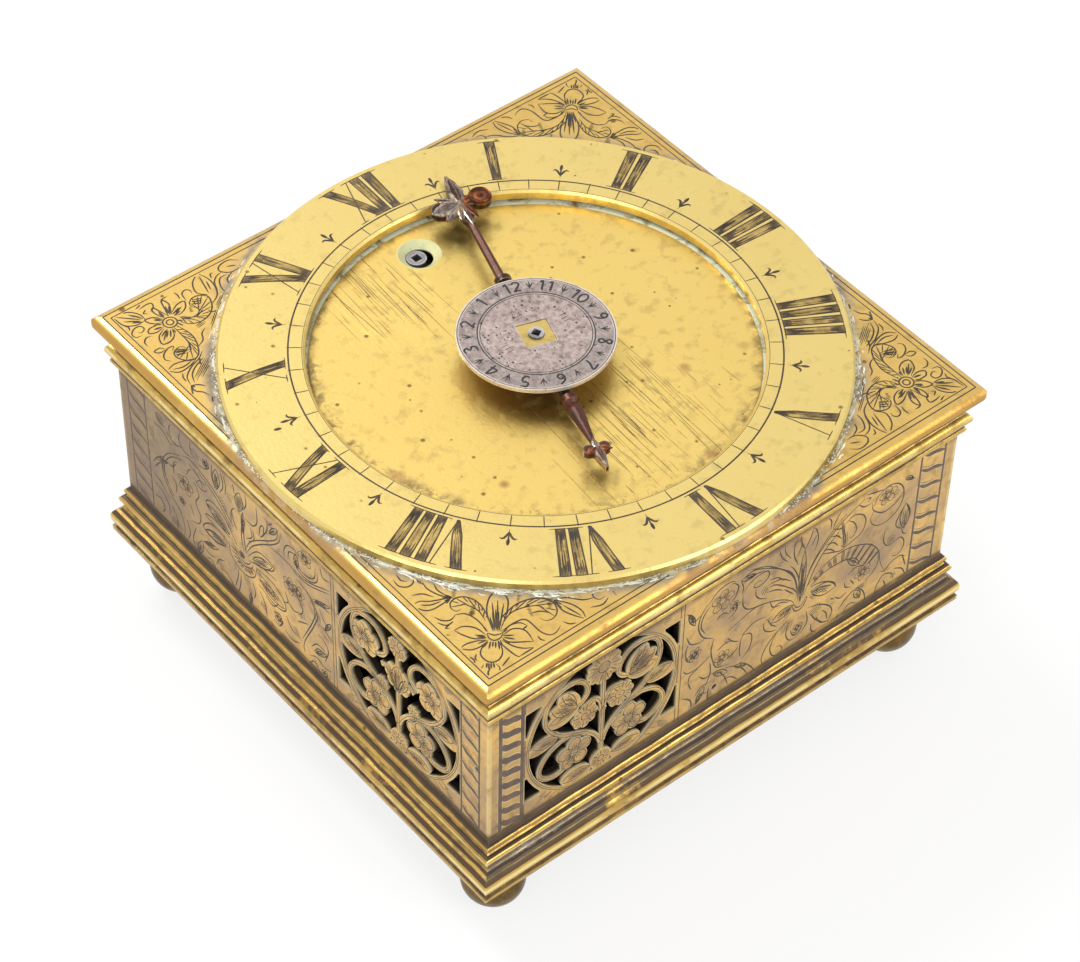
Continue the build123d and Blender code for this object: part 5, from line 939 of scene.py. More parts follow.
tulipCorner = {
    "lines": [
        [(9.4, 11.5), (8.9, 10.4), (9.3, 9.4), (10.5, 9.2), (11.5, 9.8)], [(9.4, 11.5), (10.1, 10.3), (11.5, 9.8)],
        [(8.6, 10.2), (6.9, 9.6), (5.5, 8.5), (5.3, 6.9), (5.9, 5.8), (7.1, 5.5), (8.5, 6.2), (9.4, 7.6), (9.8, 9.1)],
        [(9, 11.2), (8.5, 13.7), (7, 15.3), (5.3, 15.5)], [(5.3, 15.5), (5.8, 13.8), (6.9, 11.8), (8.7, 10.6)],
        [(8.3, 10.4), (6.6, 11.3), (4.8, 11.8), (3.5, 11.6)], [(3.5, 11.6), (4.7, 10.3), (6.4, 9.8), (8.2, 10)],
        [(11.2, 9.4), (13.4, 9.5), (14.9, 7.9), (14.5, 5)], [(14.5, 5), (11.2, 7.4), (10.7, 9)],
        [(11.5, 9.9), (13.6, 10.4), (15.3, 9.8), (15.9, 8.5)], [(15.9, 8.5), (14.7, 8.3)],
        [(10.3, 8.7), (11, 6.5), (12, 5), (13.6, 3.9)], [(13.6, 3.9), (10.5, 3.9)],
        [(9.7, 8.3), (10, 4.6), (10.7, 3.5)],
        [(10.4, 11.2), (12.3, 15.2), (14.3, 17.3), (15.8, 18), (17, 18), (17.3, 16.5), (16.8, 14.9), (14.8, 12.9),
         (11.4, 10.4)],
        [(10.7, 11), (14.5, 16.5)], [(11, 10.7), (15.6, 16.3)], [(11.2, 10.5), (15.9, 15)],
        [(9.7, 11.8), (9.9, 14.9), (9.2, 17.3), (7.4, 18.3)],
        [(11.5, 10.3), (14.7, 10.4), (16.6, 9.6), (16.8, 6.1), (17.6, 4.4), (18.9, 4.2), (20.4, 4.9)],
        [(4.5, 20.1), (5, 18.7), (6.2, 17.8), (7.6, 18.1)], [(4.1, 18.7), (4.9, 17.3), (6.3, 17.1)],
        [(6.4, 17.3), (4.4, 16.8), (5.1, 16.4)], [(5, 9), (4.1, 8.2), (4.2, 7.6)],
        [(15.8, 5.6), (15.7, 4.6), (16.2, 3.9)], [(3.3, 24.7), (4.8, 24.5), (6.2, 23.4), (9.8, 21.7)],
        [(3.3, 24.7), (3.9, 22.6), (5.6, 21.6), (9.8, 21.7)], [(4.3, 23.8), (5.7, 22.7), (7.7, 22.2)],
        [(4.6, 26.4), (6.2, 25.6), (7.3, 23.8)], [(7.9, 27.7), (7.6, 26), (8.4, 23.4), (9.8, 21.7)],
        [(9.2, 26.2), (8.8, 24.6), (9.2, 22.7)], [(4.2, 31.4), (4.1, 29.6), (5.2, 28.5), (6.6, 28.7), (7.4, 30.1)],
        [(5.4, 32), (5.2, 30.4), (6, 29.6)], [(7.9, 29.9), (7.4, 28.4), (7.8, 27)],
        [(23.2, 10.2), (22.9, 7.5), (23.7, 5.3), (24.9, 3.3)], [(24.9, 3.3), (25.5, 5.4), (24.9, 7.8), (23.2, 10.2)],
        [(23.7, 8.3), (24.7, 4.4)], [(23.6, 10.2), (25.5, 9.1), (27.2, 7.1), (29.2, 6.2)],
        [(27.1, 4.9), (29.2, 4.1), (31.1, 4.7)],
        [(32.5, 4.3), (32.7, 6.2), (31.6, 7.6), (29.8, 7.5), (29.1, 6.3), (29.6, 5.3), (30.7, 5.3)],
        [(4.5, 6.3), (3.3, 5.6), (2.8, 4.2), (3.3, 2.9), (4.9, 3.1), (6.1, 3.9), (6.2, 5.1)],
        [(3.3, 2.9), (3.8, 4.3), (4.9, 5)], [(3.3, 2.9), (4.5, 3.6)], [(3.4, 9.5), (3.8, 8.5), (3.4, 7)],
        [(9.1, 4.9), (6.7, 4)], [(4.1, 15.1), (3.2, 15.8), (2.2, 15.5)], [(14.6, 3.5), (15.5, 2.8), (16.3, 2.8)],
        [(21.3, 5.4), (21.9, 4.2), (23, 3.7)], [(18, 10.3), (19.7, 9.7), (20.8, 8.3)],
    ],
    "horns": [
        ([(11.4, 13.7), (12.3, 15.9), (12.5, 18.4), (11.6, 20.4), (10.1, 21.2), (8.7, 20.9), (8, 19.7), (8.4, 18.7),
         (9.4, 18.7)], [(10.9, 13.8), (11.4, 16.3), (10.9, 18.2), (10.3, 19.3), (9.3, 19.5)], 11),
        ([(12, 11.8), (14.2, 12.9), (17.2, 13.5), (19.7, 13.1), (21.8, 11.9), (22.8, 10), (22.2, 8), (20.6, 7),
         (19.1, 7.4), (18.7, 8.6)], [(12.4, 11.3), (15.3, 12.5), (17.8, 12.2), (19.9, 11.2), (20.7, 10),
         (20.3, 8.9)], 13),
    ],
    "rays": [
        ((8.8, 11.1), (7.4, 12.5)), ((8.7, 10.8), (7.3, 12)), ((8.3, 10.3), (6.6, 10.6)), ((8.3, 9.9), (6.7, 9.3)),
        ((8.7, 9.7), (7.3, 8.4)), ((9, 9.4), (8.1, 8.4)), ((9.3, 9.1), (8.4, 7.9)), ((9.8, 9), (8.7, 7.2)),
        ((10.1, 8.9), (9.6, 7.4)), ((11.1, 9.3), (12.8, 8.2)), ((10.9, 9), (12.3, 7.4)), ((10.6, 8.8), (11, 7.2)),
        ((11.4, 9.9), (12.7, 10)), ((9.6, 11.6), (9.8, 13.3)), ((10.6, 11.2), (12.1, 14.2)),
        ((10.8, 11.1), (13.2, 14.8)), ((11, 11), (14, 14.9)), ((11.1, 10.8), (14.1, 14.1)),
        ((11.3, 10.7), (13.7, 12.9)), ((5.2, 6.3), (4.3, 5.4)), ((5.4, 6.1), (4.4, 4.8)), ((5.7, 5.9), (4.9, 4.7)),
        ((6, 5.6), (5.4, 4.5)), ((9.8, 21.7), (9, 23.2)), ((9.8, 21.7), (8.2, 22.8)), ((9.6, 21.7), (8.1, 21.9)),
        ((9.3, 21.7), (8, 21.2)), ((23.1, 10.3), (24.2, 9)), ((23, 10.1), (23.8, 8.4)), ((23, 9.9), (23.2, 7.8)),
    ],
    "shades": [
        ((11.1, 22.9), 2.3, 0.6, 141), ((23.1, 11.1), 2.6, 0.6, 141), ((20.1, 15.7), 3.5, 0.4, 134),
        ((8.5, 30.6), 3.5, 0.4, 165), ((32.2, 8.3), 3.5, 0.4, 116), ((18.5, 11), 1.7, 0.5, 158),
        ((10.7, 17.2), 1.5, 0.5, 126),
    ],
    "circles": [],
}
roseCorner = {
    "lines": [
        [(10.5, 12.6), (9.8, 14.4), (8.3, 15.3), (6.8, 15.1), (6.8, 14.1), (7.5, 12.8), (9.4, 11.7)],
        [(9.6, 11.3), (7.8, 11.7), (6.4, 11.1), (7, 10.1), (8.9, 10.1), (9.9, 10.6)],
        [(10.3, 10.2), (8.9, 9.7), (8, 8.7), (7.8, 7.6), (9.5, 8), (10.8, 9.6)],
        [(11.2, 9.5), (10.6, 8.3), (10.3, 6.7), (10.9, 5.7), (11.9, 9.3)],
        [(12, 9.5), (13.2, 5.2), (13.9, 6.6), (12.8, 9.3)],
        [(12.8, 10), (14.1, 10.3), (15.8, 9.5), (16.6, 7.9), (14.9, 7.9), (12.7, 9.2)], [(9.8, 12.1), (7.4, 14.4)],
        [(9.1, 10.9), (7.6, 10.8)], [(10.2, 9.6), (9.1, 8.7)], [(11.3, 9), (11.1, 7.2)], [(12.4, 9), (13, 6.8)],
        [(13.4, 9.7), (15.4, 8.8)], [(8, 7.7), (5.7, 7.7), (3.9, 6.3), (3.5, 3.2)],
        [(8, 7.7), (7.9, 5.7), (6.4, 3.8), (3.5, 3.2)], [(7.4, 7.1), (4, 3.6)], [(6.6, 7.4), (5.6, 6.4)],
        [(7.4, 6.2), (6.4, 5)], [(4.3, 13.8), (4.3, 12.6), (5.3, 11.7), (6.4, 11.9)],
        [(5.4, 19.7), (4.7, 18.7), (5.3, 17.4), (6.9, 16.5), (8, 16.7), (7.1, 17.6)],
        [(6.3, 16.5), (5, 16.6), (4.3, 15.7), (5.7, 15.5), (6.4, 16.4)],
        [(5, 10.7), (3.8, 10.4), (3.7, 9.3), (4.9, 8.3), (6.2, 8.4), (6.4, 9.5), (5.4, 10), (4.9, 9.5)],
        [(9.9, 6.4), (11.1, 5.7), (11.4, 4.5), (10.2, 4.3), (8.6, 4.6)], [(9.3, 6.4), (8.6, 6), (9.6, 5.3)],
        [(12.8, 6.3), (13.4, 5), (14.8, 4.8)], [(16.3, 7), (16.6, 5.7), (16.4, 4.8)],
        [(17, 8.1), (17.4, 6.1), (18.5, 5.5), (19.2, 6.2), (19, 7)],
        [(20.2, 11.9), (22.6, 10.3), (23.7, 7.6), (23.7, 5.3), (22.9, 3.2)],
        [(22.9, 3.2), (20.7, 4.9), (19.8, 7.5), (21.2, 9.3)], [(21.6, 8.9), (22.8, 4)], [(22.4, 8.5), (23.1, 6)],
        [(3.3, 21.4), (4.9, 23), (7.2, 22.9), (9.4, 22)], [(3.3, 21.4), (5.5, 20.7), (9.2, 21.8)],
        [(4.4, 21.7), (6.2, 22.3), (8.4, 22)], [(4.6, 27), (5.3, 24.9), (7.5, 23.2), (9.8, 22.3), (11.5, 21)],
        [(5.5, 27), (6.4, 25), (8.2, 23.6), (10.6, 22.6)], [(4.5, 27.2), (4.3, 28.8), (5.3, 30), (5.7, 31.4)],
        [(4.5, 27.2), (5.8, 27.9), (6.6, 29)], [(3.3, 31.5), (3.3, 29.9), (4.5, 27.2)],
        [(4.5, 25.8), (4.6, 24.6), (5.2, 23.6)], [(11.6, 19.6), (13.3, 18.7), (14.2, 17.1), (15.5, 16.3)],
        [(18.8, 12.6), (19.1, 13.6), (20.4, 13.8)], [(24.2, 10.9), (24.4, 8.9), (25.6, 7), (27.4, 6.9)],
        [(26, 9.5), (26.7, 7.9), (28.4, 7)], [(23.3, 9.5), (24.1, 7.3), (25.4, 6.1), (26.9, 5.7)],
        [(24.3, 6), (24.8, 4.9), (25.4, 4.9)],
        [(30.1, 6.9), (28.1, 6.8), (26.7, 5.3), (27.5, 4.1), (29.7, 3.8), (31.3, 5)], [(30.2, 5.9), (28.5, 5.1)],
        [(5, 35.2), (5.3, 33.1), (6.6, 31)], [(7, 33.7), (7.6, 31.8), (9, 30.2)],
        [(9.6, 27.2), (10.6, 24.9), (12.1, 23.8)], [(4, 8.3), (4.3, 7.1), (3.5, 6.4)],
        [(8.1, 4.1), (9.4, 3.6), (9.6, 2.6)],
    ],
    "horns": [
        ([(11.6, 12.1), (12.4, 15.7), (12.1, 18.1), (11.1, 20.4), (9.9, 21.7), (8.4, 21.8), (7.4, 20.9),
         (6.7, 19.3), (7.2, 18), (8.4, 17.5), (9.3, 17.8), (9.6, 18.6)], [(11, 12.5), (10.9, 16.7), (10.5, 18.6),
         (9.8, 19.7), (9, 19.6)], 15),
        ([(12.7, 11.3), (13.3, 12.9), (14.5, 14), (16.4, 14.4), (18.7, 13.6), (20.2, 11.9), (20.9, 9.7),
         (19.8, 8.4), (18.2, 8.2), (16.9, 9.2), (17.1, 10.5), (18.3, 11)], [(13.3, 10.8), (15.6, 12.6),
         (17.2, 12.4), (18.5, 11.5)], 15),
    ],
    "rays": [
        ((10.6, 12.9), (10.4, 14)), ((10.1, 12.7), (9, 14.4)), ((9.6, 12.6), (8.3, 14.1)), ((9.4, 12.2), (7.7, 13.3)),
        ((9.4, 11.1), (7.9, 11)), ((9.8, 10.5), (8.3, 9.8)), ((10.5, 9.7), (9.3, 8.3)), ((11.1, 9.3), (10.9, 7.7)),
        ((12, 9.2), (12.6, 7.3)), ((12.4, 9.4), (13.5, 7.2)), ((12.7, 9.6), (14.9, 8.7)), ((12.9, 10), (14.6, 9.6)),
        ((12.5, 11.3), (13.4, 12.2)), ((12.1, 11.8), (12.7, 13.3)), ((7.2, 7.7), (5.5, 6.8)),
        ((7.8, 7.1), (6.8, 5.1)), ((7.2, 7.4), (4.4, 5.5)), ((7.8, 6.8), (6.1, 4.4)), ((9, 19.7), (6.9, 18.8)),
        ((9.3, 19.3), (7.2, 18.3)), ((9.4, 18.8), (7.9, 17.9)), ((19, 10.4), (17.2, 9.4)), ((19.4, 9.9), (17.5, 8.9)),
        ((19.6, 9.4), (18.2, 8.6)), ((13.4, 11.3), (15, 12.9)), ((13.9, 11.1), (14.9, 12.5)),
        ((4.5, 27.2), (5, 28.1)), ((4.5, 27.2), (4.3, 28.4)), ((9.8, 22.4), (9.2, 23.8)), ((10.1, 22.2), (9, 23.7)),
    ],
    "shades": [
        ((8.8, 25), 1, 3.6, 146), ((16, 19.4), 0.6, 5.3, 132), ((18.6, 15.4), 0.8, 3.5, 139),
        ((15.3, 15), 0.7, 1.1, 169), ((21.9, 12.1), 0.6, 2.3, 145), ((4.5, 36.4), 0.9, 2.3, 154),
        ((2.6, 28.6), 1.3, 1, 174), ((7.8, 18.1), 0.5, 1.1, 153), ((16.3, 10.6), 0.9, 0.5, 21),
    ],
    "circles": [
        ((11.2, 11), 1.4), ((11.2, 11), 0.7),
    ],
}
top = {"edge": 60.0, "ring": 60.9, "inside": 56.5, "border": [(57.96, 0.36), (56.84, 0.3)], "borderRing": 60.4,
       "corners": [(-1, -1, tulipCorner), (1, -1, roseCorner), (1, 1, tulipCorner), (-1, 1, roseCorner)]}


def inCorner(u, v):  # inside the border and clear of the hour ring
    return math.hypot(u, v) > top["ring"] and max(abs(u), abs(v)) < top["inside"]


def engraveTop():  # the corner drawings are in millimetres from the two edges
    lines = Cuts("top", clip=False, keep=inCorner)
    for signX, signY, drawing in top["corners"]:
        def at(point):
            return (signX * (top["edge"] - point[0]), signY * (top["edge"] - point[1]))
        trace(lines, lines, drawing, at, signX != signY, random.Random(17), 0.42)
    makePiece("corner_flowers", lines, waxDark)
    border = Cuts("top", clip=False, keep=lambda u, v: math.hypot(u, v) > top["borderRing"])
    for away, width in top["border"]:
        for quarter in range(4):
            border.line([turned((x, -away), quarter * math.pi / 2) for x in (-away, away)], width, taper=0.0)
    makePiece("top_border", border, waxDark)


engraveTop()
print("top corners engraved")


head = 40.2  # the middle of the hand's flat head, in mm from its centre
hand = {
    "angle": math.radians(72.0), "level": 76.45,
    "across": [(-1.0, 0.0), (-0.92, 0.3), (-0.45, 0.42), (0.0, 1.0), (0.45, 0.42), (0.92, 0.3), (1.0, 0.0)],
    "dish": [(1.0, 0.0), (1.0, 0.55), (0.9, 1.0), (0.78, 0.85), (0.55, 0.35), (0.3, 0.4), (0.16, 0.75), (0.0, 0.85)],
    "leaves": [  # name, foot, turn, length, half width, height, curl, look
        ("hand_tip_leaf", (head - 0.3, 0.0), 0, 8.6, 1.7, 0.95, 0.0, "hand_steel"),
        ("hand_left_leaf_1", (head - 0.6, 0.5), 98, 6.1, 2.2, 1.05, 0.1, "leaf_steel"),
        ("hand_left_leaf_2", (head - 0.9, 0.6), 132, 5.4, 1.3, 0.8, 0.15, "leaf_steel"),
        ("hand_left_leaf_3", (head + 0.2, 0.6), 62, 4.6, 1.1, 0.85, 0.2, "hand_steel"),
        ("hand_right_leaf", (head, -0.3), -62, 3.4, 1.0, 0.8, 0.1, "rusty_steel"),
        ("hand_bract_1", (head - 0.2, 0.2), 165, 5.6, 0.95, 0.85, 0.3, "leaf_steel"),
        ("hand_bract_2", (head - 0.2, -0.3), 197, 5.2, 0.9, 0.8, 0.3, "rusty_steel"),
        ("hand_bract_3", (head + 0.3, 0.0), 181, 7.6, 0.8, 0.95, 0.1, "leaf_steel"),
        ("tail_leaf", (-29.6, 0.0), 180, 5.4, 1.0, 0.7, 0.0, "hand_steel"),
        ("tail_left_leaf", (-30.2, 0.2), 118, 2.7, 0.8, 0.7, 0.15, "rusty_steel"),
        ("tail_right_leaf", (-30.2, -0.2), -118, 2.7, 0.8, 0.7, 0.15, "rusty_steel"),
        ("tail_foot_leaf", (-30.8, 0.0), 0, 3.2, 0.75, 0.7, 0.1, "leaf_steel"),
    ],
}


def handPiece(name, rows, finish):  # rows of points along, across and above the hand's flat head
    relief = Cuts("top")
    for k, row in enumerate(rows):
        base = len(relief.verts)
        relief.verts += [Vector((*turned((u, v), hand["angle"]), hand["level"] + z)) for u, v, z in row]
        if k:
            before = base - len(row)
            relief.polys += [(before + i, before + i + 1, base + i + 1, base + i) for i in range(len(row) - 1)]
    makePiece(name, relief, metals[finish], "hand_group")


def leafRows(foot, turn, length, half, height, curl):  # a leaf with a ridge and two cupped sides
    rows, steps = [], 10
    for k in range(steps + 1):
        share = k / steps
        wide = half * (math.sin(math.pi * min(1.0, 0.06 + 0.94 * share ** 0.75)) + 0.02)
        notch = 0.82 if k % 3 == 0 and 0 < k < steps else 1.0
        crown = height * (0.35 + 0.65 * math.sin(math.pi * share ** 0.8)) + curl * share ** 2
        row = []
        for across, up in hand["across"]:
            x, y = turned((share * length, across * wide * notch), math.radians(turn))
            row.append((foot[0] + x, foot[1] + y, max(up * crown if up else curl * share ** 2, 0.0)))
        rows.append(row)
    return rows


def dishRows(middle, radius, height):  # a round dish with a raised rim and a knob
    return [[(*polar(radius * share, math.radians(15 * i), middle), height * up) for i in range(25)]
            for share, up in hand["dish"]]


for name, *leaf, finish in hand["leaves"]:
    handPiece(name, leafRows(*leaf), finish)
handPiece("hand_dish", dishRows((head + 0.4, -4.1), 2.32, 0.8), "rusty_steel")
print("hand sculpted")


frontDrawing = {
    "lines": [
        [(16.3, 39.8), (17.1, 37.9), (18.3, 37.3), (19.4, 37.9), (20.2, 39.8)],
        [(16.9, 39.8), (17.4, 38.7), (18.3, 38.2), (19.2, 38.7), (19.6, 39.8)], [(16.9, 39.8), (16.3, 39.8)],
        [(19.6, 39.8), (20.2, 39.8)], [(17.8, 40), (17.1, 45), (15.4, 49.6), (12.7, 52.5), (8.8, 56), (3.8, 58.3)],
        [(17.4, 41.6), (16.3, 47.3), (13.7, 51.4), (10.4, 54.4), (5.4, 57.5)],
        [(18, 41.2), (17.4, 46.6), (16, 50.2), (14.8, 51.9)],
        [(18.8, 40.4), (19.8, 46.2), (22.7, 51), (27.3, 55.2), (33.1, 58.1)],
        [(18.7, 41.6), (20.4, 48.1), (24.2, 53.5), (28.5, 57.1)],
        [(19.1, 41), (21.5, 46.9), (23.5, 50), (26.9, 53.1)],
        [(16.9, 50.8), (15.6, 54.3), (15.5, 57.1), (16.3, 58.9)], [(16.5, 53.5), (17.3, 56), (16.9, 58.5)],
        [(21, 52.1), (21.5, 55.2), (20.8, 57.9), (20, 58.9)], [(20, 54.1), (21, 56.2)],
        [(18.3, 54.2), (17.3, 56.6), (16.9, 58.6)], [(18.4, 54.2), (19.5, 56.6), (20, 58.9)],
        [(14.2, 53.5), (12.5, 55.8), (11.5, 58.7)], [(14.8, 54.1), (13.3, 56.6), (12.9, 58.8)],
        [(24.6, 55.4), (24.6, 57.5), (23.8, 58.9)], [(25.2, 55), (25.8, 56.9), (26.9, 58.7)],
        [(3.3, 52.6), (4.2, 53.9), (6.2, 54.9), (8.8, 54.8), (9.5, 53.5), (8.8, 52.3), (7.2, 51.7), (5.8, 52.3),
         (6, 53.1), (7.2, 53.3), (7.8, 52.6)],
        [(3.1, 52.1), (3.4, 48.9), (5, 46.9), (7.9, 46.1)], [(6.3, 51.6), (6.5, 49.6), (7.7, 47.9), (9.4, 46.9)],
        [(9.8, 51.6), (11.9, 50.8), (13.5, 48.9)], [(9.4, 50.4), (12.7, 49.8), (15.4, 47.5)],
        [(2.3, 56.5), (5, 57.3), (7.9, 56.2)], [(3, 55.4), (5.8, 55.9), (8.3, 55.2)],
        [(2.4, 56.4), (3.1, 54.1), (2.9, 52.3)], [(9.6, 49.6), (11.5, 49.1), (14.8, 46.2)],
        [(9.2, 48.5), (11.5, 47.7), (13.5, 46.2)],
        [(27.8, 53.8), (30.4, 55.1), (32.8, 53.9), (33.9, 51.6), (33.2, 48.9), (30.8, 47.9), (28.9, 47.7),
         (27.8, 48.8)],
        [(27.5, 55.1), (28.8, 47.7)], [(27.8, 55.2), (29.3, 47.8)],
        [(29.2, 54.6), (30.8, 53), (31.6, 50.8), (30.8, 49.2), (29.8, 49.6)],
        [(23.1, 49.6), (27.8, 47.3), (29.3, 47.6)], [(25, 53), (26.5, 52.3), (27.8, 50.7)],
        [(23.9, 51.6), (25.8, 50.9), (27.1, 49.2)], [(23.3, 50.4), (25, 49.6), (26.5, 48)],
        [(35.8, 54.2), (36.5, 56.1), (38.9, 57.5), (41.6, 56.6), (43.3, 54.2), (43.5, 51.2), (42.3, 48.8),
         (40, 47.5), (37.3, 47.9), (35.6, 49.6), (35.2, 51.3), (35.8, 52.7)],
        [(35.2, 55.4), (35.5, 53.5), (36.8, 51.9), (38.8, 50.7), (41.2, 51.1), (42.8, 52.3), (43.5, 53.5)],
        [(33.4, 58.8), (37.9, 57.3)],
        [(20, 43.1), (22.3, 45), (25, 46.3), (27.7, 46.7), (30.8, 46.3), (33.8, 45), (36.5, 43), (38.5, 40),
         (39.4, 36.2), (40.8, 32.7)],
        [(20.7, 42.3), (23.8, 43.8), (26.9, 43.9), (29.6, 43.5), (31.9, 41.6), (33.5, 39.6)],
        [(20.8, 41.9), (23.1, 41.6), (25.4, 40.4), (27.1, 38.9), (27.8, 37.3)],
        [(30.8, 38.5), (32.7, 39.3), (34.8, 38.5)], [(30, 36.9), (30.4, 35.3), (31.9, 34.3)],
        [(31.5, 36.6), (32.7, 34.6)], [(38.5, 39.3), (38.7, 36.6), (37.7, 34.6), (35.8, 33.5)],
        [(39.6, 44.6), (39.6, 41.9), (40.8, 39.9), (42.7, 39.6)],
        [(44.6, 49.3), (45.8, 46.2), (45.9, 44.3), (44.8, 41.8)],
        [(44.6, 49.3), (42.8, 46.2), (42.6, 44.2), (44.2, 42.6), (45.6, 43.4)],
        [(42.1, 39.6), (44.2, 40), (45.4, 38.1), (45.1, 36.1), (43.8, 35.2), (42.6, 35.8)],
        [(44.2, 42.7), (44.8, 40.8), (45.8, 40)], [(15.8, 35.4), (15.4, 32.3), (16.5, 29.9), (18.3, 29.6)],
        [(20.4, 35.4), (20.8, 32.3), (19.7, 30.4), (18.5, 29.6)],
        [(16.5, 32.7), (17.3, 30.8), (18.3, 30.4), (19.2, 31), (19.8, 32.7)],
        [(15.4, 36.2), (12.7, 34.6), (10.4, 32.3), (9.4, 29.6), (10, 27.5)],
        [(12.7, 34.2), (11.5, 31.6), (11.9, 29.2), (13.2, 27.9), (14.7, 28.5), (14.3, 29.9), (13.1, 30.4)],
        [(20.8, 36.2), (23.8, 35), (26.5, 32.7), (27.4, 30.4), (26.5, 28)], [(21.5, 33.8), (23.1, 31.2), (25, 29.2)],
        [(24.6, 32.7), (25.8, 31.2), (26.2, 29.2)], [(23.1, 31.9), (24.6, 29.3), (26.9, 28.3)],
        [(21.9, 30.8), (22.3, 28.5), (23.8, 27.3)], [(9.6, 41.5), (6.9, 42.1), (4.3, 40.8), (3.5, 39.2)],
        [(3.8, 40.4), (5.8, 39.6), (6.4, 37.7), (5.8, 35), (4.2, 33.4)], [(3.5, 39.6), (3.4, 36.2), (3.8, 34.3)],
        [(3.8, 32.7), (5.8, 30.7), (7.3, 28.5), (8.1, 26.6)], [(9, 40), (9.6, 37.6), (11.2, 36.2), (12.8, 35.6)],
        [(10.1, 40.4), (11.2, 38.1), (12.7, 36.6)], [(13.8, 46.2), (16.5, 43)],
        [(14.2, 46.6), (16.2, 44.6), (17.3, 42.6)],
        [(0, 44.3), (5.8, 46.1), (8.5, 45.8), (11.5, 44.6), (14.2, 43), (16.2, 41.2), (16.8, 39.9)],
        [(0, 42.3), (1.5, 40.4), (3.1, 39.3)], [(0, 36.2), (1.5, 36.6), (2.9, 37.7)],
        [(0, 33.9), (2.3, 32.7), (4.6, 30.4), (6.2, 27.3)], [(0, 30.8), (1.9, 30), (3.5, 28.1)],
        [(10.4, 45), (11.2, 43.1), (13.1, 42.3)], [(10.8, 42.3), (12.7, 43.1), (15.4, 41.6)],
        [(29.2, 29.6), (30.8, 31.6), (33.1, 32.7), (35.4, 32.3)],
        [(33.5, 33.1), (35.4, 30.8), (36.2, 28.5), (36.2, 26.9)],
        [(38.8, 26.9), (39.2, 29.6), (40.8, 31.6), (43.1, 30.4), (43.7, 28.5)],
        [(39.6, 33.5), (40.8, 32.7), (42.3, 33.9), (44.6, 34.4), (46.5, 33.1)],
        [(27.7, 34.3), (29.2, 33), (30.8, 33.5)], [(29.2, 28.5), (28.8, 27.1)],
        [(43.5, 31.6), (45.8, 30), (46.9, 27.7)], [(30, 27.3), (31.9, 29.3), (33.8, 28.5)],
        [(27.7, 33.9), (26.5, 34.6)], [(21.5, 40), (23.8, 40), (26.5, 38.5)], [(45.4, 34.3), (46.7, 30.4)],
        [(40.8, 30), (41.5, 28.5), (41.2, 26.9)], [(0, 51.6), (1.2, 53.1), (1.8, 55.4), (0.8, 56.9), (0, 57.3)],
        [(0, 47.7), (1.5, 48.9), (1.8, 50.8), (0.8, 51.9)], [(33.8, 56.6), (34.6, 57.3), (33.5, 57.7)],
        [(31.5, 57.3), (33.1, 55.8), (34.8, 55.6)], [(28.5, 53.5), (26.9, 53.9), (25.4, 54.8)],
        [(43.8, 56.9), (45, 55.4), (46.2, 55.2)],
    ],
    "leaves": [
        ((18.3, 39.6), (18.3, 54), 0.8, 6), ((6.3, 55.8), (2.3, 56.5), 0.6, 3), ((44.9, 42), (44.6, 49.2), 1.3, 4),
        ((21, 40.6), (27.7, 37.4), 1.6, 5), ((30, 43.5), (33.5, 39.6), 0.8, 3), ((16.5, 40), (11.2, 38.5), 1.2, 4),
        ((5.8, 30.7), (2.3, 32.7), 0.5, 2), ((34.8, 29.3), (33.1, 32.3), 0.8, 3),
        ((45.8, 55.4), (43.5, 56.8), 0.5, 2),
    ],
    "ribs": [
        ((25, 46.3), (25.8, 43.9)), ((26.5, 46.6), (26.9, 43.9)), ((28.7, 46.6), (28.8, 43.6)),
        ((30.6, 46.3), (29.7, 43.5)), ((32.7, 45.6), (30.8, 42.7)), ((34.4, 44.6), (32.1, 41.5)),
        ((36.2, 43.3), (33.1, 40)), ((37.5, 41.8), (34.8, 38.5)), ((38.5, 40), (36, 38.1)),
        ((23.1, 45.3), (23.5, 43.7)), ((21.5, 44.4), (22.1, 43)),
    ],
    "flowers": [
        ((39.3, 54.9), 2.2, 5, 20), ((1.2, 50.4), 1.3, 5, 0), ((34.8, 36.6), 2, 5, 40), ((18.3, 32.3), 1.2, 4, 45),
    ],
    "shades": [
        ((18.3, 47.7), 0.6, 4.6, 90), ((15.4, 34.6), 1.7, 1.9, 60), ((22.8, 34.2), 1.7, 1.9, 120),
        ((22, 39.2), 1.3, 1.5, 130), ((15.4, 38.5), 1, 1.5, 50), ((8.7, 49.3), 1, 1.5, 110),
        ((7.9, 44.6), 0.8, 1.2, 60), ((28.7, 50), 1, 2.3, 95), ((38.5, 55.4), 1.4, 1.2, 20),
        ((41.5, 53.9), 1.2, 1, 140), ((43.8, 43.9), 0.9, 0.9, 30), ((41.6, 41.1), 1.5, 1.3, 20),
        ((34.2, 38.5), 1.5, 0.7, 160), ((37, 40.4), 1.1, 0.7, 140), ((20.8, 57.7), 1.2, 0.8, 90),
        ((16.5, 57.7), 0.9, 0.8, 90), ((23.1, 43.9), 0.9, 0.8, 70), ((35.4, 58.5), 1.2, 0.7, 20),
        ((34.6, 32.3), 1.3, 1.1, 60), ((12.7, 54.8), 1.9, 0.9, 140), ((43.5, 29.6), 0.9, 1.3, 110),
        ((18.1, 30.8), 0.9, 0.9, 90), ((2.3, 43.9), 1.2, 0.8, 150),
    ],
}
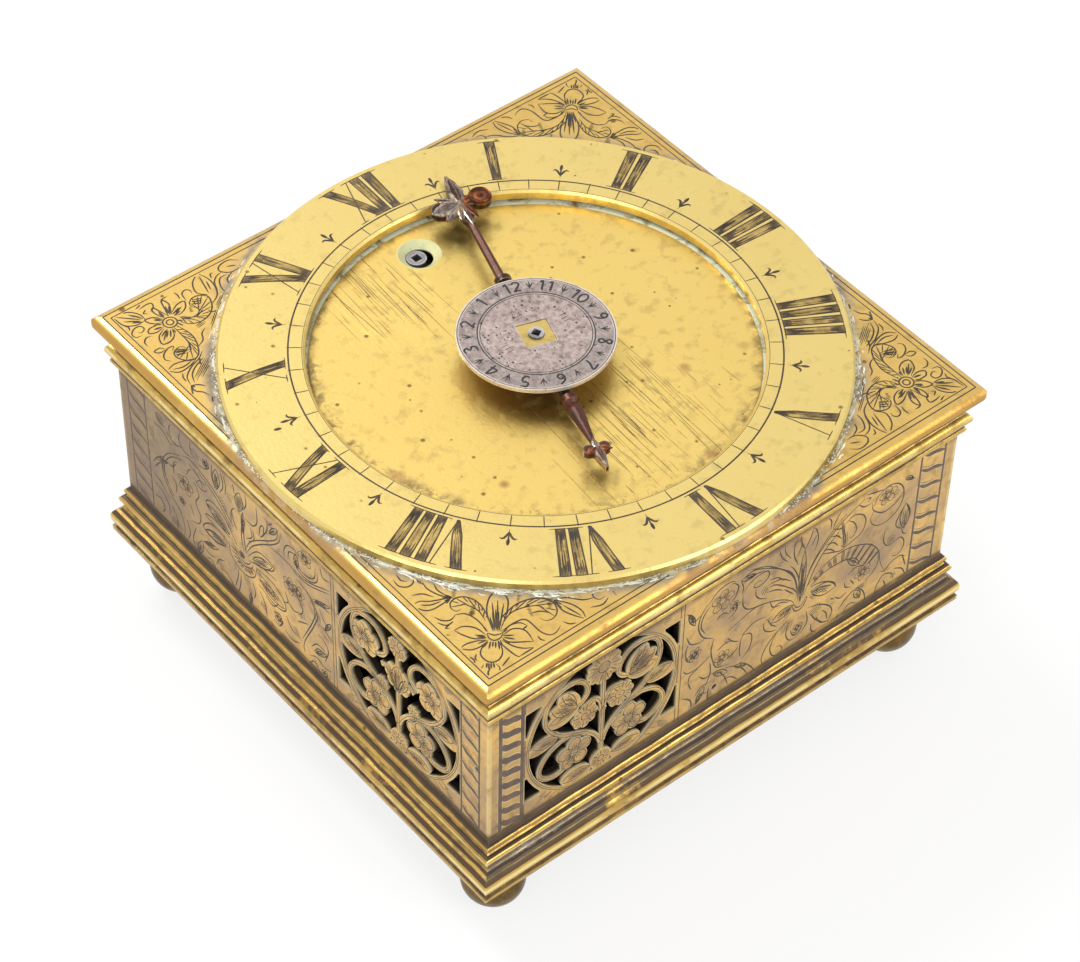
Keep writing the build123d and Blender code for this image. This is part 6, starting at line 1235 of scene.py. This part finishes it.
frontMiddleDrawing = {
    "lines": [
        [(-5.7, 55.6), (-7.2, 53.5), (-7.6, 50.4), (-6.3, 47.1), (-3.7, 45)],
        [(-5.1, 54.8), (-6.5, 53), (-7, 50.4), (-5.8, 47.7)], [(-10.5, 50), (-9.3, 47.3), (-7, 46.2), (-5.5, 46.6)],
        [(-9.9, 47.7), (-10.4, 45.8), (-10, 43.1), (-8.2, 41.6)],
        [(-5.5, 55.4), (-3.2, 57.7), (-0.5, 58.1), (1, 57.3)],
        [(-3.5, 44.6), (-4, 41.6), (-3.3, 38.1), (-2.2, 35.7), (1, 34.4)], [(-4.1, 38.5), (-3.8, 35.4), (-4.7, 32.3)],
        [(-10.8, 40.8), (-9.7, 39.3), (-7, 39.1), (-4.3, 40.4)], [(-9.3, 36.2), (-8.9, 38.1), (-7, 38.8)],
        [(-8.5, 33.9), (-9.3, 36.2)], [(-10.5, 32.7), (-8.5, 30.8), (-8, 28.1)],
        [(-3.9, 31.2), (-4.1, 28.5), (-3.5, 26.9)], [(-1.6, 33.9), (-0.1, 31.6), (1, 28.5)],
        [(-10.8, 56.6), (-9.3, 54.6), (-8.9, 52.3)], [(-10.1, 53.9), (-8.5, 53.1), (-7.4, 53.9)],
        [(-2.4, 40.4), (-0.5, 41.2), (1, 40.8)], [(-3.2, 49.6), (-1.6, 50.4), (-0.1, 49.3)],
        [(-6.6, 36.2), (-5.1, 34.6), (-3.2, 35)], [(-7.4, 31.2), (-5.8, 32.7), (-4.1, 32.7)],
        [(-6.6, 29.3), (-5.5, 30.4), (-4.3, 30)],
    ],
    "leaves": [
        ((-3.2, 34.6), (0.7, 32.3), 0.8, 3), ((-10.3, 56.2), (-8.5, 51.9), 0.6, 3),
        ((-7, 28.5), (-5.1, 32.3), 0.7, 3),
    ],
    "flowers": [
        ((-2, 54.1), 2.7, 5, 10), ((-8.2, 43.6), 1.6, 6, 0), ((-1, 37.7), 1.8, 5, 30),
    ],
    "shades": [
        ((-8.5, 43.4), 1.2, 1.2, 45), ((-3.2, 55.2), 1.3, 1, 20), ((-1.2, 51.9), 1.2, 0.9, 120),
        ((-8, 28.5), 1, 1.2, 90), ((-3.7, 29.3), 0.8, 1.5, 90), ((-0.1, 41.6), 1, 0.8, 30),
        ((-1.6, 36.2), 1.2, 0.6, 10),
    ],
}
leftDrawing = {
    "lines": [
        [(-37.2, 51.3), (-40.6, 49.3), (-42.8, 46.6), (-43.8, 43.1), (-43.2, 40), (-41.1, 36.9), (-38.7, 34.6),
         (-37.5, 31.2), (-38, 28.1)],
        [(-36.5, 50.7), (-39.9, 48.8), (-42.1, 46.2), (-43.1, 43.1), (-42.5, 40.3), (-40.5, 37.4)],
        [(-46.8, 42.1), (-45.3, 44.4), (-42.8, 46.6)], [(-46.5, 40.8), (-44.9, 43.1), (-43.8, 43.9)],
        [(-34.2, 51.6), (-31.1, 50.4), (-29.9, 48.5)],
        [(-32.8, 47.7), (-31.5, 45), (-32.8, 42.1), (-31.5, 39.3), (-32.2, 36.6), (-34.9, 35.3)],
        [(-39.9, 44.2), (-39.5, 47.6), (-38.3, 48.5)], [(-35.3, 47.6), (-34.5, 49.6), (-33.4, 50.7)],
        [(-40.7, 43.1), (-39.2, 41.6), (-39.5, 39.3)], [(-38.8, 47.7), (-39.9, 46.2), (-41.1, 45.8)],
        [(-20.1, 40.3), (-19.5, 38.4), (-17.2, 37.4), (-14.9, 38.8), (-14.5, 40)],
        [(-22.2, 40), (-21.5, 36.6), (-18, 34.9), (-14.5, 36.5), (-13.2, 40)],
        [(-19.5, 40.4), (-18.8, 38.9), (-17.2, 38.3), (-15.7, 39.3), (-15.2, 40.2)],
        [(-19.5, 41.5), (-23.4, 46.1), (-27.2, 46.9), (-29.2, 45.3), (-27.2, 43.4), (-23.3, 42.3)],
        [(-21.7, 41.5), (-26.5, 42.3), (-29.6, 41.6), (-28, 40.7), (-23.4, 40.3)], [(-28.8, 45), (-27.2, 44.6)],
        [(-23.4, 39.9), (-28, 40), (-30.6, 37.7), (-30.2, 36.5), (-26.5, 36.1), (-22.5, 38)],
        [(-30.3, 36.6), (-27.6, 38.1), (-24.5, 38.1)],
        [(-16.1, 41.1), (-12.6, 45.3), (-8.4, 45.8), (-7.5, 44.6), (-9.9, 42.6), (-14.9, 40.4)],
        [(-14.5, 42.3), (-11.8, 44.3), (-9.5, 44.4)], [(-15.7, 40.3), (-11.8, 41.9), (-6.8, 42.3)],
        [(-13.3, 40.3), (-8, 40.4), (-4.8, 38.4), (-4.5, 35.7), (-8, 34.6), (-12.9, 36.1)],
        [(-12.6, 39.3), (-9.2, 38.5), (-6.5, 36.6)], [(-17.2, 41.5), (-17.7, 45.8), (-16.8, 52.8)],
        [(-16.5, 41.6), (-16.9, 45.8), (-16.5, 50.4)], [(-21, 46.1), (-20.6, 49.9), (-19.5, 51.6)],
        [(-19.1, 45.8), (-20.1, 47.7), (-20.4, 49.6)], [(-16.1, 46.1), (-14.2, 48), (-14.5, 50.3)],
        [(-15.5, 45.8), (-13.6, 47.7), (-13.8, 50.4)],
        [(-16.8, 42.3), (-14.9, 46.1), (-11.8, 49.2), (-8, 52.3), (-6, 54.6), (-5.5, 57.3)],
        [(-16.3, 42), (-14.3, 45.4), (-11.3, 48.5), (-7.6, 51.6), (-5.3, 54.3), (-4.7, 56.9)],
        [(-11.8, 50.3), (-11.2, 53.4), (-10.2, 54.3), (-10.3, 51.9), (-11.3, 50.4)],
        [(-26.2, 58.1), (-26.6, 54.6), (-25.7, 51.9)], [(-23.4, 58.4), (-22.9, 54.6), (-24.2, 51.9)],
        [(-25.2, 56.2), (-24.7, 53.9), (-25, 51.9)], [(-12.2, 57.7), (-12.2, 53.8), (-13.7, 51.6), (-16.1, 51.5)],
        [(-15.7, 58.1), (-15.5, 55.8), (-16.5, 53.5)], [(-22.6, 57.7), (-22, 55.4), (-22.4, 52.7)],
        [(-19.5, 58.1), (-19.2, 55.8)], [(-8.8, 57.3), (-9.2, 53.9), (-11.4, 50.4)], [(-8.4, 56.2), (-7.2, 57.7)],
        [(-31.8, 48.4), (-31, 49.6), (-28.7, 50)], [(-32.2, 48.6), (-31.1, 47.6), (-29.2, 48), (-28.6, 49.1)],
        [(-20.3, 45.7), (-23.4, 48.8), (-26.5, 51.1), (-31.1, 52.7), (-34.1, 53), (-36.5, 51.9)],
        [(-21.1, 45), (-24.2, 48.1), (-27.2, 50.2), (-31.1, 51.8)], [(-41.1, 54.6), (-38.8, 53.4), (-36.4, 54.2)],
        [(-39.5, 58.1), (-40.3, 56.2), (-39.5, 54.3)], [(-36.5, 58.1), (-37, 55.8), (-35.3, 53.9), (-32.6, 54.3)],
        [(-33.4, 58.1), (-33, 55.4), (-31.1, 54.8)], [(-30.6, 54.1), (-28.8, 54.6), (-27.3, 56.1), (-27.9, 57.6)],
        [(-44.5, 57.3), (-43.7, 55.8), (-41.8, 55.4)], [(-45.3, 53.9), (-42.6, 53.9), (-39.9, 51.9)],
        [(-3.7, 51.5), (-3.8, 53.5), (-2.6, 55.7), (0, 56.5)], [(-2.6, 51.9), (-2.2, 54.3), (0, 55.2)],
        [(-8, 50.4), (-4.2, 50.8), (0, 50.4)], [(-33.4, 34.6), (-34.8, 30), (-33.4, 27.1)],
        [(-31, 32.6), (-28.7, 33.8), (-26, 34.6)], [(-31.5, 31.2), (-29.2, 30.4), (-27.2, 31.2)],
        [(-24.2, 29.9), (-21.8, 28.4), (-21.5, 26.9)], [(-16.4, 31.5), (-15.6, 29.6), (-16.5, 27.1)],
        [(-21, 28.4), (-19.8, 32.3), (-19.5, 34.6)], [(-20.1, 27.3), (-19.2, 30.4), (-18.7, 33.9)],
        [(-10.7, 34.6), (-8.4, 33.8), (-6.4, 36.1)], [(-14.9, 34.6), (-14.2, 32.3), (-14.9, 30)],
        [(-12.6, 34.3), (-11.1, 31.6), (-10.7, 28.5)],
        [(-8.4, 32.3), (-6.5, 33.1), (-5.7, 31.2), (-6.8, 29.6), (-8.4, 30)], [(-4.2, 34.6), (-2.6, 32.3), (0, 31.9)],
        [(-4.9, 30), (-2.6, 29.3), (-0.3, 30.4)], [(-36.5, 33.9), (-35.7, 31.2), (-36.5, 28.5)],
        [(-46.8, 36.2), (-44.5, 35.4), (-42.6, 33.1), (-42.6, 30)],
        [(-47.2, 32.3), (-45.3, 32.7), (-44.2, 30.8), (-45.3, 28.9)], [(-47.2, 38.5), (-45.3, 38.1), (-43.4, 36.6)],
        [(-41.5, 33.9), (-39.9, 31.2), (-40.3, 28.1)], [(-27.2, 29.3), (-26.1, 31.6), (-24.2, 32.7)],
        [(-30.3, 28.5), (-28.8, 29.3), (-27.2, 27.3)], [(-9.5, 28.5), (-7.6, 27.3), (-4.9, 27.7)],
        [(-3.4, 39.3), (-1.5, 38.5), (0, 39.3)], [(-4.2, 41.6), (-3.4, 39.3), (-4.9, 38.1)],
    ],
    "leaves": [
        ((-21.7, 42.3), (-28.8, 45), 1.3, 5), ((-14.5, 41.6), (-8, 45), 1.2, 5),
        ((-23.2, 38.1), (-30.1, 36.8), 1.1, 4), ((-12.6, 37.7), (-4.7, 36.2), 1.3, 5),
        ((-17.2, 46.6), (-16.8, 52.7), 0.5, 3), ((-8.4, 53.9), (-5.7, 57.3), 0.6, 3),
        ((-25.3, 51.9), (-24.9, 57.7), 1.1, 4), ((-18, 51.9), (-17.6, 57.3), 1.3, 4),
        ((-33.4, 26.9), (-31.5, 32.3), 0.8, 4), ((-41.5, 45.8), (-45.7, 43.9), 0.5, 3),
        ((-31.1, 32.5), (-26.1, 34.4), 0.6, 3), ((-16.1, 27.3), (-15.7, 31.2), 0.5, 3),
    ],
    "ribs": [
        ((-21.3, 39.6), (-19.8, 39.2)), ((-21, 38.5), (-19.5, 38.3)), ((-20.5, 37.4), (-19.2, 37.7)),
        ((-19.5, 36.6), (-18.5, 37.4)), ((-18.4, 36.2), (-17.8, 37.2)), ((-17, 36.1), (-16.8, 37.1)),
        ((-15.7, 36.5), (-16, 37.4)), ((-14.7, 37.3), (-15.2, 38.1)), ((-14.1, 38.5), (-14.8, 38.9)),
    ],
    "flowers": [
        ((-36, 44.2), 2.4, 5, 80), ((-2.3, 44.6), 2.2, 6, 30), ((-28.4, 56.2), 1, 5, 0), ((-18, 40), 0.8, 6, 0),
        ((-37.6, 38.5), 1, 5, 10), ((-6.8, 31.6), 1.3, 5, 0),
    ],
    "shades": [
        ((-37, 44.6), 1.3, 1.5, 60), ((-17.8, 39.6), 0.8, 0.8, 90), ((-17.6, 54.6), 1.9, 1.3, 160),
        ((-21.1, 53), 1.3, 0.8, 30), ((-31.8, 56.2), 1.5, 1.2, 70), ((-43.4, 56.6), 1.3, 1.5, 90),
        ((-23.4, 49.6), 1.9, 1.2, 40), ((-21.5, 44.6), 1.2, 1.2, 50), ((-23.4, 39.2), 0.9, 1.2, 80),
        ((-12.6, 39.3), 0.9, 1.3, 110), ((-16.8, 33.9), 1.3, 1.5, 110), ((-20.5, 34.3), 0.7, 1.3, 100),
        ((-2.6, 44.6), 1.2, 0.9, 80), ((-8, 56.6), 0.9, 1.2, 60), ((-9.5, 51.2), 1.3, 0.5, 40),
        ((-46.5, 50.4), 1, 2.3, 90), ((-34.2, 38.5), 0.5, 1.5, 110), ((-43.4, 42.3), 0.4, 2.3, 90),
        ((-1.1, 33.1), 1.2, 1, 30), ((-33.4, 29.3), 1.3, 1.2, 60), ((-25.7, 30), 1.2, 0.9, 30),
        ((-11.8, 30.8), 1, 1.3, 80), ((-40.7, 30), 1.5, 1.3, 90),
    ],
}
leftMiddleDrawing = {
    "lines": [
        [(-1, 52.6), (1.3, 51.3), (4, 51.5), (6.3, 53.4), (6.5, 56.2)],
        [(-1, 53.5), (1.3, 52.2), (3.6, 52.3), (5.6, 53.9), (5.9, 56.6)], [(-1, 50.3), (3.3, 50.8), (10.2, 54.2)],
        [(-1, 49.8), (3.6, 50.2), (10.2, 53.3)],
        [(-0.2, 48.4), (4, 47.3), (5.9, 43.8), (4.8, 39.9), (1.4, 32.3), (1.3, 29.3)],
        [(0.9, 48.3), (3.3, 47.3), (5.2, 44.3), (4.3, 40.4), (0.8, 32.7)], [(4.8, 47.3), (7.5, 48.8), (10.2, 49.6)],
        [(5.2, 46.8), (7.8, 47.7), (10.2, 47.9)], [(-0.6, 36.5), (2.8, 38.5)], [(3.6, 33), (5.5, 35.3), (7.9, 35.4)],
        [(4.4, 32.3), (5.9, 34.3), (8.6, 34.3)], [(-1, 44.6), (0.2, 43.1), (1.3, 40.8), (-0.2, 38.5)],
        [(6.7, 46.2), (8.2, 43.9), (10.2, 43.5)], [(6.3, 41.6), (8.2, 41.6), (10.2, 40)],
        [(5.9, 38.5), (7.8, 38.1), (9, 36.2), (7.8, 32.3)], [(3.2, 30), (5.2, 31.2), (7.5, 30.4), (9.8, 31.2)],
        [(2.5, 27.3), (4.4, 29.3), (6.3, 27.7)], [(7.5, 58.1), (8.2, 56.2), (10.2, 56.6)],
    ],
    "leaves": [
        ((5.2, 47.1), (10.2, 49.6), 0.5, 3), ((8.2, 41.6), (10.2, 45), 0.5, 3), ((4.8, 32.3), (8.6, 34.8), 0.6, 3),
        ((0.2, 51.6), (-0.2, 55.4), 0.7, 3),
    ],
    "flowers": [
        ((2.8, 56.6), 1.9, 5, 30), ((0.2, 45), 1.7, 5, 0), ((7.8, 28.5), 1.2, 5, 0),
    ],
    "shades": [
        ((6.1, 42.7), 1, 2.3, 80), ((2.5, 57.3), 1.2, 0.9, 20), ((1.3, 39.3), 0.8, 1.2, 60),
        ((0.2, 55.4), 0.8, 1.2, 80), ((8.6, 39.3), 1, 1.2, 60), ((4.8, 29.3), 1.2, 0.9, 30),
    ],
}
fret = {  # millimetres about the fret's middle, as the holes are sawn
    "height": 43.9, "rings": (17.35, 17.75), "stem": (-10.6, 11.4), "pansy": (6.5, -6.6), "footRose": (0.0, -13.2),
    "upper": [(0.2, -8.5), (3.7, -3.2), (9.8, 0.5), (13.3, 5.8), (12.0, 11.6), (6.0, 12.6), (3.6, 8.6), (6.0, 5.9)],
    "lower": [(4.6, -2.6), (8.4, -1.3), (13.2, -3.4), (14.6, -7.4), (11.6, -10.0), (8.0, -8.6)],
    "link": [(0.2, 0.6), (1.7, 4.7), (4.8, 4.2)],
    "frontLeaves": [((6.0, 5.9), (12.2, 9.4), 2.0, 8), ((6.2, 6.4), (9.8, 12.2), 1.0, 5),
                    ((6.2, 5.6), (12.6, 5.4), 1.0, 5)],
    "leaves": [((10.2, 0.5), (16.4, 1.6), 1.3, 6), ((2.4, -13.4), (9.6, -13.4), 1.2, 6)],
}
walls = {  # drawings with their mirroring, place of the fret, and upright lines
    "front": ([(frontDrawing, 1), (frontMiddleDrawing, 1)], -30.2, (-12.2, -11.3, -48.3)),
    "left": ([(leftDrawing, 1), (leftMiddleDrawing, 1)], 30.2, (10.6, 11.4)),
    "right": ([(frontDrawing, 1), (frontDrawing, -1)], None, ()),
    "back": ([(leftDrawing, 1), (leftDrawing, -1)], None, ()),
}
borders = {  # upright strips at the corners: place of their two sides, and whether they hold beads
    "front": [(-53.9, -48.9, True), (47.5, 53.7, False)], "left": [(-53.9, -48.2, False), (48.7, 53.8, False)],
    "right": [(-53.7, -47.7, False), (47.7, 53.7, False)], "back": [(-53.7, -47.7, False), (47.7, 53.7, False)],
    "low": 27.6, "high": 60.4,
    "plain": {"pitch": 4.3, "edge": 0.7, "stroke": 1.3, "rise": 0.95},
    "bead": {"pitch": 3.55, "edge": 1.1, "stroke": 2.2, "rise": 0.75},
}


def onWall(u, v):
    return wall["low"] < v < wall["high"] and abs(u) < wall["half"]


def cutRose(cuts, centre, radius, lobes, spiral=0):  # radial petal lines about a circle or a spiral
    if spiral:
        cuts.curl(centre, radius * 0.5, spiral)
    else:
        cuts.circle(centre, radius * 0.34, 0.26)
    for i in range(lobes * 2):
        angle = math.pi * (i + 0.5) / lobes
        near, width = (0.46, 0.3) if i % 2 else (0.62, 0.2)
        cuts.line([polar(radius * near, angle, centre), polar(radius, angle, centre)], width)


def cutFret(cuts, shading, middle, front, shake):
    def at(x, y):
        return (middle + x, fret["height"] + y)

    def leaf(base, tip, bulge, veins):
        cuts.leaf(at(side * base[0], base[1]), at(side * tip[0], tip[1]), bulge, veins)

    def shade(x, y, across, along, turn):
        shading.shade(at(side * x, y), across, along, turn, shake)
    for radius in fret["rings"]:
        cuts.circle(at(0, 0), radius, 0.2)
    low, high = fret["stem"]
    cuts.rails([at(0, y) for y in (low, (low + high) / 2, high)])
    for side in (1, -1):
        for name in ("upper", "lower", "link"):
            cuts.rails([at(side * x, y) for x, y in fret[name]])
        x, y = fret["pansy"]
        cuts.flower(at(side * x, y), 3.7, 5, 90)
        shade(x, y, 1.6, 1.5, 40 * side)
        shade(x + 0.8, y - 2.0, 1.8, 0.9, 20)
        for plan in fret["leaves"]:
            leaf(*plan)
        for k in range(4):
            cuts.line([at(side * (10.6 + k * 1.2), -14.6 + k * 0.9), at(side * (12.4 + k * 1.1), -15.6 + k * 1.1)],
                      0.24)
        shade(15.2, -15.0, 2.2, 1.0, 45 * side)
        shade(15.2, 15.2, 2.0, 1.0, -45 * side)
        if front:
            cutRose(cuts, at(side * 4.2, 2.0), 2.9, 8, side * 1.4)
            for plan in fret["frontLeaves"]:
                leaf(*plan)
            shade(9.0, 7.4, 1.6, 2.4, 35 * side)
        else:
            cuts.flower(at(side * 9.6, 7.0), 3.6, 5, 50)
            shade(9.6, 7.0, 1.4, 1.6, 60)
            cutRose(cuts, at(side * 4.6, -1.2), 1.5, 6)
            leaf((0.4, 0.8), (3.2, 6.2), 0.9, 5)
    if front:
        cutRose(cuts, at(0, 12.4), 3.9, 11)
        shading.shade(at(-0.8, 12.0), 2.2, 2.2, 70, shake)
    else:
        cutRose(cuts, at(0, 12.4), 2.4, 8)
        cuts.leaf(at(0, 1.0), at(0, 7.6), 1.6, 7)
    cutRose(cuts, at(*fret["footRose"]), 2.1, 7)


def engraveBorders(face):
    along = flats[face][2]
    low, high = borders["low"], borders["high"]
    foot = low + 1.2
    for k, (left, right, beads) in enumerate(borders[face]):
        style, wide = borders["bead" if beads else "plain"], right - left
        edge, stroke = Cuts(face, clip=False), Cuts(face, clip=False)
        for place in (left, right):
            edge.line([(place, low), (place, high)], style["edge"], taper=0.0)
        makePiece("border_%s_%d" % (face, k), edge, wallShade)
        path = [(left + 0.3, foot + 1.5), (left + wide * 0.3, foot + 0.45), (left + wide * 0.65, foot + 0.1),
                (right - 0.2, foot - 0.7)]
        stroke.line(path, style["stroke"], taper=0.6)
        stroke.line([(x, y + style["rise"]) for x, y in path[:3]], 0.24)
        runTree("border_strokes_%s_%d" % (face, k), stroke, repeatCut, Count=int((high - foot) / style["pitch"]) + 1,
                Shift=along * style["pitch"] * mm, Material=wallShade)


def engraveWalls():
    shake = random.Random(30)
    for face, (drawings, middle, uprights) in walls.items():
        cuts, shading = Cuts(face, keep=onWall), Cuts(face, rise=0.03, keep=onWall)
        for drawing, mirror in drawings:
            trace(cuts, shading, drawing, lambda point: (mirror * point[0], point[1]), mirror < 0, shake, 0.46)
        if middle is not None:
            cutFret(cuts, shading, middle, face == "front", shake)
        for place in uprights:
            cuts.line([(place, 27.4), (place, 60.5)], 0.26, taper=0.0)
        makePiece("foliage_" + face, cuts, wallDark)
        makePiece("hatching_" + face, shading, wallShade)
        engraveBorders(face)


engraveWalls()
print("walls engraved")


camera = {"place": (-0.2960035, -0.3512475, 0.5210030), "azimuth": -0.7030752, "elevation": 0.8105194,
          "roll": 0.0222474, "lens": 114.41, "sensor": 36.0, "clip": (0.02, 20.0)}
stage = {"half": 3.0, "paper": (0.93, 0.93, 0.93, 1), "rough": 0.9, "paperShare": 0.8, "sky": 0.62,
         "white": (1, 1, 1, 1), "aim": Vector((0, 0, 0.05))}
lamps = {  # place, width and power
    "key": ((-0.15, 0.75, 1.0), 0.5, 9.0), "fill": ((-0.9, -0.4, 0.8), 0.7, 3.5),
    "front": ((0.35, -1.0, 0.55), 0.7, 4.5),
}


def setCamera():
    data = bpy.data.cameras.new("camera")
    data.lens, data.sensor_width = camera["lens"], camera["sensor"]
    data.clip_start, data.clip_end = camera["clip"]
    az, el, roll = camera["azimuth"], camera["elevation"], camera["roll"]
    back = Vector((math.sin(az) * math.cos(el), -math.cos(az) * math.cos(el), math.sin(el)))
    right = (-back).cross(Vector((0, 0, 1))).normalized()
    up = right.cross(-back)
    right, up = math.cos(roll) * right + math.sin(roll) * up, -math.sin(roll) * right + math.cos(roll) * up
    eye = addObject("camera", data)
    eye.matrix_world = Matrix([[*row] for row in zip(right, up, back, camera["place"])] + [[0, 0, 0, 1]])
    scene.camera = eye


def softLamp(name, place, size, power):
    data = bpy.data.lights.new(name, "AREA")
    data.shape, data.size, data.energy = "DISK", size, power
    lamp = addObject(name, data)
    lamp.location = place
    lamp.rotation_mode = "QUATERNION"
    lamp.rotation_quaternion = (Vector(place) - stage["aim"]).to_track_quat("Z", "Y")


def whiteWhereSeen(tree, kind, closure, share, out):  # camera and mirror rays see plain white
    rays = addNode(tree, "ShaderNodeLightPath").outputs
    seen = mathNode(tree, "MAXIMUM", rays["Is Camera Ray"], rays["Is Glossy Ray"])
    seen = mathNode(tree, "MAXIMUM", seen, rays["Is Transmission Ray"])
    white = addNode(tree, kind, {"Color": stage["white"], "Strength": 1.0})
    mixed = addNode(tree, "ShaderNodeMixShader", {
        0: mathNode(tree, "MULTIPLY", seen, share), 1: closure, 2: white.outputs[0]})
    feed(tree, out, "Surface", mixed.outputs[0])


def setStage():
    half = stage["half"]
    mesh = bpy.data.meshes.new("floor")
    mesh.from_pydata([(-half, -half, 0), (half, -half, 0), (half, half, 0), (-half, half, 0)], [], [(0, 1, 2, 3)])
    floor = addObject("floor", mesh)
    material = bpy.data.materials.new("white_paper")
    material.use_nodes = True
    tree = material.node_tree
    shader = tree.nodes["Principled BSDF"]
    feed(tree, shader, "Base Color", stage["paper"])
    feed(tree, shader, "Roughness", stage["rough"])
    whiteWhereSeen(tree, "ShaderNodeEmission", shader.outputs[0], stage["paperShare"], tree.nodes["Material Output"])
    mesh.materials.append(material)
    world = bpy.data.worlds.new("studio")
    scene.world = world
    world.use_nodes = True
    tree = world.node_tree
    sky = tree.nodes["Background"]
    feed(tree, sky, "Color", stage["white"])
    feed(tree, sky, "Strength", stage["sky"])
    whiteWhereSeen(tree, "ShaderNodeBackground", sky.outputs[0], 1.0, tree.nodes["World Output"])
    for name, lamp in lamps.items():
        softLamp(name, *lamp)


setCamera()
setStage()
scene.view_settings.view_transform = "Standard"
print("stage set")
